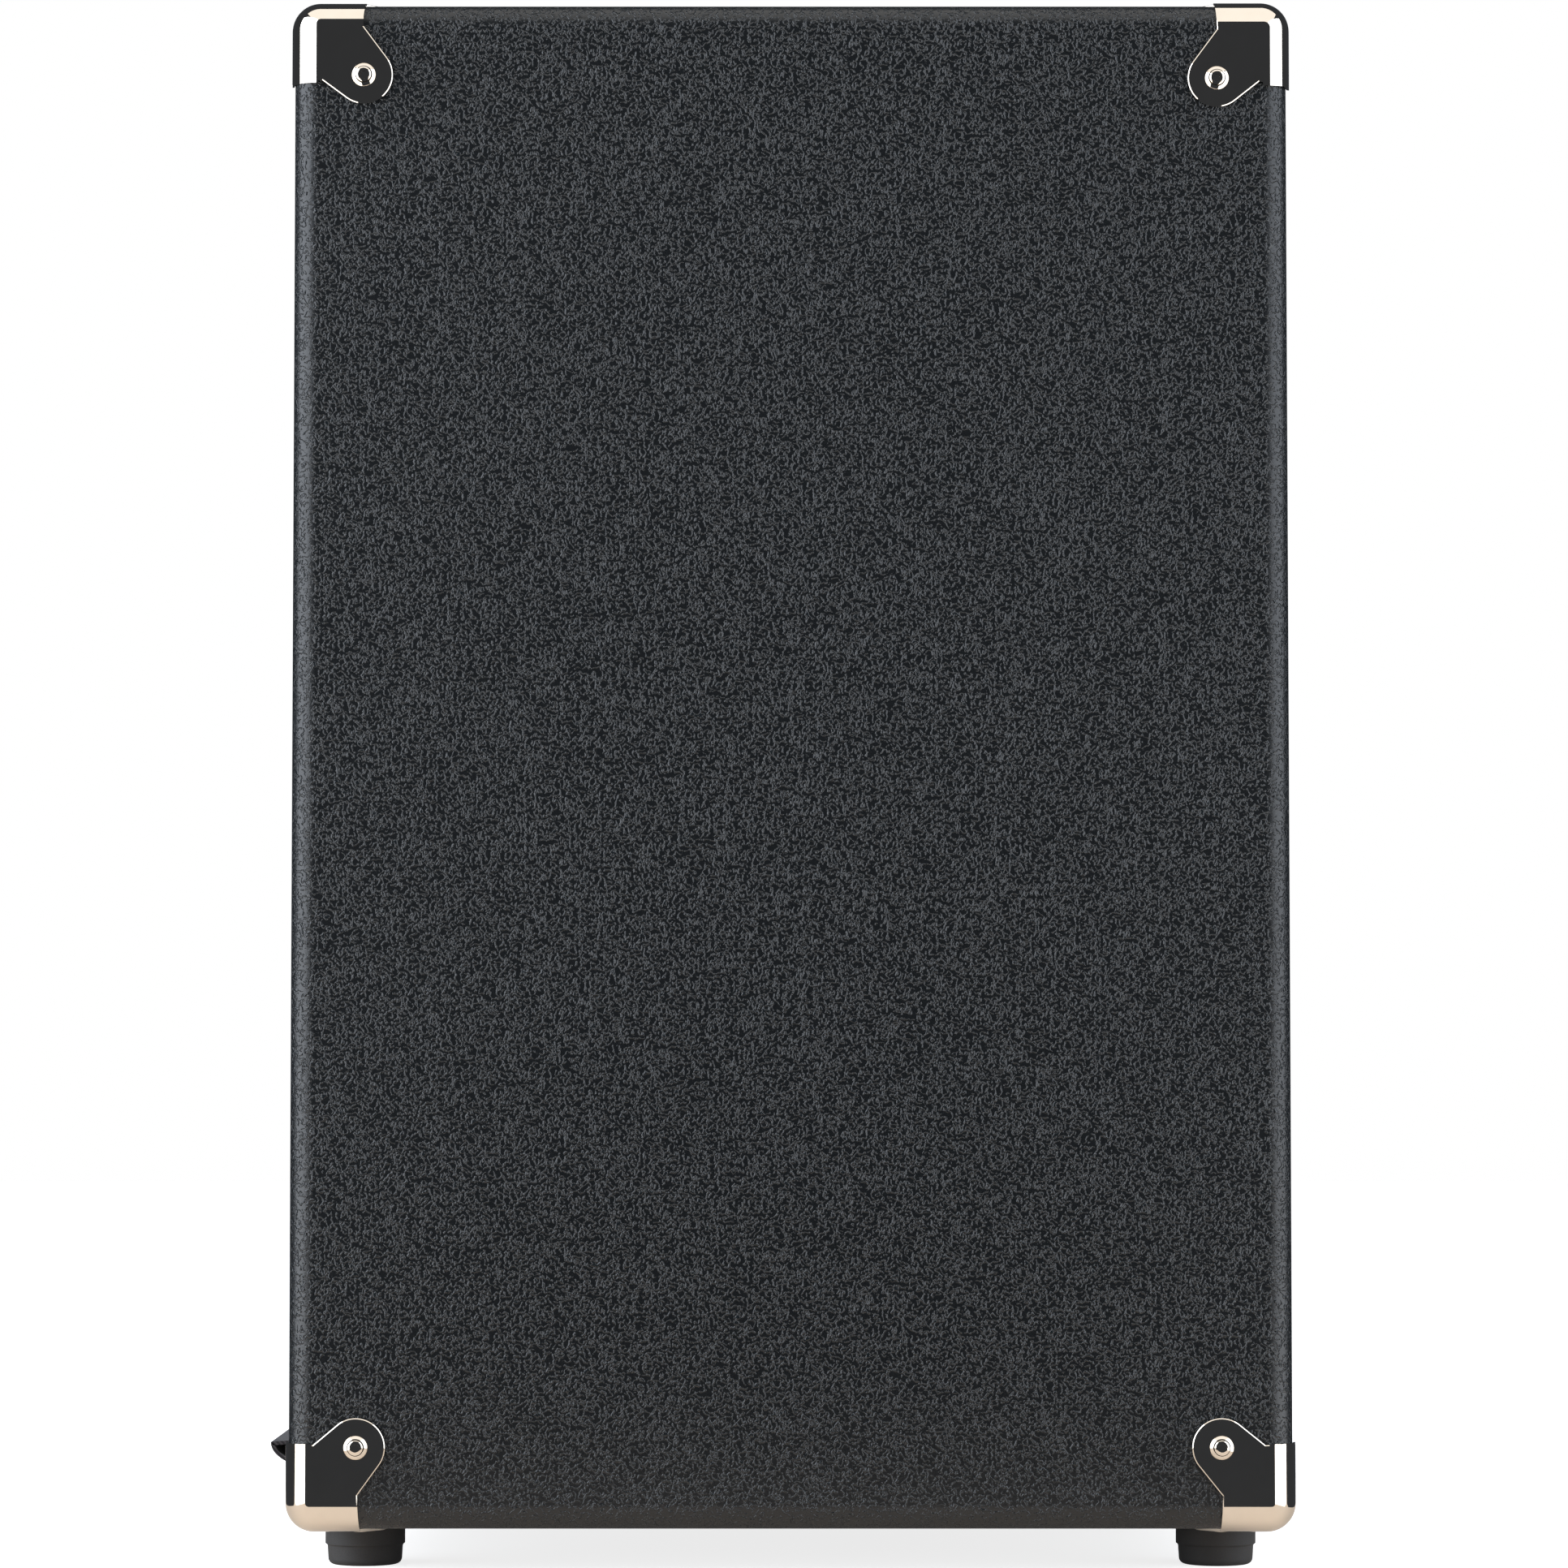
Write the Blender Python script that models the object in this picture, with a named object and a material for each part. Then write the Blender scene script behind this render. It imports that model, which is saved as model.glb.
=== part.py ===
"""Bass combo amplifier with a 15 inch woofer, a horn and a removable cloth grille.

Metres, +Z up, front towards -Y. The origin is on the floor, at the middle of the whole plan.
Inside the file every place is measured from the cabinet's own centre line, and one empty
moves the lot back a little, because the grille's pull tab sticks out at the front.
"""

import math
from typing import NamedTuple

import bmesh
import bpy
from mathutils import Matrix, Vector

# Gap that is left between two pieces that rest on each other
SEAT_GAP = 0.0003

# Plywood cabinet
BOARD = 0.018
ROUND_OVER = 0.010
ROUND_STEPS = 3
CABINET_DEPTH = 0.395
BAFFLE_RECESS = 0.028
REAR_RECESS = 0.012
REAR_BOARD = 0.015
BAY_HEIGHT = 0.080
SHELF_BOARD = 0.015
SHELF_SETBACK = 0.006

# Rubber feet
FOOT_HEIGHT = 0.018
FOOT_RADIUS = 0.0160
FOOT_BASE_RADIUS = 0.0148
FOOT_COLLAR = 0.010
FOOT_COLLAR_STEP = 0.0006
FOOT_EDGE_RADIUS = 0.0025
FOOT_SCREW_RADIUS = 0.0050
FOOT_SCREW_DEPTH = 0.009
FOOT_INSET_SIDE = 0.058
FOOT_INSET_FRONT = 0.0265
FOOT_SIDES = 16

# Stamped steel corner protectors
CORNER_SHEET = 0.0012
CORNER_LEG_ALONG = 0.0282
CORNER_LEG_TAPER = 0.0014
CORNER_LEG_WIDTH = 0.0100
CORNER_LOBE_IN = 0.0265
CORNER_LOBE_RADIUS = 0.0115
TOP_CORNER_LEG = 0.0328
TOP_CORNER_TAPER = 0.0039
TOP_CORNER_LOBE = 0.0272
TOP_CORNER_DEPTH = 0.0088
BOTTOM_CORNER_LEG = 0.0339
BOTTOM_CORNER_TAPER = 0.0013
BOTTOM_CORNER_LOBE = 0.0320
BOTTOM_CORNER_DEPTH = 0.0134
CORNER_FRONT_BAND = 0.0165
CORNER_CUT_MARGIN = 0.0040
CORNER_LOBE_START_DEGREES = -36
CORNER_LOBE_SWEEP_DEGREES = 162
CORNER_LOBE_STEPS = 7

# Woofer
WOOFER_RADIUS = 0.1935
WOOFER_MARGIN_BELOW = 0.008
WOOFER_MARGIN_SIDE = 0.0535
WOOFER_FLANGE_WIDTH = 0.0155
WOOFER_GASKET = 0.003
WOOFER_SHEET = 0.0022
WOOFER_BASKET_DEPTH = 0.098
WOOFER_SPIDER_DEPTH = 0.074
WOOFER_SPIDER_RADIUS = 0.084
WOOFER_REAR_RADIUS = 0.070
WOOFER_WINDOWS = 8
WOOFER_SPOKE = 0.024
CUTOUT_CLEARANCE = 0.0025
SURROUND_WIDTH = 0.018
SURROUND_THICKNESS = 0.0010
CONE_THICKNESS = 0.0012
CONE_DEPTH = 0.058
CONE_BULGE = 0.0036
COIL_RADIUS = 0.0380
COIL_WALL = 0.0008
COIL_RUNNING_GAP = 0.0010
DUST_CAP_RADIUS = 0.054
DUST_CAP_RISE = 0.017
SPIDER_THICKNESS = 0.0008
SPIDER_WAVES = 3
SPIDER_WAVE_HEIGHT = 0.003
MAGNET_RADIUS = 0.090
MAGNET_THICKNESS = 0.024
MAGNET_PLATE = 0.008
MAGNET_PLATE_RADIUS = 0.076
POLE_VENT_RADIUS = 0.011
WOOFER_SIDES = 24
INNER_SIDES = 16

# Horn tweeter
HORN_FLANGE_WIDTH = 0.170
HORN_FLANGE_HEIGHT = 0.062
HORN_FLANGE_THICKNESS = 0.003
HORN_RIM = 0.012
HORN_DEPTH = 0.090
HORN_WALL = 0.0025
HORN_THROAT_RADIUS = 0.0125
HORN_THROAT_FLANGE = 0.027
HORN_THROAT_PLATE = 0.005
HORN_MARGIN_ABOVE = 0.006
DRIVER_SPACING = 0.010
HORN_DRIVER_RADIUS = 0.034
HORN_DRIVER_LENGTH = 0.042
HORN_POINTS = 16

# Bass reflex ports in the back panel
PORT_RADIUS = 0.034
PORT_WALL = 0.0025
PORT_LENGTH = 0.110
PORT_FLARE = 0.012
PORT_MARGIN_SIDE = 0.036
PORT_MARGIN_BELOW = 0.014
PORT_SIDES = 20

# Removable grille
GRILLE_RECESS = 0.003
GRILLE_FRAME_THICKNESS = 0.015
GRILLE_BAR = 0.022
GRILLE_SIDE_CLEARANCE = 0.0015
GRILLE_CORNER_RADIUS = 0.004
CLOTH_THICKNESS = 0.0008
CLOTH_RETURN = 0.012
GRILLE_STUD_RADIUS = 0.008
GRILLE_STUD_INSET = 0.013
TAB_WIDTH = 0.100
TAB_REACH = 0.0269
TAB_WEB = 0.0016
TAB_TIP_DROP = 0.0021
TAB_BELLY = 0.0135
TAB_TONGUE = 0.013

# Strap handle on the top
HANDLE_SPAN = 0.232
STRAP_WIDTH = 0.032
STRAP_THICKNESS = 0.0075
STRAP_RISE = 0.0225
STRAP_END_HEIGHT = 0.0035
CAP_LENGTH = 0.048
CAP_WIDTH = 0.044
CAP_HEIGHT = 0.0145
CAP_WALL = 0.0025
CAP_RADIUS = 0.0045
STRAP_SLIDE_GAP = 0.0005

# Control panel
PANEL_RECESS = 0.024
PANEL_SHEET = 0.002
PANEL_GAP = 0.0005
PANEL_END_MARGIN = 0.026
PANEL_GROUP_STEP = 0.031
KNOB_ROW_DROP = 0.005
BUTTON_ROW_RISE = 0.023
CONTROL_SIDES = 12

# Knobs and the potentiometers behind them
KNOB_NAMES = ("gain", "drive", "bass", "low_mid", "high_mid", "treble", "compressor", "master")
KNOB_RADIUS = 0.0130
KNOB_GRIP_RADIUS = 0.0106
KNOB_HEIGHT = 0.0160
KNOB_SKIRT = 0.0036
KNOB_FLUTE = 0.0006
KNOB_SIDES = 14
KNOB_LIFT = 0.0008
KNOB_POINTER = 0.0014
SHAFT_RADIUS = 0.0030
BUSH_RADIUS = 0.0045
BUSH_PROUD = 0.0004
POT_RADIUS = 0.0085
POT_DEPTH = 0.0090
POT_SIDES = 8
RUNNING_GAP = 0.0003

# Push buttons
BUTTON_RADIUS = 0.0036
BUTTON_PROUD = 0.0042
BUTTON_LENGTH = 0.0062
BUTTON_TRAVEL = 0.0025
BUTTON_STEM_RADIUS = 0.0018
BUTTON_STEM_IN_SWITCH = 0.0028
SWITCH_BODY = 0.0105

# Power switch and lamp
ROCKER_WIDTH = 0.0104
ROCKER_HALF_HEIGHT = 0.0070
ROCKER_FACE = 0.0042
ROCKER_TILT = math.radians(8.0)
SWITCH_BEZEL = 0.0035
SWITCH_RIM = 0.0016
SWITCH_WALL = 0.0014
SWITCH_DEPTH = 0.0170
LAMP_RADIUS = 0.0030
LAMP_RIM = 0.0012

# Jack sockets
JACK_BORE_RADIUS = 0.0034
JACK_BUSH_RADIUS = 0.0056
JACK_NUT_RADIUS = 0.0085
JACK_NUT_HEIGHT = 0.0026
JACK_BODY = 0.0180
JACK_BODY_LENGTH = 0.0260
JACK_WALL_BEHIND = 0.0020
HOLE_CLEARANCE = 0.0003

# Amplifier chassis and what it carries
CHASSIS_SHEET = 0.0015
CHASSIS_SIDE_GAP = 0.003
CHASSIS_TOP_GAP = 0.002
CHASSIS_LIP = 0.007
BOARD_SHEET = 0.0016
STANDOFF = 0.006
STANDOFF_RADIUS = 0.0035
PREAMP_BOARD_HEIGHT = 0.060
INLET_WIDTH = 0.050
INLET_HEIGHT = 0.028
INLET_FLANGE = 0.0025
INLET_WELL_WIDTH = 0.0245
INLET_WELL_HEIGHT = 0.0165
INLET_WELL_DEPTH = 0.017
INLET_WALL = 0.002
XLR_FLANGE_WIDTH = 0.026
XLR_FLANGE_HEIGHT = 0.031
XLR_SHELL_RADIUS = 0.0115
XLR_WELL_RADIUS = 0.0085
XLR_DEPTH = 0.022
CONNECTOR_STEP = 0.052
TOROID_RADIUS = 0.050
TOROID_BORE = 0.014
TOROID_HEIGHT = 0.042
SINK_LENGTH = 0.120
SINK_WIDTH = 0.090
SINK_HEIGHT = 0.046
SINK_BASE = 0.008
SINK_FINS = 9
SINK_FIN = 0.0025
POWER_BOARD_WIDTH = 0.150
POWER_BOARD_LENGTH = 0.120
CAPACITOR_RADIUS = 0.014
CAPACITOR_HEIGHT = 0.036
CROSSOVER_WIDTH = 0.110
CROSSOVER_LENGTH = 0.080
COIL_PART_RADIUS = 0.020
COIL_PART_HEIGHT = 0.022

# Heights and widths that follow from the pieces that fill the cabinet
CABINET_HEIGHT = (
    BOARD
    + WOOFER_MARGIN_BELOW
    + 2 * WOOFER_RADIUS
    + DRIVER_SPACING
    + HORN_FLANGE_HEIGHT
    + HORN_MARGIN_ABOVE
    + SHELF_BOARD
    + BAY_HEIGHT
    + BOARD
)
INNER_HALF_WIDTH = WOOFER_RADIUS + WOOFER_MARGIN_SIDE
HALF_WIDTH = INNER_HALF_WIDTH + BOARD
FRONT = -CABINET_DEPTH / 2
BACK = CABINET_DEPTH / 2
OUTER_BOTTOM = FOOT_HEIGHT
INNER_BOTTOM = OUTER_BOTTOM + BOARD
OUTER_TOP = OUTER_BOTTOM + CABINET_HEIGHT
INNER_TOP = OUTER_TOP - BOARD
SHELF_TOP = INNER_TOP - BAY_HEIGHT
SHELF_BOTTOM = SHELF_TOP - SHELF_BOARD
BAFFLE_FRONT = FRONT + BAFFLE_RECESS
REAR_FACE = BACK - REAR_RECESS
WOOFER_HEIGHT = INNER_BOTTOM + WOOFER_MARGIN_BELOW + WOOFER_RADIUS
HORN_CENTRE_HEIGHT = SHELF_BOTTOM - HORN_MARGIN_ABOVE - HORN_FLANGE_HEIGHT / 2
PANEL_FRONT = FRONT + PANEL_RECESS
PANEL_MIDDLE = (SHELF_TOP + INNER_TOP) / 2
KNOB_ROW = PANEL_MIDDLE - KNOB_ROW_DROP
BUTTON_ROW = PANEL_MIDDLE + BUTTON_ROW_RISE
PANEL_BACK = PANEL_FRONT + PANEL_SHEET
CHASSIS_FRONT = PANEL_BACK + SEAT_GAP
CHASSIS_HALF_WIDTH = INNER_HALF_WIDTH - CHASSIS_SIDE_GAP
CHASSIS_FLOOR = SHELF_TOP + SEAT_GAP + CHASSIS_SHEET
CHASSIS_TOP = INNER_TOP - CHASSIS_TOP_GAP
CHASSIS_REAR_INNER = REAR_FACE - CHASSIS_SHEET
CORNER_PROUD = SEAT_GAP + CORNER_SHEET
CABINET_SHIFT = (TAB_REACH - CORNER_PROUD) / 2

# Places along the control panel, from the left as the player sees it
JACK_X = -INNER_HALF_WIDTH + PANEL_END_MARGIN
LEFT_BUTTON_X = JACK_X + PANEL_GROUP_STEP
SWITCH_X = INNER_HALF_WIDTH - PANEL_END_MARGIN
PHONES_X = SWITCH_X - PANEL_GROUP_STEP
FIRST_KNOB_X = LEFT_BUTTON_X + PANEL_GROUP_STEP
KNOB_PITCH = (PHONES_X - PANEL_GROUP_STEP - FIRST_KNOB_X) / (len(KNOB_NAMES) - 1)
KNOB_PLACES = [FIRST_KNOB_X + KNOB_PITCH * index for index in range(len(KNOB_NAMES))]
MIDDLE_BUTTON_X = FIRST_KNOB_X + KNOB_PITCH / 2
BUTTON_PLACES = {
    "pad_button": (LEFT_BUTTON_X, BUTTON_ROW),
    "mute_button": (LEFT_BUTTON_X, KNOB_ROW),
    "bright_button": (MIDDLE_BUTTON_X, BUTTON_ROW),
}


def clear_scene():
    """Remove whatever the scene holds before the model is made."""
    for item in list(bpy.data.objects):
        bpy.data.objects.remove(item, do_unlink=True)


def finish(name, colour, roughness, metallic=0.0):
    """Make one plain material from its linear colour."""
    made = bpy.data.materials.new(name)
    made.use_nodes = True
    shader = made.node_tree.nodes["Principled BSDF"]
    shader.inputs["Base Color"].default_value = (*colour, 1.0)
    shader.inputs["Roughness"].default_value = roughness
    shader.inputs["Metallic"].default_value = metallic
    return made


def solid(name, shape, material, place=(0.0, 0.0, 0.0)):
    """Turn a bmesh or a mesh into the named piece, at its place from the cabinet's centre line."""
    if isinstance(shape, bmesh.types.BMesh):
        bmesh.ops.recalc_face_normals(shape, faces=shape.faces)
        mesh = bpy.data.meshes.new(name)
        shape.to_mesh(mesh)
        shape.free()
    else:
        mesh = shape
    if material is not None and not mesh.materials:
        mesh.materials.append(material)
    piece = bpy.data.objects.new(name, mesh)
    piece.parent = bpy.data.objects["cabinet_centre"]
    piece.location = place
    bpy.context.scene.collection.objects.link(piece)
    mesh.shade_smooth()
    mesh.set_sharp_from_angle(angle=math.radians(32))
    return piece


def helper(name, shape, place=(0.0, 0.0, 0.0)):
    """Make a shape that only cuts or joins other pieces."""
    piece = solid(name, shape, None, place)
    piece.hide_render = True
    piece.display_type = "WIRE"
    return piece


def combine(piece, other, operation):
    """Cut the other shape out of a piece, join it on, or keep what they share."""
    step = piece.modifiers.new(other.name, "BOOLEAN")
    step.operation = operation
    step.solver = "EXACT"
    step.object = other


def evaluated_mesh(piece):
    """Give the mesh of a piece with its modifiers worked in."""
    bpy.context.view_layer.update()
    graph = bpy.context.evaluated_depsgraph_get()
    return bpy.data.meshes.new_from_object(piece.evaluated_get(graph))


def add_box(shape, low, high):
    """Add a box between two corners, and give its vertices."""
    size = Vector(high) - Vector(low)
    middle = (Vector(high) + Vector(low)) / 2
    matrix = Matrix.Translation(middle) @ Matrix.Diagonal((*size, 1.0))
    return bmesh.ops.create_cube(shape, size=1.0, matrix=matrix)["verts"]


def box(low, high):
    """Give a new shape that is one box."""
    shape = bmesh.new()
    add_box(shape, low, high)
    return shape


def bevel(shape, edges, width, steps):
    """Round the given edges."""
    bmesh.ops.bevel(
        shape,
        geom=list(edges),
        offset=width,
        offset_type="OFFSET",
        segments=steps,
        profile=0.5,
        affect="EDGES",
        clamp_overlap=True,
    )


def along(edge, axis):
    """Say whether an edge runs along the axis of this number."""
    run = edge.verts[1].co - edge.verts[0].co
    return abs(run[axis]) > 0.999 * run.length


def add_bar(shape, outline, axis, start, end):
    """Add a bar: an outline drawn across an axis, pushed from start to end along it.

    The outline's pairs are the other two coordinates in the order x, y, z.
    """
    others = [number for number in range(3) if number != axis]
    corners = []
    for pair in outline:
        point = [0.0, 0.0, 0.0]
        point[axis] = start
        point[others[0]] = pair[0]
        point[others[1]] = pair[1]
        corners.append(shape.verts.new(point))
    face = shape.faces.new(corners)
    pushed = bmesh.ops.extrude_face_region(shape, geom=[face])
    moved = [item for item in pushed["geom"] if isinstance(item, bmesh.types.BMVert)]
    step = Vector((0.0, 0.0, 0.0))
    step[axis] = end - start
    bmesh.ops.translate(shape, vec=step, verts=moved)
    return shape


def bar(outline, axis, start, end):
    """Give a new shape that is one bar."""
    return add_bar(bmesh.new(), outline, axis, start, end)


def filleted(corners, radii, steps):
    """Round the corners of an outline, each by its own radius."""
    points = []
    count = len(corners)
    for index, corner in enumerate(corners):
        here = Vector(corner)
        if radii[index] <= 0:
            points.append(tuple(here))
            continue
        before = (Vector(corners[index - 1]) - here).normalized()
        after = (Vector(corners[(index + 1) % count]) - here).normalized()
        half_angle = before.angle(after) / 2
        centre = here + (before + after).normalized() * radii[index] / math.sin(half_angle)
        start = here + before * radii[index] / math.tan(half_angle) - centre
        end = here + after * radii[index] / math.tan(half_angle) - centre
        sweep = start.angle_signed(end)
        for step in range(steps + 1):
            turn = Matrix.Rotation(-sweep * step / steps, 2)
            points.append(tuple(centre + turn @ start))
    return points


def rectangle(half_width, half_height, radius, steps, centre=(0.0, 0.0)):
    """Give a rectangle's outline with rounded corners."""
    corners = [(-half_width, -half_height), (half_width, -half_height)]
    corners += [(half_width, half_height), (-half_width, half_height)]
    points = filleted(corners, [radius] * 4, steps)
    return [(x + centre[0], z + centre[1]) for x, z in points]


def circle(radius, sides, centre=(0.0, 0.0)):
    """Give a circle's outline."""
    angles = [2 * math.pi * index / sides for index in range(sides)]
    return [(centre[0] + radius * math.cos(a), centre[1] + radius * math.sin(a)) for a in angles]


def bore_radius(radius, sides):
    """Give the corner radius of a faceted bore whose flats still clear this radius."""
    return radius / math.cos(math.pi / sides)


def add_turned(shape, profile, axis, sides, closed=False, place=(0.0, 0.0, 0.0)):
    """Add a turned piece: (radius, distance along the axis) pairs, spun about that axis.

    The axis is y (1) or z (2). A closed profile makes a ring, and an open one starts and ends
    on the axis.
    """
    made = []
    for radius, distance in profile:
        point = [radius, 0.0, 0.0]
        point[axis] = distance
        made.append(shape.verts.new(point))
    pairs = list(zip(made, made[1:]))
    if closed:
        pairs.append((made[-1], made[0]))
    edges = [shape.edges.new(pair) for pair in pairs]
    direction = Vector((0.0, 0.0, 0.0))
    direction[axis] = 1.0
    before = set(shape.verts) - set(made)
    bmesh.ops.spin(
        shape,
        geom=made + edges,
        cent=(0.0, 0.0, 0.0),
        axis=direction,
        angle=2 * math.pi,
        steps=sides,
        use_merge=True,
    )
    fresh = [vert for vert in shape.verts if vert not in before]
    bmesh.ops.remove_doubles(shape, verts=fresh, dist=0.000002)
    fresh = [vert for vert in shape.verts if vert not in before]
    bmesh.ops.translate(shape, vec=place, verts=fresh)
    return shape


def turned(profile, axis, sides, closed=False):
    """Give a new shape that is one turned piece."""
    return add_turned(bmesh.new(), profile, axis, sides, closed)


def ring_skin(rings):
    """Skin a closed row of rings, the last one back to the first, into one shell."""
    shape = bmesh.new()
    rows = [[shape.verts.new(point) for point in ring] for ring in rings]
    count = len(rows[0])
    for index, row in enumerate(rows):
        following = rows[(index + 1) % len(rows)]
        for place in range(count):
            beside = (place + 1) % count
            shape.faces.new((row[place], row[beside], following[beside], following[place]))
    return shape


def make_side_boards(vinyl):
    """Make the two side boards, full height, with their outer edges rounded over."""
    for name, side in (("cabinet_side_left", -1), ("cabinet_side_right", 1)):
        inner = side * INNER_HALF_WIDTH
        outer = side * HALF_WIDTH
        shape = bmesh.new()
        low = (min(inner, outer), FRONT, OUTER_BOTTOM)
        high = (max(inner, outer), BACK, OUTER_TOP)
        add_box(shape, low, high)
        rounded = []
        for edge in shape.edges:
            on_outer = all(abs(vert.co.x - outer) < ROUND_OVER / 10 for vert in edge.verts)
            if on_outer or along(edge, 0):
                rounded.append(edge)
        bevel(shape, rounded, ROUND_OVER, ROUND_STEPS)
        solid(name, shape, vinyl)


def make_top_and_bottom(vinyl):
    """Make the top and bottom boards, which sit between the sides."""
    end = INNER_HALF_WIDTH - SEAT_GAP
    top = [(FRONT, INNER_TOP), (BACK, INNER_TOP), (BACK, OUTER_TOP), (FRONT, OUTER_TOP)]
    radii = [0.0, 0.0, ROUND_OVER, ROUND_OVER]
    solid("cabinet_top", bar(filleted(top, radii, ROUND_STEPS), 0, -end, end), vinyl)
    bottom = [(FRONT, OUTER_BOTTOM), (BACK, OUTER_BOTTOM), (BACK, INNER_BOTTOM), (FRONT, INNER_BOTTOM)]
    radii = [ROUND_OVER, ROUND_OVER, 0.0, 0.0]
    solid("cabinet_bottom", bar(filleted(bottom, radii, ROUND_STEPS), 0, -end, end), vinyl)


def make_shelf(vinyl):
    """Make the shelf that carries the amplifier, and shows as a bar above the grille."""
    end = INNER_HALF_WIDTH - SEAT_GAP
    low = FRONT + SHELF_SETBACK
    corners = [(low, SHELF_BOTTOM), (REAR_FACE, SHELF_BOTTOM), (REAR_FACE, SHELF_TOP), (low, SHELF_TOP)]
    nose = SHELF_BOARD / 4
    solid("amp_shelf", bar(filleted(corners, [nose, 0.0, 0.0, nose], 3), 0, -end, end), vinyl)


def make_baffle(paint):
    """Make the baffle, cut for the woofer's basket and for the horn."""
    end = INNER_HALF_WIDTH - SEAT_GAP
    low = (-end, BAFFLE_FRONT, INNER_BOTTOM + SEAT_GAP)
    high = (end, BAFFLE_FRONT + BOARD, SHELF_BOTTOM - SEAT_GAP)
    baffle = solid("baffle_board", box(low, high), paint)
    start = BAFFLE_FRONT - BOARD
    stop = BAFFLE_FRONT + 2 * BOARD
    cutter = bmesh.new()
    cutout = WOOFER_RADIUS - WOOFER_FLANGE_WIDTH
    add_bar(cutter, circle(cutout, WOOFER_SIDES, (0.0, WOOFER_HEIGHT)), 1, start, stop)
    half_width = HORN_FLANGE_WIDTH / 2 - HORN_RIM + HORN_WALL + CUTOUT_CLEARANCE
    half_height = HORN_FLANGE_HEIGHT / 2 - HORN_RIM / 2 + HORN_WALL / 2
    opening = rectangle(half_width, half_height, HORN_RIM / 2, 3, (0.0, HORN_CENTRE_HEIGHT))
    add_bar(cutter, opening, 1, start, stop)
    combine(baffle, helper("baffle_cutouts", cutter), "DIFFERENCE")


def make_back_panel(vinyl):
    """Make the screwed back panel below the chassis, with its two port holes."""
    end = INNER_HALF_WIDTH - SEAT_GAP
    low = (-end, REAR_FACE - REAR_BOARD, INNER_BOTTOM + SEAT_GAP)
    high = (end, REAR_FACE, SHELF_BOTTOM - SEAT_GAP)
    panel = solid("back_panel", box(low, high), vinyl)
    cutter = bmesh.new()
    hole = bore_radius(PORT_RADIUS + PORT_WALL + SEAT_GAP, PORT_SIDES)
    for side in (-1, 1):
        centre = (side * port_distance(), port_height())
        add_bar(cutter, circle(hole, PORT_SIDES, centre), 1, REAR_FACE - 2 * REAR_BOARD, BACK)
    combine(panel, helper("port_holes", cutter), "DIFFERENCE")


def port_distance():
    """Give how far the ports' axes lie from the middle of the back panel."""
    return INNER_HALF_WIDTH - PORT_MARGIN_SIDE - PORT_RADIUS - PORT_FLARE


def port_height():
    """Give the height of the ports' axes."""
    return INNER_BOTTOM + PORT_MARGIN_BELOW + PORT_RADIUS + PORT_FLARE


def make_ports(plastic):
    """Make the two moulded port tubes, flared where they meet the back panel."""
    inner = PORT_RADIUS
    outer = PORT_RADIUS + PORT_WALL
    lip = PORT_RADIUS + PORT_FLARE
    seat = REAR_FACE + SEAT_GAP
    front = REAR_FACE - PORT_LENGTH
    profile = [(inner, front), (inner, seat - PORT_FLARE)]
    for step in range(1, 4):
        angle = math.pi / 2 * step / 3
        radius = inner + PORT_FLARE * 0.6 * (1 - math.cos(angle))
        profile.append((radius, seat + PORT_WALL - PORT_FLARE * (1 - math.sin(angle))))
    profile += [(lip, seat + PORT_WALL), (lip, seat), (outer, seat), (outer, front)]
    for name, side in (("port_tube_left", -1), ("port_tube_right", 1)):
        tube = turned(profile, 1, PORT_SIDES, closed=True)
        solid(name, tube, plastic, (side * port_distance(), 0.0, port_height()))


def make_feet(rubber):
    """Make the four rubber feet: a collar, a slight taper, and a hole for the screw."""
    top = FOOT_HEIGHT - SEAT_GAP
    collar = FOOT_HEIGHT - FOOT_COLLAR
    profile = [(0.0, FOOT_SCREW_DEPTH), (FOOT_SCREW_RADIUS, FOOT_SCREW_DEPTH), (FOOT_SCREW_RADIUS, 0.0)]
    for step in range(3):
        angle = math.pi / 2 * step / 2
        radius = FOOT_BASE_RADIUS - FOOT_EDGE_RADIUS * (1 - math.sin(angle))
        profile.append((radius, FOOT_EDGE_RADIUS * (1 - math.cos(angle))))
    profile += [(FOOT_RADIUS - FOOT_COLLAR_STEP, collar), (FOOT_RADIUS, collar)]
    profile += [(FOOT_RADIUS, top), (0.0, top)]
    foot = turned(profile, 2, FOOT_SIDES)
    shared = None
    for end, depth in (("front", -1), ("back", 1)):
        for hand, side in (("left", -1), ("right", 1)):
            place = (side * (HALF_WIDTH - FOOT_INSET_SIDE), depth * (BACK - FOOT_INSET_FRONT), 0.0)
            made = solid(f"foot_{end}_{hand}", shared or foot, rubber, place)
            shared = made.data


class CornerShape(NamedTuple):
    """The sizes in which the top protectors and the bottom ones differ, from the cabinet's corner."""

    leg: float
    taper: float
    lobe: float
    depth: float


TOP_CORNER = CornerShape(TOP_CORNER_LEG, TOP_CORNER_TAPER, TOP_CORNER_LOBE, TOP_CORNER_DEPTH)
BOTTOM_CORNER = CornerShape(BOTTOM_CORNER_LEG, BOTTOM_CORNER_TAPER, BOTTOM_CORNER_LOBE, BOTTOM_CORNER_DEPTH)


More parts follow.
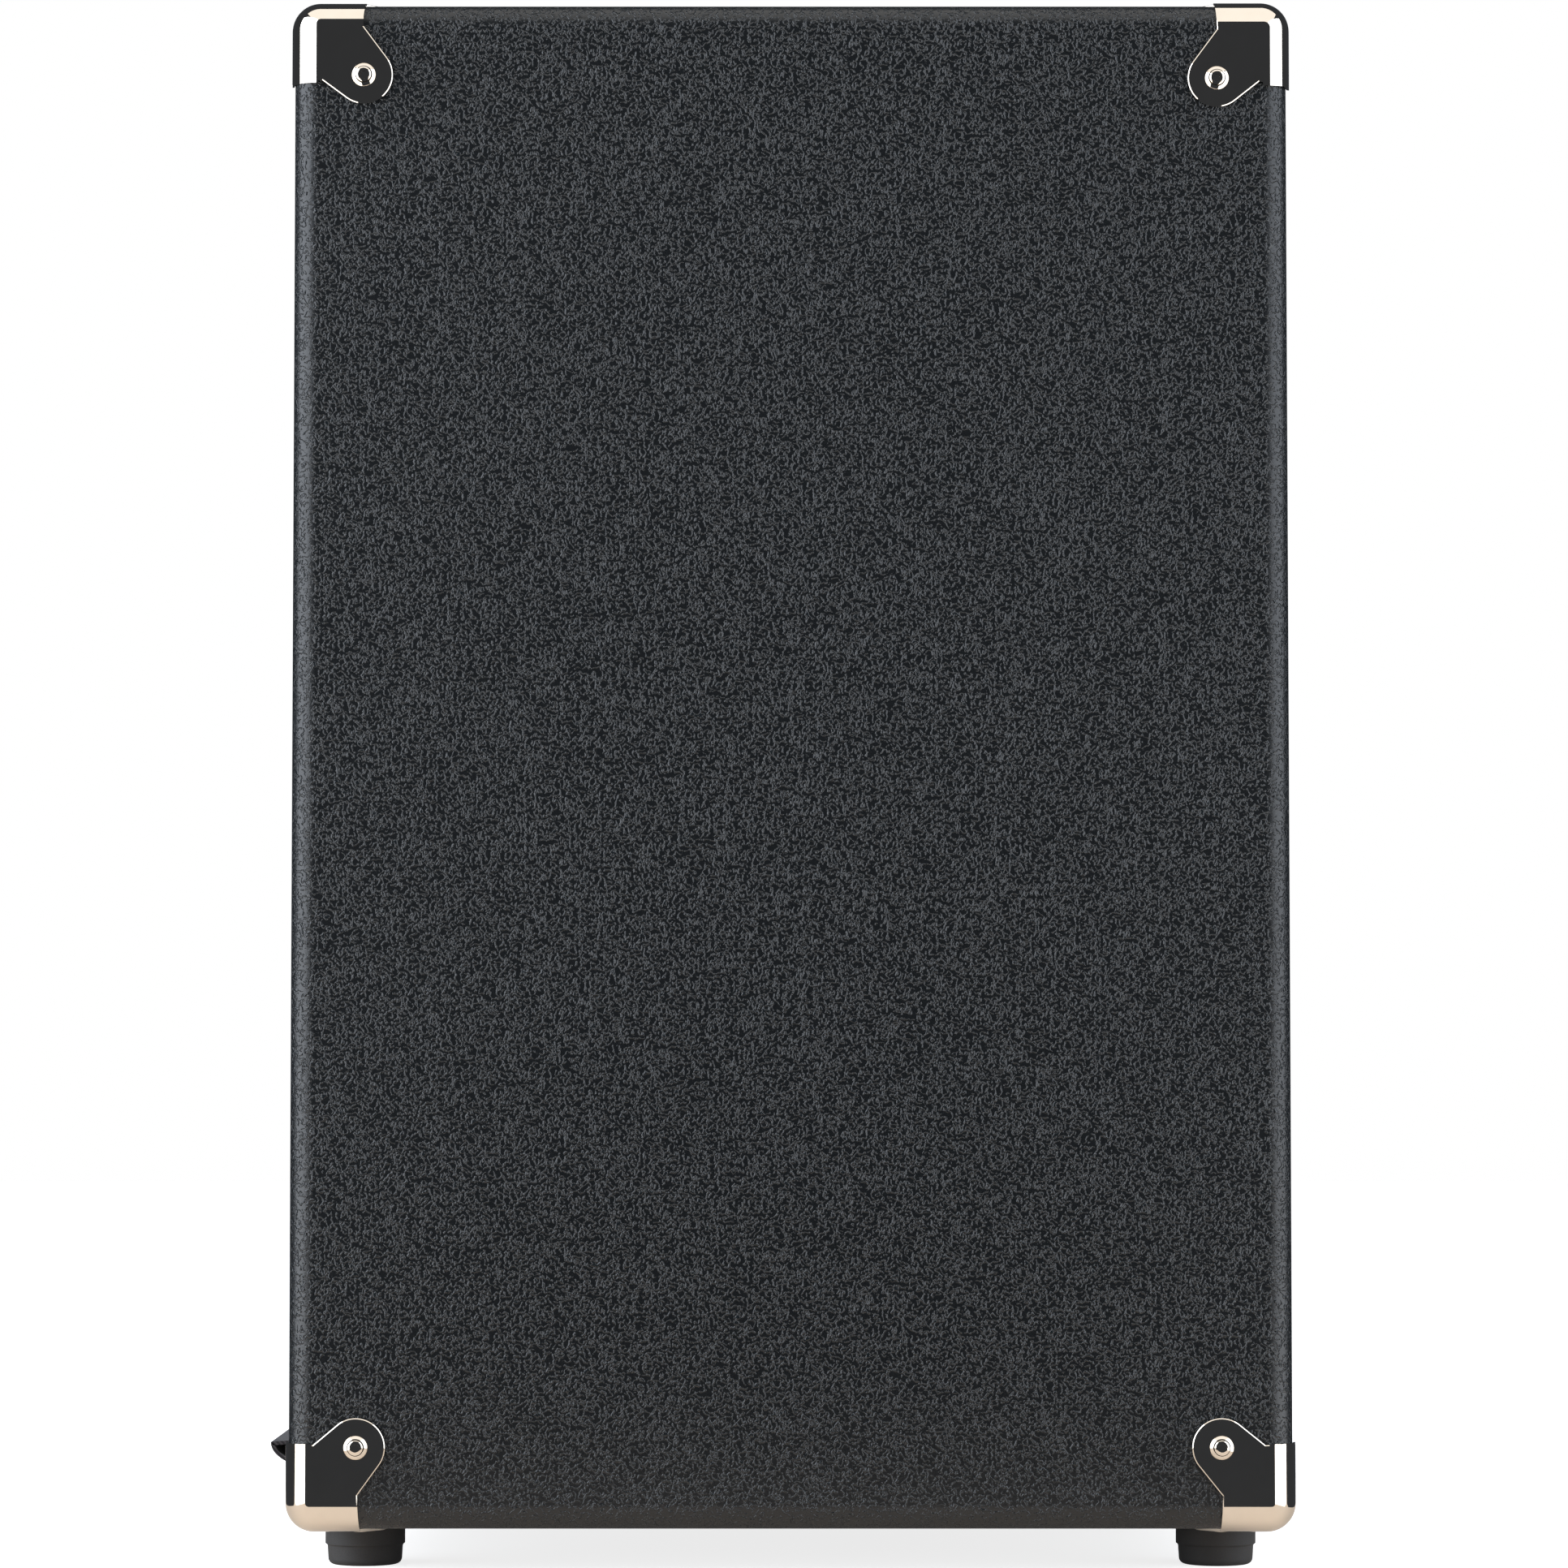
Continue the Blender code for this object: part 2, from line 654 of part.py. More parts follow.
def lobed_outline(shape, margin):
    """Give one face of a corner protector: two legs and the round lobe that takes the screw.

    Pairs are the distances from the cabinet's corner along the two edges. The second edge is
    the one that the shape's own leg runs along.
    """
    radius = CORNER_LOBE_RADIUS
    points = [(-margin, -margin), (CORNER_LEG_ALONG, -margin), (CORNER_LEG_ALONG - CORNER_LEG_TAPER, shape.depth)]
    for step in range(CORNER_LOBE_STEPS + 1):
        angle = math.radians(CORNER_LOBE_START_DEGREES + CORNER_LOBE_SWEEP_DEGREES * step / CORNER_LOBE_STEPS)
        points.append((CORNER_LOBE_IN + radius * math.cos(angle), shape.lobe + radius * math.sin(angle)))
    points += [(CORNER_LEG_WIDTH, shape.leg - shape.taper), (-margin, shape.leg)]
    return points


def rounded_corner_block(offset, reach):
    """Give a block whose corner lies outside the cabinet's corner by the offset, rounded like it."""
    shape = bmesh.new()
    add_box(shape, (-offset, -offset, -offset), (reach, reach, reach))
    tip = Vector((-offset, -offset, -offset))
    rounded = [e for e in shape.edges if any((vert.co - tip).length < SEAT_GAP / 10 for vert in e.verts)]
    bevel(shape, rounded, ROUND_OVER + offset, ROUND_STEPS)
    return shape


def corner_mesh(shape):
    """Give the mesh of one protector in the corner's own frame, with all three axes pointing inwards."""
    reach = shape.lobe + 2 * CORNER_LOBE_RADIUS
    outside = helper("corner_outside", rounded_corner_block(CORNER_PROUD, reach))
    inside = helper("corner_inside", rounded_corner_block(SEAT_GAP, 1.3 * reach))
    side_margin = CORNER_CUT_MARGIN
    flat_margin = side_margin + SEAT_GAP
    margin = flat_margin + SEAT_GAP
    side_face = lobed_outline(shape, side_margin)
    flat_shape = CornerShape(CORNER_LEG_ALONG, CORNER_LEG_TAPER, CORNER_LOBE_IN, CORNER_LEG_WIDTH)
    flat_face = lobed_outline(flat_shape, flat_margin)
    band = CORNER_FRONT_BAND
    tip = CORNER_LEG_WIDTH * 0.1
    front_face = [(-margin, -margin), (CORNER_LEG_ALONG, -margin), (CORNER_LEG_ALONG - tip, band)]
    front_face += [(band, band), (band, shape.leg - 2 * tip), (-margin, shape.leg)]
    kept = helper("corner_kept_side", bar(side_face, 0, -side_margin, ROUND_OVER))
    combine(kept, helper("corner_kept_flat", bar(flat_face, 2, -flat_margin, ROUND_OVER)), "UNION")
    combine(kept, helper("corner_kept_front", bar(front_face, 1, -margin, ROUND_OVER)), "UNION")
    combine(outside, inside, "DIFFERENCE")
    combine(outside, kept, "INTERSECT")
    return evaluated_mesh(outside)


def make_corners(nickel):
    """Make the eight corner protectors: the top ones mirrored from one, the bottom ones from another."""
    top = (OUTER_TOP, -1, corner_mesh(TOP_CORNER))
    bottom = (OUTER_BOTTOM, 1, corner_mesh(BOTTOM_CORNER))
    for end, depth in (("front", -1), ("back", 1)):
        for level, (height, up, pattern) in (("top", top), ("bottom", bottom)):
            for hand, side in (("left", -1), ("right", 1)):
                mesh = pattern.copy()
                mesh.transform(Matrix.Diagonal((-side, -depth, up, 1.0)))
                if side * depth * up < 0:
                    mesh.flip_normals()
                place = (side * HALF_WIDTH, depth * BACK, height)
                solid(f"corner_{end}_{level}_{hand}", mesh, nickel, place)


def make_grille(wood, cloth, webbing):
    """Make the grille that pulls off: its frame with four studs, the cloth and the pull tab."""
    half_width = INNER_HALF_WIDTH - GRILLE_SIDE_CLEARANCE - CLOTH_THICKNESS - SEAT_GAP
    low = INNER_BOTTOM + 3 * SEAT_GAP + 2 * TAB_WEB + CLOTH_THICKNESS
    high = SHELF_BOTTOM - GRILLE_SIDE_CLEARANCE - CLOTH_THICKNESS - SEAT_GAP
    middle = (low + high) / 2
    half_height = (high - low) / 2
    cloth_front = FRONT + GRILLE_RECESS
    front = cloth_front + CLOTH_THICKNESS + SEAT_GAP
    back = front + GRILLE_FRAME_THICKNESS
    place = (0.0, front, middle)
    thickness = back - front
    outer = rectangle(half_width, half_height, GRILLE_CORNER_RADIUS, 3)
    frame = solid("grille_frame", bar(outer, 1, 0.0, thickness), wood, place)
    window = rectangle(half_width - GRILLE_BAR, half_height - GRILLE_BAR, GRILLE_CORNER_RADIUS, 3)
    cutter = bar(window, 1, -thickness, 2 * thickness)
    combine(frame, helper("grille_window", cutter, place), "DIFFERENCE")
    studs = bmesh.new()
    stud_end = BAFFLE_FRONT - SEAT_GAP - front
    for side in (-1, 1):
        for up in (-1, 1):
            centre = (side * (half_width - GRILLE_STUD_INSET), up * (half_height - GRILLE_STUD_INSET))
            add_bar(studs, circle(GRILLE_STUD_RADIUS, CONTROL_SIDES, centre), 1, thickness / 2, stud_end)
    combine(frame, helper("grille_studs", studs, place), "UNION")
    make_cloth(cloth, half_width, half_height, place)
    make_pull_tab(webbing, low, place)


def make_cloth(cloth, half_width, half_height, place):
    """Make the cloth stretched over the frame, with its edges turned back along the sides.

    The bottom edge stays open, where the pull tab comes out.
    """
    skin = CLOTH_THICKNESS
    reach = SEAT_GAP + skin
    sheet = rectangle(half_width + reach, half_height + reach, GRILLE_CORNER_RADIUS + reach, 3)
    piece = solid("grille_cloth", bar(sheet, 1, -reach, CLOTH_RETURN), cloth, place)
    gap = SEAT_GAP
    inner = rectangle(half_width + gap, half_height + gap, GRILLE_CORNER_RADIUS + gap, 3)
    combine(piece, helper("cloth_inside", bar(inner, 1, -gap, 2 * CLOTH_RETURN), place), "DIFFERENCE")


def tab_outline(top):
    """Give the outline of the webbing loop from the side, as (y, z) pairs.

    It runs out flat to its tip, hangs back in a belly and climbs the front of the bottom board.
    """
    heel = FRONT - SEAT_GAP
    tip = (FRONT - TAB_REACH, top - TAB_TIP_DROP)
    belly = (FRONT - TAB_REACH * 0.42, top - TAB_BELLY)
    rise = (heel, top - TAB_BELLY * 0.62)
    outline = [(heel, top), tip]
    fall = (tip[0] + TAB_WEB * 0.2, belly[1] + TAB_BELLY * 0.30)
    for start, pull, end in ((tip, fall, belly), (belly, (heel, belly[1]), rise)):
        for step in range(1, 5):
            outline.append(quadratic(start, pull, end, step / 4))
    return outline


def quadratic(start, pull, end, share):
    """Give a point on a curve between two ends, drawn towards a third point."""
    first = (1 - share) ** 2
    second = 2 * share * (1 - share)
    third = share**2
    return tuple(first * a + second * b + third * c for a, b, c in zip(start, pull, end))


def inset_outline(points, distance):
    """Move an outline inwards by a distance, corner by corner, less at a very sharp corner."""
    count = len(points)
    centre = Vector((sum(p[0] for p in points) / count, sum(p[1] for p in points) / count))
    moved = []
    sharpest = 0.55
    for index, point in enumerate(points):
        here = Vector(point)
        before = (here - Vector(points[index - 1])).normalized()
        after = (Vector(points[(index + 1) % count]) - here).normalized()
        normal = Vector((-(before + after).y, (before + after).x)).normalized()
        if normal.dot(centre - here) < 0:
            normal = -normal
        spread = max(abs(normal.dot(Vector((-before.y, before.x)))), sharpest)
        moved.append(tuple(here + normal * distance / spread))
    return moved


def make_pull_tab(webbing, low, place):
    """Make the pull tab: a wide loop of webbing with a tongue held under the frame."""
    top = low - CLOTH_THICKNESS - 2 * SEAT_GAP
    half = TAB_WIDTH / 2
    local = [(y - place[1], z - place[2]) for y, z in tab_outline(top)]
    tab = solid("grille_pull_tab", bar(local, 0, -half, half), webbing, place)
    hollow = inset_outline(local, TAB_WEB)
    combine(tab, helper("tab_hollow", bar(hollow, 0, -2 * half, 2 * half), place), "DIFFERENCE")
    high = local[0][1]
    heel = local[0][0]
    tongue = box((-half, heel - TAB_WEB / 2, high - 2 * TAB_WEB), (half, heel + TAB_TONGUE, high))
    combine(tab, helper("tab_tongue", tongue, place), "UNION")


def make_handle(rubber, steel):
    """Make the strap handle: two end caps screwed to the top, and the strap that lifts in them."""
    half = HANDLE_SPAN / 2
    base = OUTER_TOP + SEAT_GAP
    for name, side in (("handle_cap_left", -1), ("handle_cap_right", 1)):
        shape = box((-CAP_LENGTH / 2, -CAP_WIDTH / 2, 0.0), (CAP_LENGTH / 2, CAP_WIDTH / 2, CAP_HEIGHT))
        top_edges = [e for e in shape.edges if not all(vert.co.z < CAP_HEIGHT / 2 for vert in e.verts)]
        bevel(shape, top_edges, CAP_RADIUS, 3)
        cap = solid(name, shape, steel, (side * half, 0.0, base))
        slot_half = STRAP_WIDTH / 2 + STRAP_SLIDE_GAP
        slot_top = STRAP_END_HEIGHT + STRAP_THICKNESS + STRAP_SLIDE_GAP
        slot_low = STRAP_END_HEIGHT - STRAP_SLIDE_GAP
        inner_end = -side * CAP_LENGTH
        blind_end = side * (CAP_LENGTH / 2 - CAP_WALL)
        low = (min(inner_end, blind_end), -slot_half, slot_low)
        high = (max(inner_end, blind_end), slot_half, slot_top)
        slot = helper(f"{name}_slot", box(low, high), (side * half, 0.0, base))
        combine(cap, slot, "DIFFERENCE")
    solid("handle_strap", strap_shape(half), rubber, (0.0, 0.0, base))


def strap_shape(half):
    """Give the arched strap, flat where it runs into the caps."""
    flat = half - CAP_LENGTH / 2
    end = half + CAP_LENGTH / 2 - CAP_WALL - 2 * STRAP_SLIDE_GAP
    lower = [(-end, STRAP_END_HEIGHT)]
    upper = [(-end, STRAP_END_HEIGHT + STRAP_THICKNESS)]
    arch = STRAP_RISE - STRAP_END_HEIGHT - STRAP_THICKNESS
    for step in range(11):
        along_x = -flat + 2 * flat * step / 10
        rise = arch * math.sin(math.pi * step / 10)
        lower.append((along_x, STRAP_END_HEIGHT + rise))
        upper.append((along_x, STRAP_END_HEIGHT + STRAP_THICKNESS + rise))
    lower.append((end, STRAP_END_HEIGHT))
    upper.append((end, STRAP_END_HEIGHT + STRAP_THICKNESS))
    half_width = STRAP_WIDTH / 2
    shape = bar(lower + upper[::-1], 1, -half_width, half_width)
    sides = [e for e in shape.edges if not along(e, 1) and abs(e.verts[0].co.x) < flat * 1.01]
    sides = [e for e in sides if abs(e.verts[1].co.x) < flat * 1.01]
    bevel(shape, sides, STRAP_THICKNESS / 4, 1)
    return shape


def front_cutters():
    """Give the shape that makes every hole through the control panel."""
    cutter = bmesh.new()
    start = PANEL_FRONT - PANEL_RECESS
    stop = PANEL_BACK + PANEL_RECESS
    for x in KNOB_PLACES:
        add_bar(cutter, circle(BUSH_RADIUS + HOLE_CLEARANCE, CONTROL_SIDES, (x, KNOB_ROW)), 1, start, stop)
    for place in BUTTON_PLACES.values():
        add_bar(cutter, circle(BUTTON_RADIUS + HOLE_CLEARANCE, CONTROL_SIDES, place), 1, start, stop)
    jack_hole = JACK_BUSH_RADIUS + HOLE_CLEARANCE
    for x in (JACK_X, PHONES_X):
        add_bar(cutter, circle(jack_hole, CONTROL_SIDES, (x, KNOB_ROW)), 1, start, stop)
    lamp_hole = LAMP_RADIUS + HOLE_CLEARANCE
    add_bar(cutter, circle(lamp_hole, CONTROL_SIDES, (PHONES_X, BUTTON_ROW)), 1, start, stop)
    half_width = switch_half_width() + HOLE_CLEARANCE
    half_height = switch_half_height() + HOLE_CLEARANCE
    add_bar(cutter, rectangle(half_width, half_height, 0.0, 1, (SWITCH_X, KNOB_ROW)), 1, start, stop)
    return helper("front_holes", cutter)


def switch_half_width():
    """Give half the width of the power switch's housing."""
    return ROCKER_WIDTH / 2 + RUNNING_GAP + SWITCH_WALL


def switch_half_height():
    """Give half the height of the power switch's housing, which clears the rocker's swing."""
    swing = math.hypot(ROCKER_HALF_HEIGHT, ROCKER_FACE)
    return swing + RUNNING_GAP + SWITCH_WALL


def make_control_panel(aluminium):
    """Make the recessed aluminium control panel."""
    half = INNER_HALF_WIDTH - PANEL_GAP
    low = (-half, PANEL_FRONT, SHELF_TOP + SEAT_GAP)
    high = (half, PANEL_FRONT + PANEL_SHEET, INNER_TOP - SEAT_GAP)
    panel = solid("control_panel", box(low, high), aluminium)
    combine(panel, front_cutters(), "DIFFERENCE")


def inlet_x():
    """Give the place of the mains inlet, seen from the front."""
    return -CHASSIS_HALF_WIDTH + CONNECTOR_STEP


def make_chassis(steel):
    """Make the folded steel chassis, open at the top, with a low lip that takes the control panel."""
    half = CHASSIS_HALF_WIDTH
    low = (-half, CHASSIS_FRONT, SHELF_TOP + SEAT_GAP)
    high = (half, REAR_FACE, CHASSIS_TOP)
    chassis = solid("amp_chassis", box(low, high), steel)
    inner_low = (-half + CHASSIS_SHEET, CHASSIS_FRONT + CHASSIS_SHEET, CHASSIS_FLOOR)
    inner_high = (half - CHASSIS_SHEET, CHASSIS_REAR_INNER, CHASSIS_TOP + BOARD)
    combine(chassis, helper("chassis_inside", box(inner_low, inner_high)), "DIFFERENCE")
    front_low = (-half + CHASSIS_LIP, CHASSIS_FRONT - CHASSIS_SHEET, SHELF_TOP + CHASSIS_LIP)
    front_high = (half - CHASSIS_LIP, CHASSIS_FRONT + 2 * CHASSIS_SHEET, CHASSIS_TOP + BOARD / 2)
    combine(chassis, helper("chassis_mouth", box(front_low, front_high)), "DIFFERENCE")
    rear = bmesh.new()
    start = CHASSIS_REAR_INNER - CHASSIS_SHEET
    stop = BACK
    well_width, well_height = (size + HOLE_CLEARANCE for size in inlet_body_half())
    well = rectangle(well_width, well_height, 0.0, 1, (inlet_x(), PANEL_MIDDLE))
    add_bar(rear, well, 1, start, stop)
    xlr = (inlet_x() + CONNECTOR_STEP, PANEL_MIDDLE)
    add_bar(rear, circle(XLR_SHELL_RADIUS + HOLE_CLEARANCE, CONTROL_SIDES, xlr), 1, start, stop)
    jack = (inlet_x() + 2 * CONNECTOR_STEP, PANEL_MIDDLE)
    add_bar(rear, circle(JACK_BUSH_RADIUS + HOLE_CLEARANCE, CONTROL_SIDES, jack), 1, start, stop)
    for step in range(SINK_FINS):
        x = sink_x() + (step - (SINK_FINS - 1) / 2) * SINK_WIDTH / SINK_FINS
        slot = rectangle(SINK_FIN / 2, SINK_HEIGHT / 2, 0.0, 1, (x, PANEL_MIDDLE))
        add_bar(rear, slot, 1, start, stop)
    combine(chassis, helper("rear_holes", rear), "DIFFERENCE")


def knob_mesh():
    """Give one fluted knob with its skirt, its pointer and the shaft that turns in the pot."""
    top = -KNOB_LIFT - KNOB_HEIGHT
    skirt = -KNOB_LIFT - KNOB_SKIRT
    edge = KNOB_SKIRT / 4
    profile = [(0.0, top), (KNOB_GRIP_RADIUS - 3 * edge / 2, top)]
    profile += [(KNOB_GRIP_RADIUS - edge / 2, top + edge), (KNOB_GRIP_RADIUS, skirt - edge)]
    profile += [(KNOB_RADIUS, skirt + edge), (KNOB_RADIUS, -KNOB_LIFT), (SHAFT_RADIUS, -KNOB_LIFT)]
    profile += [(SHAFT_RADIUS, shaft_end()), (0.0, shaft_end())]
    shape = turned(profile, 1, KNOB_SIDES)
    for vert in shape.verts:
        radius = math.hypot(vert.co.x, vert.co.z)
        number = round(math.atan2(vert.co.z, vert.co.x) / (2 * math.pi / KNOB_SIDES))
        on_grip = vert.co.y < skirt - edge / 2 and radius > KNOB_GRIP_RADIUS - 2 * edge
        if on_grip and number % 2:
            share = (radius - KNOB_FLUTE) / radius
            vert.co.x *= share
            vert.co.z *= share
    knob = helper("knob_pattern", shape)
    pointer = box(
        (-KNOB_POINTER / 2, top - KNOB_POINTER / 2, KNOB_GRIP_RADIUS * 0.35),
        (KNOB_POINTER / 2, top + KNOB_POINTER, KNOB_GRIP_RADIUS - KNOB_FLUTE - 2 * edge),
    )
    combine(knob, helper("knob_pointer", pointer), "UNION")
    return evaluated_mesh(knob)


def shaft_end():
    """Give how far behind the panel's face a knob's shaft ends, in the pot's blind bore."""
    return PANEL_SHEET + SEAT_GAP + POT_DEPTH * 0.6


def make_knobs(plastic):
    """Make the row of knobs."""
    mesh = knob_mesh()
    for name, x in zip(KNOB_NAMES, KNOB_PLACES):
        solid(f"knob_{name}", mesh, plastic, (x, PANEL_FRONT, KNOB_ROW))


def make_preamp_board(green):
    """Make the front circuit board with the pots and the push switches that sit on it."""
    body_front = PANEL_BACK + SEAT_GAP
    board_front = body_front + POT_DEPTH
    half_height = PREAMP_BOARD_HEIGHT / 2
    low = (FIRST_KNOB_X - PANEL_GROUP_STEP - SWITCH_BODY, board_front, PANEL_MIDDLE - half_height)
    high = (KNOB_PLACES[-1] + POT_RADIUS * 2, board_front + BOARD_SHEET, PANEL_MIDDLE + half_height)
    board = solid("preamp_board", box(low, high), green)
    bore = SHAFT_RADIUS + RUNNING_GAP
    bore_end = PANEL_FRONT + shaft_end() + RUNNING_GAP
    bush_front = PANEL_FRONT - BUSH_PROUD
    sunk = board_front + BOARD_SHEET / 2
    pot = [(0.0, bore_end), (bore, bore_end), (bore, bush_front), (BUSH_RADIUS, bush_front)]
    pot += [(BUSH_RADIUS, body_front), (POT_RADIUS, body_front), (POT_RADIUS, sunk), (0.0, sunk)]
    parts = bmesh.new()
    for x in KNOB_PLACES:
        add_turned(parts, pot, 1, POT_SIDES, place=(x, 0.0, KNOB_ROW))
    stem = BUTTON_STEM_RADIUS + RUNNING_GAP
    switch_front = button_stem_end() - BUTTON_STEM_IN_SWITCH
    bore_end = button_stem_end() + BUTTON_TRAVEL + RUNNING_GAP
    half = SWITCH_BODY / 2
    switch = [(0.0, bore_end), (stem, bore_end), (stem, switch_front)]
    switch += [(half, switch_front), (half, sunk), (0.0, sunk)]
    for x, z in BUTTON_PLACES.values():
        add_turned(parts, switch, 1, POT_SIDES, place=(x, 0.0, z))
    combine(board, helper("board_parts", parts), "UNION")


def button_stem_end():
    """Give how far back the stem of a push button reaches while it is up."""
    return PANEL_BACK + SEAT_GAP + POT_DEPTH - BUTTON_TRAVEL - 2 * RUNNING_GAP


def make_buttons(plastic):
    """Make the push buttons: a round cap in the panel and a stem in the switch behind."""
    front = -BUTTON_PROUD
    back = front + BUTTON_LENGTH
    end = button_stem_end() - PANEL_FRONT
    edge = BUTTON_RADIUS / 6
    profile = [(0.0, front), (BUTTON_RADIUS - edge, front), (BUTTON_RADIUS, front + edge)]
    profile += [(BUTTON_RADIUS, back), (BUTTON_STEM_RADIUS, back), (BUTTON_STEM_RADIUS, end), (0.0, end)]
    for name, (x, z) in BUTTON_PLACES.items():
        solid(name, turned(profile, 1, CONTROL_SIDES), plastic, (x, PANEL_FRONT, z))


def make_power_switch(plastic):
    """Make the power switch: a snap-in housing with a bezel, and the rocker that tilts in it."""
    half_width = switch_half_width()
    half_height = switch_half_height()
    place = (SWITCH_X, PANEL_FRONT, KNOB_ROW)
    rim_front = -SEAT_GAP - SWITCH_RIM
    housing = bar(rectangle(half_width, half_height, 0.0, 1), 1, rim_front + SWITCH_RIM / 2, SWITCH_DEPTH)
    body = solid("power_switch_frame", housing, plastic, place)
    rim_half = (ROCKER_WIDTH / 2 + RUNNING_GAP + SWITCH_BEZEL, half_height - SWITCH_WALL + SWITCH_BEZEL)
    rim = bar(rectangle(rim_half[0], rim_half[1], SWITCH_WALL, 3), 1, rim_front, -SEAT_GAP)
    combine(body, helper("switch_rim", rim, place), "UNION")
    cavity = rectangle(half_width - SWITCH_WALL, half_height - SWITCH_WALL, 0.0, 1)
    well = bar(cavity, 1, 2 * rim_front, SWITCH_DEPTH - SWITCH_WALL)
    combine(body, helper("switch_well", well, place), "DIFFERENCE")
    reach = ROCKER_HALF_HEIGHT
    outline = [(-ROCKER_FACE, -reach), (-ROCKER_FACE * 0.62, 0.0), (-ROCKER_FACE, reach)]
    outline += [(ROCKER_FACE * 0.5, reach * 0.8), (ROCKER_FACE, 0.0), (ROCKER_FACE * 0.5, -reach * 0.8)]
    rocker = bar(outline, 0, -ROCKER_WIDTH / 2, ROCKER_WIDTH / 2)
    bmesh.ops.rotate(rocker, verts=rocker.verts, matrix=Matrix.Rotation(-ROCKER_TILT, 3, "X"))
    solid("power_rocker", rocker, plastic, (SWITCH_X, PANEL_FRONT - SWITCH_RIM, KNOB_ROW))


def make_lamp(glass):
    """Make the power lamp's lens."""
    seat = -SEAT_GAP
    rim = LAMP_RADIUS + LAMP_RIM
    back = PANEL_SHEET + 2 * LAMP_RIM
    profile = [(0.0, seat - LAMP_RADIUS * 0.75)]
    dome = LAMP_RADIUS * 0.75 - LAMP_RIM / 2
    for step in range(1, 3):
        angle = math.pi / 2 * step / 3
        profile.append((LAMP_RADIUS * math.sin(angle), seat - LAMP_RIM / 2 - dome * math.cos(angle)))
    profile += [(LAMP_RADIUS, seat - LAMP_RIM / 2), (rim, seat - LAMP_RIM / 2), (rim, seat)]
    profile += [(LAMP_RADIUS, seat), (LAMP_RADIUS, back), (0.0, back)]
    solid("power_lamp", turned(profile, 1, CONTROL_SIDES), glass, (PHONES_X, PANEL_FRONT, BUTTON_ROW))


def make_jack(name, plastic, place, facing, wall):
    """Make a jack socket: hexagon nut and bush outside the wall, body and blind bore behind.

    Facing is -1 for a socket that opens to the front and 1 for one that opens to the back.
    """
    outer_face = facing * SEAT_GAP
    nut_front = outer_face + facing * JACK_NUT_HEIGHT
    bush_front = nut_front + facing * JACK_NUT_HEIGHT / 2
    inner_face = -facing * (wall + SEAT_GAP)
    body_end = inner_face - facing * JACK_BODY_LENGTH
    bore_end = body_end + facing * JACK_WALL_BEHIND
    half = JACK_BODY / 2
    body = solid(name, bar(rectangle(half, half, 0.0, 1), 1, inner_face, body_end), plastic, place)
    sunk = inner_face - facing * JACK_NUT_HEIGHT
    bush = bar(circle(JACK_BUSH_RADIUS, CONTROL_SIDES), 1, bush_front, sunk)
    nut = bar(circle(JACK_NUT_RADIUS, 6), 1, nut_front, outer_face)
    bore = bar(circle(JACK_BORE_RADIUS, CONTROL_SIDES), 1, bush_front + facing * JACK_NUT_HEIGHT, bore_end)
    combine(body, helper(f"{name}_bush", bush, place), "UNION")
    combine(body, helper(f"{name}_nut", nut, place), "UNION")
    combine(body, helper(f"{name}_bore", bore, place), "DIFFERENCE")


def inlet_body_half():
    """Give half the width and height of the inlet's body behind its flange."""
    return INLET_WELL_WIDTH / 2 + INLET_WALL, INLET_WELL_HEIGHT / 2 + INLET_WALL


def make_mains_inlet(plastic):
    """Make the mains inlet: flange, body, a well with chamfered corners and three blades."""
    place = (inlet_x(), REAR_FACE, PANEL_MIDDLE)
    half_width, half_height = inlet_body_half()
    flange = rectangle(INLET_WIDTH / 2, INLET_HEIGHT / 2, INLET_WALL, 3)
    inlet = solid("mains_inlet", bar(flange, 1, SEAT_GAP, SEAT_GAP + INLET_FLANGE), plastic, place)
    body_end = SEAT_GAP + INLET_FLANGE - INLET_WELL_DEPTH - INLET_WALL
    body = bar(rectangle(half_width, half_height, 0.0, 1), 1, body_end, SEAT_GAP + INLET_FLANGE / 2)
    combine(inlet, helper("inlet_body", body, place), "UNION")
    wide = INLET_WELL_WIDTH / 2
    tall = INLET_WELL_HEIGHT / 2
    chamfer = tall / 2
    well = [(-wide, -tall), (wide, -tall), (wide, tall - chamfer), (wide - chamfer, tall)]
    well += [(-wide + chamfer, tall), (-wide, tall - chamfer)]
    hollow = bar(well, 1, body_end + INLET_WALL, 2 * INLET_FLANGE)
    combine(inlet, helper("inlet_well", hollow, place), "DIFFERENCE")
    blades = bmesh.new()
    thin = INLET_WALL / 2
    for x, z in ((-wide / 2, -tall / 4), (0.0, tall / 4), (wide / 2, -tall / 4)):
        low = (x - thin, body_end + INLET_WALL / 2, z - INLET_WALL)
        add_box(blades, low, (x + thin, -INLET_WALL, z + INLET_WALL))
    combine(inlet, helper("inlet_blades", blades, place), "UNION")


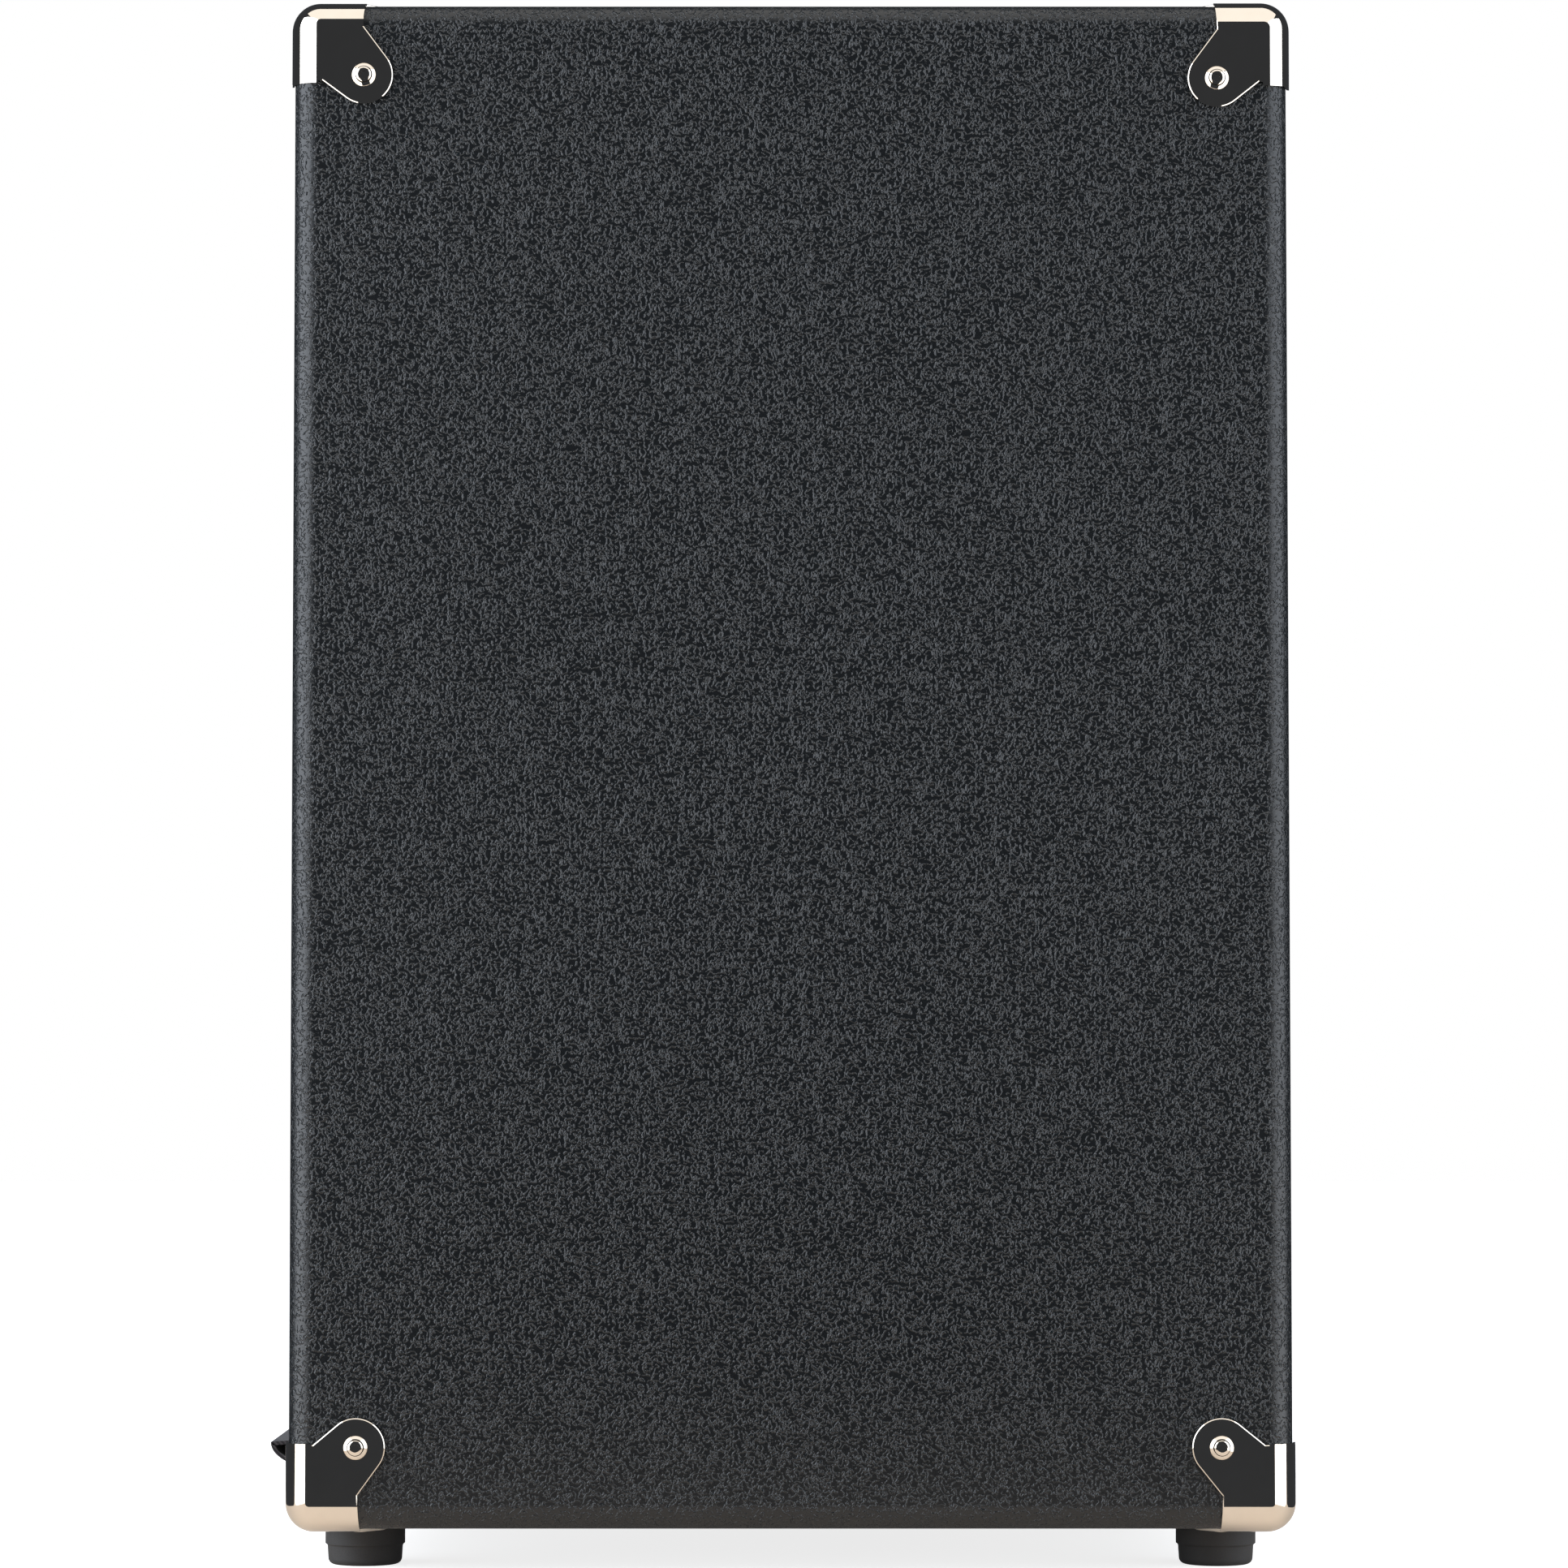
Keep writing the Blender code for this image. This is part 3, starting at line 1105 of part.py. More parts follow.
def make_line_out(metal):
    """Make the balanced line socket: square flange, round shell and three pins in its well."""
    place = (inlet_x() + CONNECTOR_STEP, REAR_FACE, PANEL_MIDDLE)
    outline = rectangle(XLR_FLANGE_WIDTH / 2, XLR_FLANGE_HEIGHT / 2, INLET_WALL, 3)
    socket = solid("line_out_socket", bar(outline, 1, SEAT_GAP, SEAT_GAP + INLET_FLANGE), metal, place)
    front = SEAT_GAP + INLET_FLANGE
    shell = bar(circle(XLR_SHELL_RADIUS, CONTROL_SIDES), 1, front - XLR_DEPTH, front - INLET_FLANGE / 2)
    combine(socket, helper("line_out_shell", shell, place), "UNION")
    well = bar(circle(XLR_WELL_RADIUS, CONTROL_SIDES), 1, front - XLR_DEPTH + INLET_WALL, 2 * front)
    combine(socket, helper("line_out_well", well, place), "DIFFERENCE")
    pins = bmesh.new()
    for step in range(3):
        angle = math.radians(90 + 120 * step)
        centre = (XLR_WELL_RADIUS * 0.48 * math.cos(angle), XLR_WELL_RADIUS * 0.48 * math.sin(angle))
        pin = circle(INLET_WALL / 2, 6, centre)
        add_bar(pins, pin, 1, front - XLR_DEPTH + INLET_WALL / 2, front - INLET_FLANGE * 2)
    combine(socket, helper("line_out_pins", pins, place), "UNION")


def sink_x():
    """Give the middle of the heat sink."""
    return CHASSIS_HALF_WIDTH - CHASSIS_SHEET - STANDOFF - SINK_WIDTH / 2


def make_heat_sink(aluminium):
    """Make the extruded heat sink, its fins running front to back towards the rear slots."""
    low = CHASSIS_FLOOR + SEAT_GAP
    start = CHASSIS_REAR_INNER - STANDOFF - SINK_LENGTH
    left = sink_x() - SINK_WIDTH / 2
    pitch = (SINK_WIDTH - SINK_FIN) / (SINK_FINS - 1)
    outline = [(left, low), (left + SINK_WIDTH, low)]
    for step in range(SINK_FINS):
        right = left + SINK_WIDTH - step * pitch
        outline += [(right, low + SINK_HEIGHT), (right - SINK_FIN, low + SINK_HEIGHT)]
        if step < SINK_FINS - 1:
            outline += [(right - SINK_FIN, low + SINK_BASE), (right - pitch, low + SINK_BASE)]
    solid("heat_sink", bar(outline, 1, start, start + SINK_LENGTH), aluminium)


def make_transformer(wrap):
    """Make the toroidal mains transformer on the chassis floor."""
    low = CHASSIS_FLOOR + SEAT_GAP
    high = low + TOROID_HEIGHT
    edge = TOROID_HEIGHT / 5
    corners = [(TOROID_BORE, low), (TOROID_RADIUS, low), (TOROID_RADIUS, high), (TOROID_BORE, high)]
    profile = filleted(corners, [edge / 2, edge, edge, edge / 2], 2)
    y = CHASSIS_REAR_INNER - STANDOFF * 6 - TOROID_RADIUS
    x = -CHASSIS_HALF_WIDTH + CHASSIS_SHEET + STANDOFF + TOROID_RADIUS
    solid("mains_transformer", turned(profile, 2, INNER_SIDES, closed=True), wrap, (x, y, 0.0))


def board_on_standoffs(name, material, low_corner, size, floor):
    """Make a circuit board on four standoffs, and give it with the height of its top."""
    under = floor + SEAT_GAP + STANDOFF
    x, y = low_corner
    width, length = size
    board = solid(name, box((x, y, under), (x + width, y + length, under + BOARD_SHEET)), material)
    posts = bmesh.new()
    inset = 2 * STANDOFF_RADIUS
    for across in (x + inset, x + width - inset):
        for deep in (y + inset, y + length - inset):
            post = circle(STANDOFF_RADIUS, 6, (across, deep))
            add_bar(posts, post, 2, floor + SEAT_GAP, under + BOARD_SHEET / 2)
    combine(board, helper(f"{name}_posts", posts), "UNION")
    return board, under + BOARD_SHEET


def make_power_board(green):
    """Make the power amplifier board with its reservoir capacitors and power devices."""
    x = sink_x() - SINK_WIDTH / 2 - STANDOFF - POWER_BOARD_WIDTH
    y = CHASSIS_REAR_INNER - 5 * STANDOFF - POWER_BOARD_LENGTH
    size = (POWER_BOARD_WIDTH, POWER_BOARD_LENGTH)
    board, top = board_on_standoffs("power_board", green, (x, y), size, CHASSIS_FLOOR)
    parts = bmesh.new()
    for step in range(3):
        centre = (x + POWER_BOARD_WIDTH * 0.25, y + POWER_BOARD_LENGTH * (0.2 + 0.3 * step))
        outline = circle(CAPACITOR_RADIUS, CONTROL_SIDES, centre)
        add_bar(parts, outline, 2, top - BOARD_SHEET / 2, top + CAPACITOR_HEIGHT)
    for step in range(4):
        left = x + POWER_BOARD_WIDTH * 0.62
        deep = y + POWER_BOARD_LENGTH * (0.12 + 0.2 * step)
        low = (left, deep, top - BOARD_SHEET / 2)
        add_box(parts, low, (left + CAPACITOR_RADIUS, deep + CAPACITOR_RADIUS, top + CAPACITOR_RADIUS))
    combine(board, helper("power_parts", parts), "UNION")


def make_crossover(green):
    """Make the crossover board on the cabinet's floor with its two coils and its capacitor."""
    x = -CROSSOVER_WIDTH / 2
    y = BAFFLE_FRONT + BOARD + WOOFER_BASKET_DEPTH
    size = (CROSSOVER_WIDTH, CROSSOVER_LENGTH)
    board, top = board_on_standoffs("crossover_board", green, (x, y), size, INNER_BOTTOM)
    parts = bmesh.new()
    profile = [(COIL_PART_RADIUS / 2, top - BOARD_SHEET / 2), (COIL_PART_RADIUS, top - BOARD_SHEET / 2)]
    profile += [(COIL_PART_RADIUS, top + COIL_PART_HEIGHT), (COIL_PART_RADIUS / 2, top + COIL_PART_HEIGHT)]
    for share in (0.25, 0.75):
        centre = (x + CROSSOVER_WIDTH * share, y + CROSSOVER_LENGTH * 0.36, 0.0)
        add_turned(parts, profile, 2, CONTROL_SIDES, closed=True, place=centre)
    low = (x + CROSSOVER_WIDTH * 0.3, y + CROSSOVER_LENGTH * 0.72, top - BOARD_SHEET / 2)
    high = (x + CROSSOVER_WIDTH * 0.7, y + CROSSOVER_LENGTH * 0.9, top + COIL_PART_HEIGHT / 2)
    add_box(parts, low, high)
    combine(board, helper("crossover_parts", parts), "UNION")


def woofer_place():
    """Give the woofer's axis on the baffle's front face."""
    return (0.0, BAFFLE_FRONT, WOOFER_HEIGHT)


def seat_radius():
    """Give the radius where the basket's wall leaves its flange."""
    return WOOFER_RADIUS - WOOFER_FLANGE_WIDTH - CUTOUT_CLEARANCE


def surround_outer():
    """Give the radius at which the surround's outer edge is glued down."""
    return seat_radius() + WOOFER_SHEET


def cone_radius():
    """Give the radius of the cone's edge."""
    return surround_outer() - SURROUND_WIDTH


def make_woofer_frame(steel):
    """Make the woofer's basket: flange, raised gasket, spider ledge, rear ring and windows."""
    sheet = WOOFER_SHEET
    under = -SEAT_GAP
    face = under - sheet
    wall = seat_radius()
    depth = WOOFER_BASKET_DEPTH
    ledge = WOOFER_SPIDER_DEPTH
    spider = WOOFER_SPIDER_RADIUS
    rear = WOOFER_REAR_RADIUS
    hole = COIL_RADIUS + 4 * COIL_RUNNING_GAP
    shoulder = wall * 0.96
    shoulder_depth = depth * 0.22
    gasket_inner = surround_outer() + sheet / 2
    profile = [(WOOFER_RADIUS, under), (WOOFER_RADIUS, face - WOOFER_GASKET)]
    profile += [(gasket_inner, face - WOOFER_GASKET), (gasket_inner, face), (wall - sheet, face)]
    profile += [(shoulder - sheet, shoulder_depth), (spider + 2 * sheet, ledge), (spider - sheet, ledge)]
    profile += [(rear, depth - sheet), (hole, depth - sheet), (hole, depth), (rear + sheet, depth)]
    profile += [(spider, ledge + sheet), (spider + 3 * sheet, ledge + sheet)]
    profile += [(shoulder, shoulder_depth + sheet / 2), (wall, under)]
    basket = solid("woofer_frame", turned(profile, 1, WOOFER_SIDES, closed=True), steel, woofer_place())
    windows = bmesh.new()
    outer = shoulder * 0.965
    inner = spider + 4 * sheet
    for step in range(WOOFER_WINDOWS):
        middle = 2 * math.pi * (step + 0.5) / WOOFER_WINDOWS
        reach_out = math.pi / WOOFER_WINDOWS - math.asin(WOOFER_SPOKE / 2 / outer)
        reach_in = math.pi / WOOFER_WINDOWS - math.asin(WOOFER_SPOKE / 2 / inner)
        outline = [(outer, middle + reach_out * share) for share in (-1, -0.5, 0, 0.5, 1)]
        outline += [(inner, middle + reach_in * share) for share in (1, 0, -1)]
        flat = [(radius * math.cos(angle), radius * math.sin(angle)) for radius, angle in outline]
        add_bar(windows, flat, 1, shoulder_depth / 2, ledge + 4 * sheet)
    combine(basket, helper("basket_windows", windows, woofer_place()), "DIFFERENCE")


def make_woofer_cone(paper):
    """Make the cone with its dust cap and the voice coil former behind, as one turned shell."""
    edge = cone_radius()
    front = -SEAT_GAP - WOOFER_SHEET
    wall = CONE_THICKNESS
    coil = COIL_RADIUS
    inner = coil - COIL_WALL
    neck = front + CONE_DEPTH
    back = WOOFER_BASKET_DEPTH + MAGNET_PLATE
    cap = DUST_CAP_RADIUS
    slope = (neck - front) / (edge - coil)
    through = wall * math.hypot(1.0, slope)

    def cone_face(radius):
        straight = neck - (radius - coil) * slope
        share = (radius - coil) / (edge - coil)
        return straight + CONE_BULGE * math.sin(math.pi * share)

    profile = []
    cap_edge = cone_face(cap)
    for step in range(4):
        angle = math.pi / 2 * step / 3
        profile.append((cap * math.sin(angle), cap_edge - DUST_CAP_RISE * math.cos(angle)))
    for step in range(1, 4):
        radius = cap + (edge - cap) * step / 3
        profile.append((radius, cone_face(radius)))
    for step in range(4):
        radius = edge + (coil - edge) * step / 3
        profile.append((radius, cone_face(radius) + through))
    profile += [(coil, back), (inner, back), (inner, cone_face(coil) - wall)]
    for step in range(1, 3):
        radius = inner * (1 - step / 2)
        angle = math.asin(radius / cap)
        profile.append((radius, cap_edge - DUST_CAP_RISE * math.cos(angle) + wall))
    solid("woofer_cone", turned(profile, 1, WOOFER_SIDES), paper, woofer_place())


def make_woofer_surround(foam):
    """Make the half roll surround between the cone's edge and the basket."""
    outer = surround_outer()
    inner = cone_radius() - SURROUND_WIDTH / 3
    lip = SURROUND_WIDTH / 5
    seat = -SEAT_GAP - WOOFER_SHEET - SEAT_GAP
    thick = SURROUND_THICKNESS
    roll_inner = cone_radius() + SEAT_GAP
    roll_outer = seat_radius() - WOOFER_SHEET
    middle = (roll_inner + roll_outer) / 2
    big = (roll_outer - roll_inner) / 2
    small = big - thick
    profile = [(inner, seat), (inner, seat - thick)]
    for step in range(4):
        angle = math.pi * step / 3
        profile.append((middle - big * math.cos(angle), seat - thick - big * math.sin(angle)))
    profile += [(outer + lip / 9, seat - thick), (outer + lip / 9, seat)]
    for step in range(4):
        angle = math.pi * step / 3
        profile.append((middle + small * math.cos(angle), seat - small * math.sin(angle)))
    solid("woofer_surround", turned(profile, 1, WOOFER_SIDES, closed=True), foam, woofer_place())


def make_woofer_spider(fabric):
    """Make the corrugated spider that centres the voice coil."""
    inner = bore_radius(COIL_RADIUS + SEAT_GAP, INNER_SIDES)
    outer = WOOFER_SPIDER_RADIUS + 1.5 * WOOFER_SHEET
    level = WOOFER_SPIDER_DEPTH - SEAT_GAP - SPIDER_THICKNESS
    flat = (outer - inner) / 10
    points = [(inner, level)]
    steps = 2 * SPIDER_WAVES
    for step in range(steps + 1):
        radius = inner + flat + (outer - inner - 3 * flat) * step / steps
        points.append((radius, level - SPIDER_WAVE_HEIGHT * (step % 2)))
    points.append((outer, level))
    profile = points + [(radius, depth + SPIDER_THICKNESS) for radius, depth in points[::-1]]
    solid("woofer_spider", turned(profile, 1, INNER_SIDES, closed=True), fabric, woofer_place())


def make_woofer_magnet(ferrite):
    """Make the magnet: front plate, ferrite ring, back plate and vented pole with the coil's gap."""
    start = WOOFER_BASKET_DEPTH + SEAT_GAP
    front_plate = start + MAGNET_PLATE
    ring_end = front_plate + MAGNET_THICKNESS
    back_plate = ring_end + MAGNET_PLATE
    pole = COIL_RADIUS - COIL_WALL - COIL_RUNNING_GAP
    gap = bore_radius(COIL_RADIUS + COIL_RUNNING_GAP, INNER_SIDES)
    vent = POLE_VENT_RADIUS
    plate = MAGNET_PLATE_RADIUS
    chamfer = MAGNET_PLATE / 4
    profile = [(vent, start), (pole, start), (pole, ring_end), (gap * 1.1, ring_end)]
    profile += [(gap * 1.1, front_plate), (gap, front_plate), (gap, start), (plate, start)]
    profile += [(plate, front_plate), (MAGNET_RADIUS, front_plate), (MAGNET_RADIUS, ring_end)]
    profile += [(plate, ring_end), (plate, back_plate - chamfer)]
    profile += [(plate - chamfer, back_plate), (vent, back_plate)]
    solid("woofer_magnet", turned(profile, 1, INNER_SIDES, closed=True), ferrite, woofer_place())


def superellipse(half_width, half_height, power, depth, count=HORN_POINTS):
    """Give a ring of points between an ellipse (power 2) and a rounded rectangle (higher powers)."""
    ring = []
    for index in range(count):
        angle = 2 * math.pi * (index + 0.5) / count
        across = math.copysign(abs(math.cos(angle)) ** (2 / power), math.cos(angle))
        up = math.copysign(abs(math.sin(angle)) ** (2 / power), math.sin(angle))
        ring.append((half_width * across, depth, half_height * up))
    return ring


def make_horn(plastic, metal):
    """Make the horn's flare, skinned from its mouth to its throat, and the driver behind it."""
    mouth_width = HORN_FLANGE_WIDTH / 2 - HORN_RIM
    mouth_height = HORN_FLANGE_HEIGHT / 2 - HORN_RIM / 2
    under = -SEAT_GAP
    face = under - HORN_FLANGE_THICKNESS
    throat = HORN_THROAT_RADIUS

    def section(share, wall):
        width = throat * (mouth_width / throat) ** (1 - share)
        height = throat * (mouth_height / throat) ** (1 - share)
        power = 6 - 4 * share
        depth = face + (HORN_DEPTH - face) * share
        return superellipse(width + wall, height + wall / 2 * (1 + share), power, depth)

    steps = 4
    rings = [section(step / steps, 0.0) for step in range(steps + 1)]
    flange_radius = HORN_THROAT_FLANGE
    plate_front = HORN_DEPTH - HORN_THROAT_PLATE
    rings.append(superellipse(flange_radius, flange_radius, 2, HORN_DEPTH))
    rings.append(superellipse(flange_radius, flange_radius, 2, plate_front))
    neck = throat + 2 * HORN_WALL
    rings.append(superellipse(neck, neck, 2, plate_front))
    rings += [section(step / steps, HORN_WALL) for step in range(steps - 1, 0, -1)]
    shell = section(0, HORN_WALL)
    rings.append([(x, under, z) for x, _, z in shell])
    rings.append(superellipse(HORN_FLANGE_WIDTH / 2, HORN_FLANGE_HEIGHT / 2, 12, under))
    rings.append(superellipse(HORN_FLANGE_WIDTH / 2, HORN_FLANGE_HEIGHT / 2, 12, face))
    place = (0.0, BAFFLE_FRONT, HORN_CENTRE_HEIGHT)
    solid("horn_flare", ring_skin(rings), plastic, place)
    start = HORN_DEPTH + SEAT_GAP
    end = start + HORN_DRIVER_LENGTH
    radius = HORN_DRIVER_RADIUS
    edge = radius / 8
    bore_end = start + HORN_DRIVER_LENGTH / 3
    profile = [(0.0, bore_end), (throat, bore_end), (throat, start), (flange_radius, start)]
    profile += [(flange_radius, start + edge), (radius - edge, start + edge)]
    profile += [(radius, start + 2 * edge), (radius, end - edge), (radius - edge, end), (0.0, end)]
    solid("horn_driver", turned(profile, 1, INNER_SIDES), metal, place)


def main():
    """Build every piece of the amplifier."""
    clear_scene()
    centre = bpy.data.objects.new("cabinet_centre", None)
    centre.location = (0.0, CABINET_SHIFT, 0.0)
    bpy.context.scene.collection.objects.link(centre)
    vinyl = finish("black_vinyl", (0.020, 0.022, 0.024), 0.55)
    paint = finish("black_paint", (0.010, 0.010, 0.010), 0.70)
    rubber = finish("black_rubber", (0.030, 0.030, 0.030), 0.80)
    nickel = finish("nickel_plate", (0.660, 0.640, 0.600), 0.15, 1.0)
    steel = finish("grey_steel", (0.400, 0.410, 0.420), 0.40, 1.0)
    aluminium = finish("brushed_aluminium", (0.560, 0.570, 0.580), 0.35, 1.0)
    plastic = finish("black_plastic", (0.018, 0.018, 0.018), 0.45)
    cloth = finish("grille_cloth", (0.060, 0.060, 0.062), 0.85)
    webbing = finish("black_webbing", (0.022, 0.019, 0.021), 0.80)
    paper = finish("cone_paper", (0.025, 0.025, 0.026), 0.85)
    foam = finish("surround_foam", (0.015, 0.015, 0.015), 0.90)
    board = finish("circuit_board", (0.020, 0.130, 0.050), 0.50)
    ferrite = finish("ferrite", (0.060, 0.060, 0.062), 0.60)
    amber = finish("spider_cloth", (0.450, 0.280, 0.080), 0.85)
    tape = finish("transformer_tape", (0.650, 0.560, 0.100), 0.50)
    lens = finish("lamp_lens", (0.600, 0.020, 0.010), 0.15)

    make_side_boards(vinyl)
    make_top_and_bottom(vinyl)
    make_shelf(vinyl)
    make_baffle(paint)
    make_back_panel(vinyl)
    make_ports(plastic)
    make_feet(rubber)
    make_corners(nickel)
    make_grille(paint, cloth, webbing)
    make_handle(rubber, nickel)
    make_control_panel(aluminium)
    make_chassis(steel)
    make_knobs(plastic)
    make_preamp_board(board)
    make_buttons(plastic)
    make_power_switch(plastic)
    make_lamp(lens)
    make_jack("input_jack", plastic, (JACK_X, PANEL_FRONT, KNOB_ROW), -1, PANEL_SHEET)
    make_jack("headphone_jack", plastic, (PHONES_X, PANEL_FRONT, KNOB_ROW), -1, PANEL_SHEET)
    speaker_x = inlet_x() + 2 * CONNECTOR_STEP
    make_jack("speaker_out_jack", plastic, (speaker_x, REAR_FACE, PANEL_MIDDLE), 1, CHASSIS_SHEET)
    make_mains_inlet(plastic)
    make_line_out(nickel)
    make_heat_sink(aluminium)
    make_transformer(tape)
    make_power_board(board)
    make_crossover(board)
    make_woofer_frame(steel)
    make_woofer_cone(paper)
    make_woofer_surround(foam)
    make_woofer_spider(amber)
    make_woofer_magnet(ferrite)
    make_horn(plastic, steel)


main()
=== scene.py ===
"""Looks of a bass combo amplifier: its finishes, fine pieces, light and camera.

Metres, +Z up, front towards -Y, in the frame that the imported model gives.
"""

import logging
import math
from collections.abc import Callable, Sequence
from dataclasses import dataclass
from enum import Enum
from functools import cache

import bmesh
import bpy
from mathutils import Matrix, Vector


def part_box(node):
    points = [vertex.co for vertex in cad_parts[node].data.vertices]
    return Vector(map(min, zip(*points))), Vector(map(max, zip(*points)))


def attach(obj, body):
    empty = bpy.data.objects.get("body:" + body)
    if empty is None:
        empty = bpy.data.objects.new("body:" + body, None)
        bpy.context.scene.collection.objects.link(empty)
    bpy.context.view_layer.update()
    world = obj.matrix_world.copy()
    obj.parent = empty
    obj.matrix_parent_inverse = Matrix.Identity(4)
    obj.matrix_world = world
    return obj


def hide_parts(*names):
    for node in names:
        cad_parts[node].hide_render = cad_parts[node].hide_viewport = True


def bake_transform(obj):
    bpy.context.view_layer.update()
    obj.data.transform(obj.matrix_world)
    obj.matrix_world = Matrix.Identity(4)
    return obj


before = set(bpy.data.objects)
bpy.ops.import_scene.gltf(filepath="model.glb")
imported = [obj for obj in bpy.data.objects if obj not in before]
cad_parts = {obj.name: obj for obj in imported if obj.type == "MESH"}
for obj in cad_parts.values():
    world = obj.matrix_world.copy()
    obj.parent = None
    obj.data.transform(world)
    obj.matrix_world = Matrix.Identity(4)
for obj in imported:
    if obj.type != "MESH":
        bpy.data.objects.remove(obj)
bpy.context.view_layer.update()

LOG = logging.getLogger("bass_combo")
MM = 0.001
Pair = tuple[float, float]
Point = tuple[float, float, float]
Ring = list[Point]
Spot = tuple[Point, Sequence[float]]
Socket = bpy.types.NodeSocket
Tree = bpy.types.NodeTree


class Axis(Enum):
    """The three axes of the frame."""

    X = 0
    Y = 1
    Z = 2


class Operation(Enum):
    """The ways in which one solid works on another."""

    CUT = "DIFFERENCE"
    JOIN = "UNION"
    KEEP = "INTERSECT"


# Colours, nodes and objects


def placed(name: str, data: bpy.types.ID) -> bpy.types.Object:
    """Give a new object that is in the scene."""
    made = bpy.data.objects.new(name, data)
    bpy.context.scene.collection.objects.link(made)
    return made


def blank_material(name: str) -> tuple[bpy.types.Material, bpy.types.Node]:
    """Give a new material and its shader."""
    made = bpy.data.materials.new(name)
    made.use_nodes = True
    return made, made.node_tree.nodes["Principled BSDF"]


def linear(colour: str) -> tuple[float, float, float, float]:
    """Turn an sRGB hex value into linear light.

    Args:
        colour: The value, such as "#202428".

    Returns:
        Linear red, green and blue, and 1 for alpha.
    """
    parts = [int(colour[place : place + 2], 16) / 255 for place in (1, 3, 5)]
    red, green, blue = (p / 12.92 if p <= 0.04045 else ((p + 0.055) / 1.055) ** 2.4 for p in parts)
    return red, green, blue, 1.0


def add_node(
    tree: Tree,
    kind: str,
    inputs: dict[str | int, object] | None = None,
    **settings: object,
) -> bpy.types.Node:
    """Add a node with its settings and links.

    Args:
        tree: The node tree that takes it.
        kind: The node's type.
        inputs: A value or a socket for each input that isn't left as it is.
        settings: The node's own settings.

    Returns:
        The new node.
    """
    node = tree.nodes.new(kind)
    for name, value in settings.items():
        setattr(node, name, value)
    for name, value in (inputs or {}).items():
        if isinstance(value, bpy.types.NodeSocket):
            tree.links.new(value, node.inputs[name])
        else:
            node.inputs[name].default_value = value
    return node


def maths(tree: Tree, operation: str, *values: Socket | float, clamped: bool = False) -> Socket:
    """Give the result of one sum on up to three values, held between 0 and 1 if clamped."""
    inputs = dict(enumerate(values))
    return add_node(tree, "ShaderNodeMath", inputs, operation=operation, use_clamp=clamped).outputs[0]


@dataclass(frozen=True)
class Finish:
    """What every finish has: two tones, two gloss levels and the depth of its pattern.

    The low tone and gloss lie in the pattern's hollows, and the high ones on its raised parts.
    """

    name: str
    slot: str
    low: str
    high: str
    rough_low: float
    rough_high: float
    depth: float
    metallic: float = 0.0
    ior: float = 1.5
    sheen: float = 0.0
    coat: float = 0.0

    def pattern(self, tree: Tree, spot: Socket) -> Socket:
        """Give the pattern's height from 0 to 1.

        Args:
            tree: The material's node tree.
            spot: The place on the surface, in millimetres.

        Returns:
            The socket that holds the height.
        """
        raise NotImplementedError

    def noise(self, tree: Tree, spot: Socket, size: float, detail: float = 2.0) -> Socket:
        """Give soft noise whose lumps are about size millimetres across."""
        made = add_node(tree, "ShaderNodeTexNoise", {"Vector": spot, "Scale": 1 / size, "Detail": detail})
        return made.outputs[0]

    def stretched(self, tree: Tree, spot: Socket, scale: Point) -> Socket:
        """Give the place with each axis scaled by its own factor."""
        made = add_node(tree, "ShaderNodeVectorMath", {0: spot, 1: scale}, operation="MULTIPLY")
        return made.outputs[0]

    def spread(self, tree: Tree, value: Socket, low: float, high: float) -> Socket:
        """Give the value so that low becomes 0 and high becomes 1, smoothly between."""
        inputs = {"Value": value, "From Min": low, "From Max": high}
        return add_node(tree, "ShaderNodeMapRange", inputs, interpolation_type="SMOOTHSTEP").outputs[0]

    def combined(self, tree: Tree, operation: str, first: Socket | float, second: Socket | float) -> Socket:
        """Give the result of one sum on two values, held between 0 and 1."""
        return maths(tree, operation, first, second, clamped=True)

    def ribs(self, tree: Tree, spot: Socket, pitch: float, direction: str, wander: float = 0.0) -> Socket:
        """Give round ribs, a pitch of so many millimetres apart."""
        inputs = {"Vector": spot, "Scale": math.pi / 10 / pitch, "Distortion": wander, "Detail": 1.0}
        made = add_node(tree, "ShaderNodeTexWave", inputs, wave_type="BANDS", bands_direction=direction)
        return made.outputs["Fac"]

    def crossed(self, tree: Tree, spot: Socket, pitch: float, wander: float = 0.0) -> Socket:
        """Give ribs that cross square, a pitch of so many millimetres apart."""
        warp = self.ribs(tree, spot, pitch, "X", wander)
        return self.combined(tree, "MULTIPLY", warp, self.ribs(tree, spot, pitch, "Z", wander))

    def material(self) -> bpy.types.Material:
        """Make the material from its pattern.

        Returns:
            The new material.
        """
        made, shader = blank_material(self.name)
        tree = made.node_tree
        place = add_node(tree, "ShaderNodeTexCoord").outputs["Object"]
        spot = add_node(tree, "ShaderNodeVectorMath", {0: place, "Scale": 1 / MM}, operation="SCALE")
        height = self.pattern(tree, spot.outputs[0])
        tones = {0: height, 6: linear(self.low), 7: linear(self.high)}
        tone = add_node(tree, "ShaderNodeMix", tones, data_type="RGBA")
        limits = {"Value": height, "To Min": self.rough_low, "To Max": self.rough_high}
        gloss = add_node(tree, "ShaderNodeMapRange", limits)
        bump = add_node(tree, "ShaderNodeBump", {"Height": height, "Distance": self.depth})
        tree.links.new(tone.outputs[2], shader.inputs["Base Color"])
        tree.links.new(gloss.outputs[0], shader.inputs["Roughness"])
        tree.links.new(bump.outputs[0], shader.inputs["Normal"])
        shader.inputs["Metallic"].default_value = self.metallic
        if self.metallic == 0.0:
            shader.inputs["IOR"].default_value = self.ior
        shader.inputs["Sheen Weight"].default_value = self.sheen
        shader.inputs["Coat Weight"].default_value = self.coat
        return made


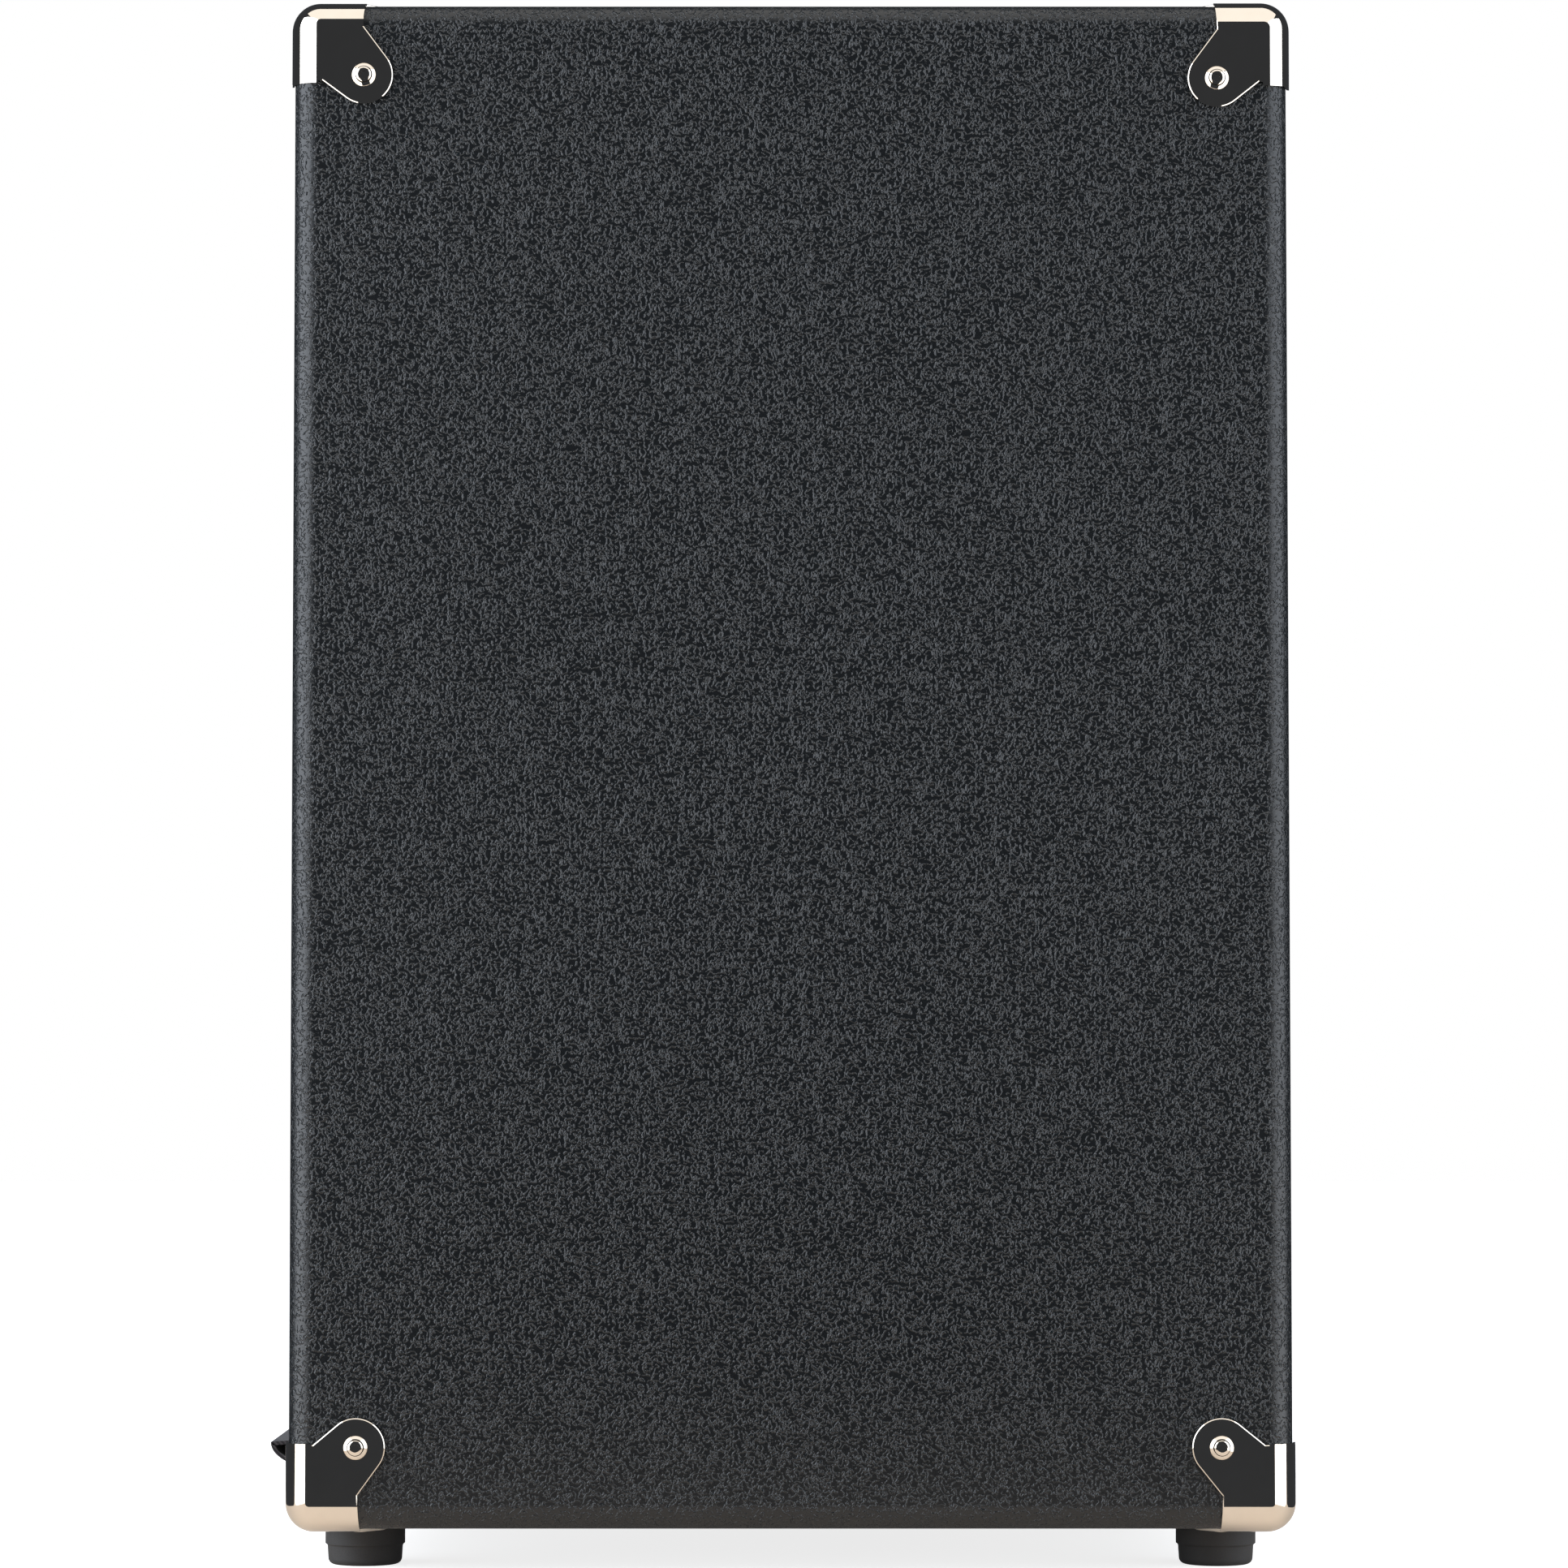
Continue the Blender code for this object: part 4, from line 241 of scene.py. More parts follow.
@cache
def material_of(finish: Finish) -> bpy.types.Material:
    """Give a finish's material, made once."""
    return finish.material()


@dataclass(frozen=True)
class GrainedVinyl(Finish):
    """PVC cloth embossed with short, worm-like ridges: near black, each ridge shining under the lamps and
    also carrying a lighter painted highlight in its tone.
    """

    name: str = "embossed_vinyl_cloth"
    slot: str = "black_vinyl"
    # The high tone on the ridges is a painted highlight, added to the real shine that the lamps give their
    # slopes.
    low: str = "#080C0F"
    high: str = "#12181C"
    rough_low: float = 0.34
    rough_high: float = 0.25
    depth: float = 0.34 * MM
    ior: float = 1.52
    lump: float = 1.95
    ridge: float = 0.11

    def pattern(self, tree: Tree, spot: Socket) -> Socket:
        """Give ridges along the level line of a noise, broken by a second noise, over a fine grain."""
        inputs = {"Vector": spot, "Scale": 1 / self.lump, "Detail": 0.6, "Distortion": 0.5}
        lumps = add_node(tree, "ShaderNodeTexNoise", inputs)
        off = maths(tree, "ABSOLUTE", maths(tree, "SUBTRACT", lumps.outputs[0], 0.5))
        ridges = self.spread(tree, off, self.ridge, 0.0)
        gaps = self.spread(tree, self.noise(tree, spot, 0.8 * self.lump), 0.40, 0.52)
        broken = self.combined(tree, "MULTIPLY", ridges, gaps)
        fine = self.combined(tree, "MULTIPLY", self.noise(tree, spot, 0.8), 0.14)
        return self.combined(tree, "ADD", self.combined(tree, "MULTIPLY", broken, 0.80), fine)


@dataclass(frozen=True)
class NickelPlate(Finish):
    """Deep drawn steel with bright nickel on it: a warm mirror with the faintest orange peel."""

    name: str = "bright_nickel_plate"
    slot: str = "nickel_plate"
    low: str = "#D6CDC0"
    high: str = "#DED6CA"
    rough_low: float = 0.04
    rough_high: float = 0.07
    depth: float = 0.004 * MM
    metallic: float = 1.0

    def pattern(self, tree: Tree, spot: Socket) -> Socket:
        """Give the soft waves that drawing leaves under the plate."""
        return self.noise(tree, spot, 7.0)


@dataclass(frozen=True)
class MouldedRubber(Finish):
    """Black rubber from a sparked mould: matt, with a fine even grain."""

    name: str = "moulded_rubber"
    slot: str = "black_rubber"
    low: str = "#2A2A2A"
    high: str = "#3B3B3B"
    rough_low: float = 0.80
    rough_high: float = 0.62
    depth: float = 0.05 * MM

    def pattern(self, tree: Tree, spot: Socket) -> Socket:
        """Give fine grain over broad, faint patches."""
        fine = self.noise(tree, spot, 0.5, 3.0)
        broad = self.noise(tree, spot, 9.0)
        patches = self.combined(tree, "MULTIPLY", broad, 0.35)
        return self.combined(tree, "ADD", patches, self.combined(tree, "MULTIPLY", fine, 0.65))


@dataclass(frozen=True)
class NylonWebbing(Finish):
    """Woven nylon tape: purple black, with fine diagonal ribs and a dull sheen."""

    name: str = "woven_nylon_webbing"
    slot: str = "black_webbing"
    low: str = "#121013"
    high: str = "#3A353B"
    rough_low: float = 0.75
    rough_high: float = 0.55
    depth: float = 0.22 * MM
    sheen: float = 0.25

    def pattern(self, tree: Tree, spot: Socket) -> Socket:
        """Give diagonal ribs 1.1 mm apart, cut across by the finer weft."""
        ribs = self.ribs(tree, spot, 1.1, "DIAGONAL")
        weft = self.ribs(tree, spot, 0.8, "X")
        cuts = self.combined(tree, "ADD", self.combined(tree, "MULTIPLY", weft, 0.4), 0.6)
        return self.combined(tree, "MULTIPLY", ribs, cuts)


@dataclass(frozen=True)
class SpeakerCloth(Finish):
    """Open woven polyester speaker cloth: charcoal threads over dark gaps.

    The real threads are 0.5 mm apart. They are drawn 1.4 mm apart, so that they show.
    """

    name: str = "woven_speaker_cloth"
    slot: str = "grille_cloth"
    low: str = "#0B0B0C"
    high: str = "#34363A"
    rough_low: float = 0.95
    rough_high: float = 0.70
    depth: float = 0.25 * MM
    sheen: float = 0.2
    pitch: float = 1.4

    def pattern(self, tree: Tree, spot: Socket) -> Socket:
        """Give threads that cross, with slubs where they thicken."""
        woven = self.crossed(tree, spot, self.pitch, 0.25)
        slubs = self.noise(tree, self.stretched(tree, spot, (0.08, 0.3, 0.8)), 1.0)
        return self.combined(tree, "MULTIPLY", woven, self.combined(tree, "ADD", slubs, 0.45))


@dataclass(frozen=True)
class BrushedAluminium(Finish):
    """Aluminium sheet brushed along its length: long fine lines that spread each highlight."""

    name: str = "brushed_anodised_aluminium"
    slot: str = "brushed_aluminium"
    low: str = "#64676A"
    high: str = "#7E8184"
    rough_low: float = 0.42
    rough_high: float = 0.28
    depth: float = 0.008 * MM
    metallic: float = 1.0

    def pattern(self, tree: Tree, spot: Socket) -> Socket:
        """Give scratches some 60 mm long and 0.3 mm apart."""
        return self.noise(tree, self.stretched(tree, spot, (1 / 60, 1.0, 3.0)), 1.0, 4.0)


@dataclass(frozen=True)
class BlackAnodising(Finish):
    """Extruded aluminium anodised black: satin, with faint lines along the extrusion."""

    name: str = "black_anodised_extrusion"
    slot: str = "black_aluminium"
    low: str = "#17181A"
    high: str = "#26282B"
    rough_low: float = 0.50
    rough_high: float = 0.36
    depth: float = 0.01 * MM
    metallic: float = 0.6

    def pattern(self, tree: Tree, spot: Socket) -> Socket:
        """Give lines along the extrusion."""
        return self.noise(tree, self.stretched(tree, spot, (2.5, 1 / 50, 2.5)), 1.0, 3.0)


@dataclass(frozen=True)
class ZincSteel(Finish):
    """Cold rolled steel with zinc plate: grey, cloudy, half bright."""

    name: str = "zinc_plated_steel"
    slot: str = "grey_steel"
    low: str = "#6E7175"
    high: str = "#84878B"
    rough_low: float = 0.46
    rough_high: float = 0.30
    depth: float = 0.006 * MM
    metallic: float = 1.0

    def pattern(self, tree: Tree, spot: Socket) -> Socket:
        """Give the plate's clouds and the sheet's rolling lines."""
        clouds = self.noise(tree, spot, 14.0, 3.0)
        lines = self.noise(tree, self.stretched(tree, spot, (1 / 30, 2.0, 2.0)), 1.0)
        return self.combined(tree, "MULTIPLY", self.combined(tree, "ADD", clouds, lines), 0.5)


@dataclass(frozen=True)
class MouldedPlastic(Finish):
    """Black ABS from a sparked mould: a fine pimpled satin."""

    name: str = "moulded_black_abs"
    slot: str = "black_plastic"
    low: str = "#121212"
    high: str = "#1D1D1E"
    rough_low: float = 0.42
    rough_high: float = 0.30
    depth: float = 0.02 * MM

    def pattern(self, tree: Tree, spot: Socket) -> Socket:
        """Give pimples about 0.4 mm across."""
        return self.noise(tree, spot, 0.4, 2.0)


@dataclass(frozen=True)
class PaintedPlywood(Finish):
    """Birch plywood under thin black paint: flat, with the veneer's pores showing through."""

    name: str = "painted_plywood"
    slot: str = "black_paint"
    low: str = "#0E0E0E"
    high: str = "#1C1B1A"
    rough_low: float = 0.80
    rough_high: float = 0.60
    depth: float = 0.08 * MM

    def pattern(self, tree: Tree, spot: Socket) -> Socket:
        """Give pores some 12 mm long across the board."""
        return self.noise(tree, self.stretched(tree, spot, (1 / 12, 1.2, 1.2)), 1.0, 3.0)


@dataclass(frozen=True)
class PressedPaper(Finish):
    """Air dried paper pulp, dyed black: soft and fibrous."""

    name: str = "pressed_paper_pulp"
    slot: str = "cone_paper"
    low: str = "#141414"
    high: str = "#2B2A29"
    rough_low: float = 0.95
    rough_high: float = 0.80
    depth: float = 0.18 * MM
    sheen: float = 0.15

    def pattern(self, tree: Tree, spot: Socket) -> Socket:
        """Give felted fibres about 1 mm thick, crossing two ways."""
        one = self.noise(tree, self.stretched(tree, spot, (0.25, 1.0, 1.4)), 1.0, 2.0)
        two = self.noise(tree, self.stretched(tree, spot, (1.4, 1.0, 0.25)), 1.0, 2.0)
        return self.combined(tree, "MAXIMUM", one, two)


@dataclass(frozen=True)
class SkinnedFoam(Finish):
    """Polyurethane foam pressed to a skin: dull black with small closed cells."""

    name: str = "skinned_foam"
    slot: str = "surround_foam"
    low: str = "#0D0D0D"
    high: str = "#1B1B1B"
    rough_low: float = 0.95
    rough_high: float = 0.75
    depth: float = 0.10 * MM

    def pattern(self, tree: Tree, spot: Socket) -> Socket:
        """Give closed cells about 0.9 mm across."""
        cells = add_node(tree, "ShaderNodeTexVoronoi", {"Vector": spot, "Scale": 1 / 0.9})
        return self.spread(tree, cells.outputs["Distance"], 0.0, 0.7)


@dataclass(frozen=True)
class StiffenedCloth(Finish):
    """Cotton cloth stiffened with phenolic resin: amber, its plain weave still open."""

    name: str = "resin_stiffened_cotton"
    slot: str = "spider_cloth"
    low: str = "#6B4A1A"
    high: str = "#B08A48"
    rough_low: float = 0.85
    rough_high: float = 0.60
    depth: float = 0.15 * MM

    def pattern(self, tree: Tree, spot: Socket) -> Socket:
        """Give a plain weave with threads 0.9 mm apart."""
        return self.crossed(tree, spot, 0.9)


@dataclass(frozen=True)
class SinteredFerrite(Finish):
    """Sintered ferrite, ground on its faces: dark grey and stony."""

    name: str = "sintered_ferrite"
    slot: str = "ferrite"
    low: str = "#2A2A2C"
    high: str = "#434346"
    rough_low: float = 0.75
    rough_high: float = 0.50
    depth: float = 0.05 * MM

    def pattern(self, tree: Tree, spot: Socket) -> Socket:
        """Give grit with small pits."""
        return self.noise(tree, spot, 1.5, 5.0)


@dataclass(frozen=True)
class SolderMask(Finish):
    """Glass epoxy board under green lacquer: the copper tracks stand a little proud."""

    name: str = "lacquered_circuit_board"
    slot: str = "circuit_board"
    low: str = "#0F3D22"
    high: str = "#1C6236"
    rough_low: float = 0.38
    rough_high: float = 0.25
    depth: float = 0.04 * MM

    def pattern(self, tree: Tree, spot: Socket) -> Socket:
        """Give tracks some 1.5 mm wide in staggered runs."""
        inputs = {"Vector": spot, "Scale": 0.12, "Mortar Size": 0.05, "Mortar Smooth": 0.1}
        tracks = add_node(tree, "ShaderNodeTexBrick", inputs)
        return self.combined(tree, "SUBTRACT", 1.0, tracks.outputs["Fac"])


@dataclass(frozen=True)
class PolyesterTape(Finish):
    """Yellow polyester tape wound round a core: each lap leaves a glossy step."""

    name: str = "wound_polyester_tape"
    slot: str = "transformer_tape"
    low: str = "#A88A16"
    high: str = "#D9BC3C"
    rough_low: float = 0.40
    rough_high: float = 0.22
    depth: float = 0.20 * MM
    laps: int = 44

    def pattern(self, tree: Tree, spot: Socket) -> Socket:
        """Give one slanting step for each lap round the ring."""
        around = add_node(tree, "ShaderNodeTexGradient", {"Vector": spot}, gradient_type="RADIAL")
        return maths(tree, "FRACT", maths(tree, "MULTIPLY", around.outputs["Fac"], float(self.laps)))


@dataclass(frozen=True)
class TintedAcrylic(Finish):
    """Red acrylic, moulded: clear gloss over a deep, unlit red."""

    name: str = "tinted_acrylic"
    slot: str = "lamp_lens"
    low: str = "#5E0A08"
    high: str = "#A51A14"
    rough_low: float = 0.12
    rough_high: float = 0.06
    depth: float = 0.05 * MM
    ior: float = 1.49
    coat: float = 0.6

    def pattern(self, tree: Tree, spot: Socket) -> Socket:
        """Give the prisms moulded inside the lens."""
        return self.crossed(tree, spot, 0.8)


@dataclass(frozen=True)
class ScreenInk(Finish):
    """Screen printed ink: flat, thin and a little uneven."""

    name: str = "screen_printed_ink"
    slot: str = "brushed_aluminium"
    low: str = "#101112"
    high: str = "#191A1B"
    rough_low: float = 0.65
    rough_high: float = 0.50
    depth: float = 0.01 * MM

    def pattern(self, tree: Tree, spot: Socket) -> Socket:
        """Give the mesh marks of the screen."""
        return self.noise(tree, spot, 0.3, 2.0)


@dataclass(frozen=True)
class PointerPaint(ScreenInk):
    """White paint filled into a moulded line."""

    name: str = "white_fill_paint"
    slot: str = "black_plastic"
    low: str = "#D9D8D2"
    high: str = "#EFEEE9"


@dataclass(frozen=True)
class BlackScrew(Finish):
    """Hardened steel with black oxide: dark, oily satin."""

    name: str = "black_oxide_steel"
    slot: str = "grey_steel"
    low: str = "#151515"
    high: str = "#242424"
    rough_low: float = 0.45
    rough_high: float = 0.30
    depth: float = 0.01 * MM
    metallic: float = 0.8

    def pattern(self, tree: Tree, spot: Socket) -> Socket:
        """Give the faint mottling of the oxide."""
        return self.noise(tree, spot, 1.2, 3.0)


VINYL = GrainedVinyl()
NICKEL = NickelPlate()
RUBBER = MouldedRubber()
WEBBING = NylonWebbing()
CLOTH = SpeakerCloth()
BRUSHED = BrushedAluminium()
ANODISED = BlackAnodising()
ZINC = ZincSteel()
PLASTIC = MouldedPlastic()
PLYWOOD = PaintedPlywood()
PAPER = PressedPaper()
FOAM = SkinnedFoam()
SPIDER_CLOTH = StiffenedCloth()
FERRITE = SinteredFerrite()
BOARD = SolderMask()
TAPE = PolyesterTape()
LENS = TintedAcrylic()
INK = ScreenInk()
WHITE_FILL = PointerPaint()
SCREW = BlackScrew()
# Pressed steel under a black coat: duller than the screws, with a soft, broad highlight.
BASKET = BlackScrew("black_coated_steel", rough_low=0.55, rough_high=0.42, metallic=0.4)


# Outlines and solids


def filleted(corners: Sequence[Pair], radii: Sequence[float], steps: int) -> list[Pair]:
    """Round the corners of an outline.

    Args:
        corners: The outline's corners in order.
        radii: The radius at each corner, where 0 keeps it sharp.
        steps: The number of facets in each round.

    Returns:
        The rounded outline.
    """
    points: list[Pair] = []
    count = len(corners)
    for index, corner in enumerate(corners):
        here = Vector(corner)
        if radii[index] <= 0:
            points.append(tuple(here))
            continue
        before = (Vector(corners[index - 1]) - here).normalized()
        after = (Vector(corners[(index + 1) % count]) - here).normalized()
        half_angle = before.angle(after) / 2
        centre = here + (before + after).normalized() * radii[index] / math.sin(half_angle)
        start = here + before * radii[index] / math.tan(half_angle) - centre
        end = here + after * radii[index] / math.tan(half_angle) - centre
        sweep = start.angle_signed(end)
        for step in range(steps + 1):
            turn = Matrix.Rotation(-sweep * step / steps, 2)
            points.append(tuple(centre + turn @ start))
    return points


def tube(inner: float, outer: float, start: float, end: float) -> list[Pair]:
    """Give the profile of a plain tube between two levels, or of a rod if inner is 0."""
    return [(inner, start), (outer, start), (outer, end), (inner, end)]


def rectangle(
    half_width: float,
    half_height: float,
    radius: float,
    steps: int,
    centre: Pair = (0.0, 0.0),
) -> list[Pair]:
    """Give a rectangle's outline with rounded corners, always with the same number of points."""
    corners = tube(-half_width, half_width, -half_height, half_height)
    return [(x + centre[0], z + centre[1]) for x, z in filleted(corners, [radius] * 4, steps)]


def inset(outline: Sequence[Pair], distance: float) -> list[Pair]:
    """Move every side of an outline inwards.

    Args:
        outline: The outline, whichever way it runs.
        distance: How far each side moves in.

    Returns:
        The smaller outline, with as many points.
    """
    least = 0.55  # What keeps a sharp corner from moving too far.
    count = len(outline)
    sides = [(outline[i - 1], outline[i]) for i in range(count)]
    area = sum(a[0] * b[1] - b[0] * a[1] for a, b in sides)
    points = []
    for index, point in enumerate(outline):
        here = Vector(point)
        before = (here - Vector(outline[index - 1])).normalized()
        after = (Vector(outline[(index + 1) % count]) - here).normalized()
        normal = Vector((-(before + after).y, (before + after).x)).normalized() * math.copysign(1, area)
        spread = max(abs(normal.dot(Vector((-before.y, before.x)))), least)
        points.append(tuple(here + normal * distance / spread))
    return points


def circle(radius: float, sides: int) -> list[Pair]:
    """Give a circle's outline."""
    turns = [2 * math.pi * index / sides for index in range(sides)]
    return [(radius * math.cos(a), radius * math.sin(a)) for a in turns]


def arc(centre: Pair, radius: float, start: float, end: float, steps: int) -> list[Pair]:
    """Give points along an arc between two angles in degrees."""
    turns = [math.radians(start + (end - start) * step / steps) for step in range(steps + 1)]
    return [(centre[0] + radius * math.cos(a), centre[1] + radius * math.sin(a)) for a in turns]


def angles(end: float, steps: int) -> list[float]:
    """Give even angles from 0 to end, both of them included."""
    return [end * step / steps for step in range(steps + 1)]


def lifted(outline: Sequence[Pair], axis: Axis, level: float) -> Ring:
    """Turn an outline across an axis into a ring at a level along it."""
    ring: Ring = []
    for first, second in outline:
        point = [first, second]
        point.insert(axis.value, level)
        ring.append(tuple(point))
    return ring


def shifted(ring: Ring, place: Point) -> Ring:
    """Give a ring moved by a place."""
    return [tuple(a + b for a, b in zip(point, place)) for point in ring]


class Solid:
    """A closed solid in the making."""

    def __init__(self) -> None:
        """Start with no faces."""
        self.shape = bmesh.new()

    def skin(self, rings: Sequence[Ring], joined: bool = False) -> "Solid":
        """Add a skin over a row of rings, closed at its ends or joined last to first.

        Args:
            rings: The rings, each with the same number of points, or with one point at a tip.
            joined: Whether the last ring meets the first one.

        Returns:
            This solid.
        """
        rows = [[self.shape.verts.new(point) for point in ring] for ring in rings]
        pairs = list(zip(rows, rows[1:]))
        if joined:
            pairs.append((rows[-1], rows[0]))
        for near, far in pairs:
            count = max(len(near), len(far))
            for place in range(count):
                beside = (place + 1) % count
                corners = [near[place % len(near)], near[beside % len(near)]]
                corners += [far[beside % len(far)], far[place % len(far)]]
                self.shape.faces.new(list(dict.fromkeys(corners)))
        if not joined:
            for row in (rows[0], rows[-1]):
                if len(row) > 2:
                    self.shape.faces.new(row)
        return self

    def turn(
        self,
        profile: Sequence[Pair],
        axis: Axis,
        sides: int,
        place: Point = (0.0, 0.0, 0.0),
        joined: bool = False,
        wave: Callable[[float, float, float], float] | None = None,
    ) -> "Solid":
        """Add a turned solid.

        Args:
            profile: Pairs of radius and distance along the axis.
            axis: The axis that it is turned about.
            sides: The number of facets round it.
            place: Where its own origin goes.
            joined: Whether the profile is closed, which makes a ring.
            wave: What changes a radius, from the angle, the radius and the distance.

        Returns:
            This solid.
        """
        rings = []
        for radius, level in profile:
            if radius < MM / 1000:
                outline = [(0.0, 0.0)]
            else:
                outline = []
                for index in range(sides):
                    angle = 2 * math.pi * index / sides
                    reach = wave(angle, radius, level) if wave else radius
                    outline.append((reach * math.cos(angle), reach * math.sin(angle)))
            rings.append(shifted(lifted(outline, axis, level), place))
        return self.skin(rings, joined)

    def push(
        self,
        outline: Sequence[Pair],
        axis: Axis,
        start: float,
        end: float,
        place: Point = (0.0, 0.0, 0.0),
    ) -> "Solid":
        """Add a bar: an outline pushed along an axis from start to end."""
        return self.skin([shifted(lifted(outline, axis, level), place) for level in (start, end)])

    def block(self, low: Sequence[float], high: Sequence[float]) -> "Solid":
        """Add a block between two corners."""
        return self.push(tube(low[0], high[0], low[1], high[1]), Axis.Z, low[2], high[2])

    def moved(self, matrix: Matrix) -> "Solid":
        """Move the whole solid by a matrix."""
        bmesh.ops.transform(self.shape, matrix=matrix, verts=self.shape.verts)
        return self

    def add_copy(self, mesh: bpy.types.Mesh, matrix: Matrix) -> "Solid":
        """Add a copy of a mesh, moved by a matrix."""
        copy = mesh.copy()
        copy.transform(matrix)
        if matrix.determinant() < 0:
            copy.flip_normals()
        self.shape.from_mesh(copy)
        bpy.data.meshes.remove(copy)
        return self

    def mesh(self, name: str) -> bpy.types.Mesh:
        """Close the work on this solid.

        Args:
            name: The mesh's name.

        Returns:
            The mesh, its faces turned outwards.
        """
        bmesh.ops.remove_doubles(self.shape, verts=self.shape.verts, dist=MM / 1000)
        bmesh.ops.recalc_face_normals(self.shape, faces=self.shape.faces)
        made = bpy.data.meshes.new(name)
        self.shape.to_mesh(made)
        self.shape.free()
        return made


def turned(
    name: str,
    profile: Sequence[Pair],
    sides: int,
    place: Point,
    joined: bool = False,
) -> bpy.types.Mesh:
    """Give the mesh of a solid turned about a line along the amplifier's depth."""
    return Solid().turn(profile, Axis.Y, sides, place, joined).mesh(name)


def worked(base: bpy.types.Mesh, tool: bpy.types.Mesh, operation: Operation) -> bpy.types.Mesh:
    """Cut, join or keep one solid with another.

    Args:
        base: The solid that is worked on.
        tool: The solid that works on it.
        operation: What is done.

    Returns:
        The new mesh.
    """
    first = placed("work_base", base)
    second = placed("work_tool", tool)
    step = first.modifiers.new("work", "BOOLEAN")
    step.object = second
    step.operation = operation.value
    step.solver = "EXACT"
    graph = bpy.context.evaluated_depsgraph_get()
    made = bpy.data.meshes.new_from_object(first.evaluated_get(graph))
    for item in (first, second):
        bpy.data.objects.remove(item)
    return made


@dataclass(frozen=True)
class Box:
    """The box that a CAD node fills."""

    low: Vector
    high: Vector

    @property
    def centre(self) -> Vector:
        """Give the middle of the box."""
        return (self.low + self.high) / 2

    @property
    def size(self) -> Vector:
        """Give the box's width, depth and height."""
        return self.high - self.low


def box_of(node: str) -> Box:
    """Give the box of a CAD node at rest."""
    low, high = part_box(node)
    return Box(low, high)


@dataclass
class Piece:
    """How one finished piece goes into the scene."""

    name: str
    body: str
    finishes: tuple[Finish, ...]
    stands_for: tuple[str, ...] = ()
    sharp: float = 35.0
    soften: float = 0.0
    soften_steps: int = 2
    place: Point = (0.0, 0.0, 0.0)

    def add(self, mesh: bpy.types.Mesh, rides: bool = True) -> bpy.types.Object:
        """Put the piece into the scene.

        Args:
            mesh: The piece's mesh.
            rides: Whether it moves with its body as a whole.

        Returns:
            The new object.
        """
        mesh.materials.clear()
        for finish in self.finishes:
            mesh.materials.append(material_of(finish))
        mesh.shade_smooth()
        mesh.set_sharp_from_angle(angle=math.radians(self.sharp))
        made = placed(self.name, mesh)
        made.location = self.place
        if self.soften > 0:
            edge = made.modifiers.new("softened_edges", "BEVEL")
            edge.width = self.soften
            edge.segments = self.soften_steps
            edge.limit_method = "ANGLE"
            edge.angle_limit = math.radians(self.sharp)
        even = made.modifiers.new("even_shading", "WEIGHTED_NORMAL")
        even.keep_sharp = True
        if rides:
            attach(made, self.body)
        if self.stands_for:
            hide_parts(*self.stands_for)
        LOG.info("%s rides on %s", self.name, self.body)
        return made


def dress(node: str, *finishes: Finish) -> None:
    """Give a CAD node that stays its finish."""
    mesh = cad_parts[node].data
    mesh.materials.clear()
    for finish in finishes:
        mesh.materials.append(material_of(finish))
    LOG.info("%s keeps its solid, in %s", node, finishes[0].name)


class Recess(Enum):
    """The drives of a screw's head."""

    CROSS = "cross"
    STAR = "star"


@dataclass(frozen=True)
class ScrewHead:
    """A screw's head: a wide flange and a raised button with its drive."""

    flange_radius: float = 4.7 * MM
    flange_height: float = 0.5 * MM
    button_radius: float = 3.1 * MM
    height: float = 2.5 * MM
    drive: Recess = Recess.STAR
    slope: float = 0.80

    def mesh(self) -> bpy.types.Mesh:
        """Make the head on the plane z = 0, pointing up.

        Returns:
            The head's mesh.
        """
        flange = self.flange_radius
        button = self.button_radius
        rise = self.flange_height
        top = self.height
        profile = [(0.0, -0.5 * MM), (flange, -0.5 * MM), (flange, rise * 0.3), (flange * 0.98, rise * 0.6)]
        shoulder = rise + (flange * 0.95 - button * 1.15) * self.slope
        profile += [(flange * 0.95, rise), (button * 1.15, shoulder), (button * 1.06, shoulder + 0.05 * MM)]
        profile += [(button, shoulder - 0.2 * MM), (button * 0.96, top * 0.80), (button * 0.86, top * 0.89)]
        profile += [(button * 0.74, top * 0.95), (button * 0.62, top * 0.985)]
        profile += [(button * 0.50, top), (0.0, top)]
        head = Solid().turn(profile, Axis.Z, 48).mesh("screw_head")
        drive = Solid()
        reach = button * 0.50
        if self.drive is Recess.CROSS:
            half = 0.3 * MM
            arm = [(reach, -half), (reach, half), (half, half)]
            quarters = ((1, 0), (0, 1), (-1, 0), (0, -1))
            outline = [(x * c - y * s, x * s + y * c) for c, s in quarters for x, y in arm]
            drive.push(outline, Axis.Z, top - 1.0 * MM, top + MM)
        else:
            outline = []
            for index in range(36):
                angle = 2 * math.pi * index / 36
                radius = reach * (0.84 + 0.16 * math.cos(6 * angle))
                outline.append((radius * math.cos(angle), radius * math.sin(angle)))
            drive.push(outline, Axis.Z, top - 1.2 * MM, top + MM)
        return worked(head, drive.mesh("drive"), Operation.CUT)


def turned_to(direction: Point, place: Sequence[float]) -> Matrix:
    """Give the matrix that stands a piece made along +Z on a place, facing a direction."""
    return Matrix.Translation(place) @ Vector(direction).to_track_quat("Z", "Y").to_matrix().to_4x4()


def screws(name: str, head: ScrewHead, finish: Finish, spots: Sequence[Spot]) -> None:
    """Add a group of screws that ride on the cabinet.

    Args:
        name: The group's name.
        head: The kind of head.
        finish: Its finish.
        spots: The direction and the place of each head.
    """
    pattern = head.mesh()
    group = Solid()
    for direction, place in spots:
        group.add_copy(pattern, turned_to(direction, place))
    Piece(name, "cabinet", (finish,), sharp=40.0).add(group.mesh(name))


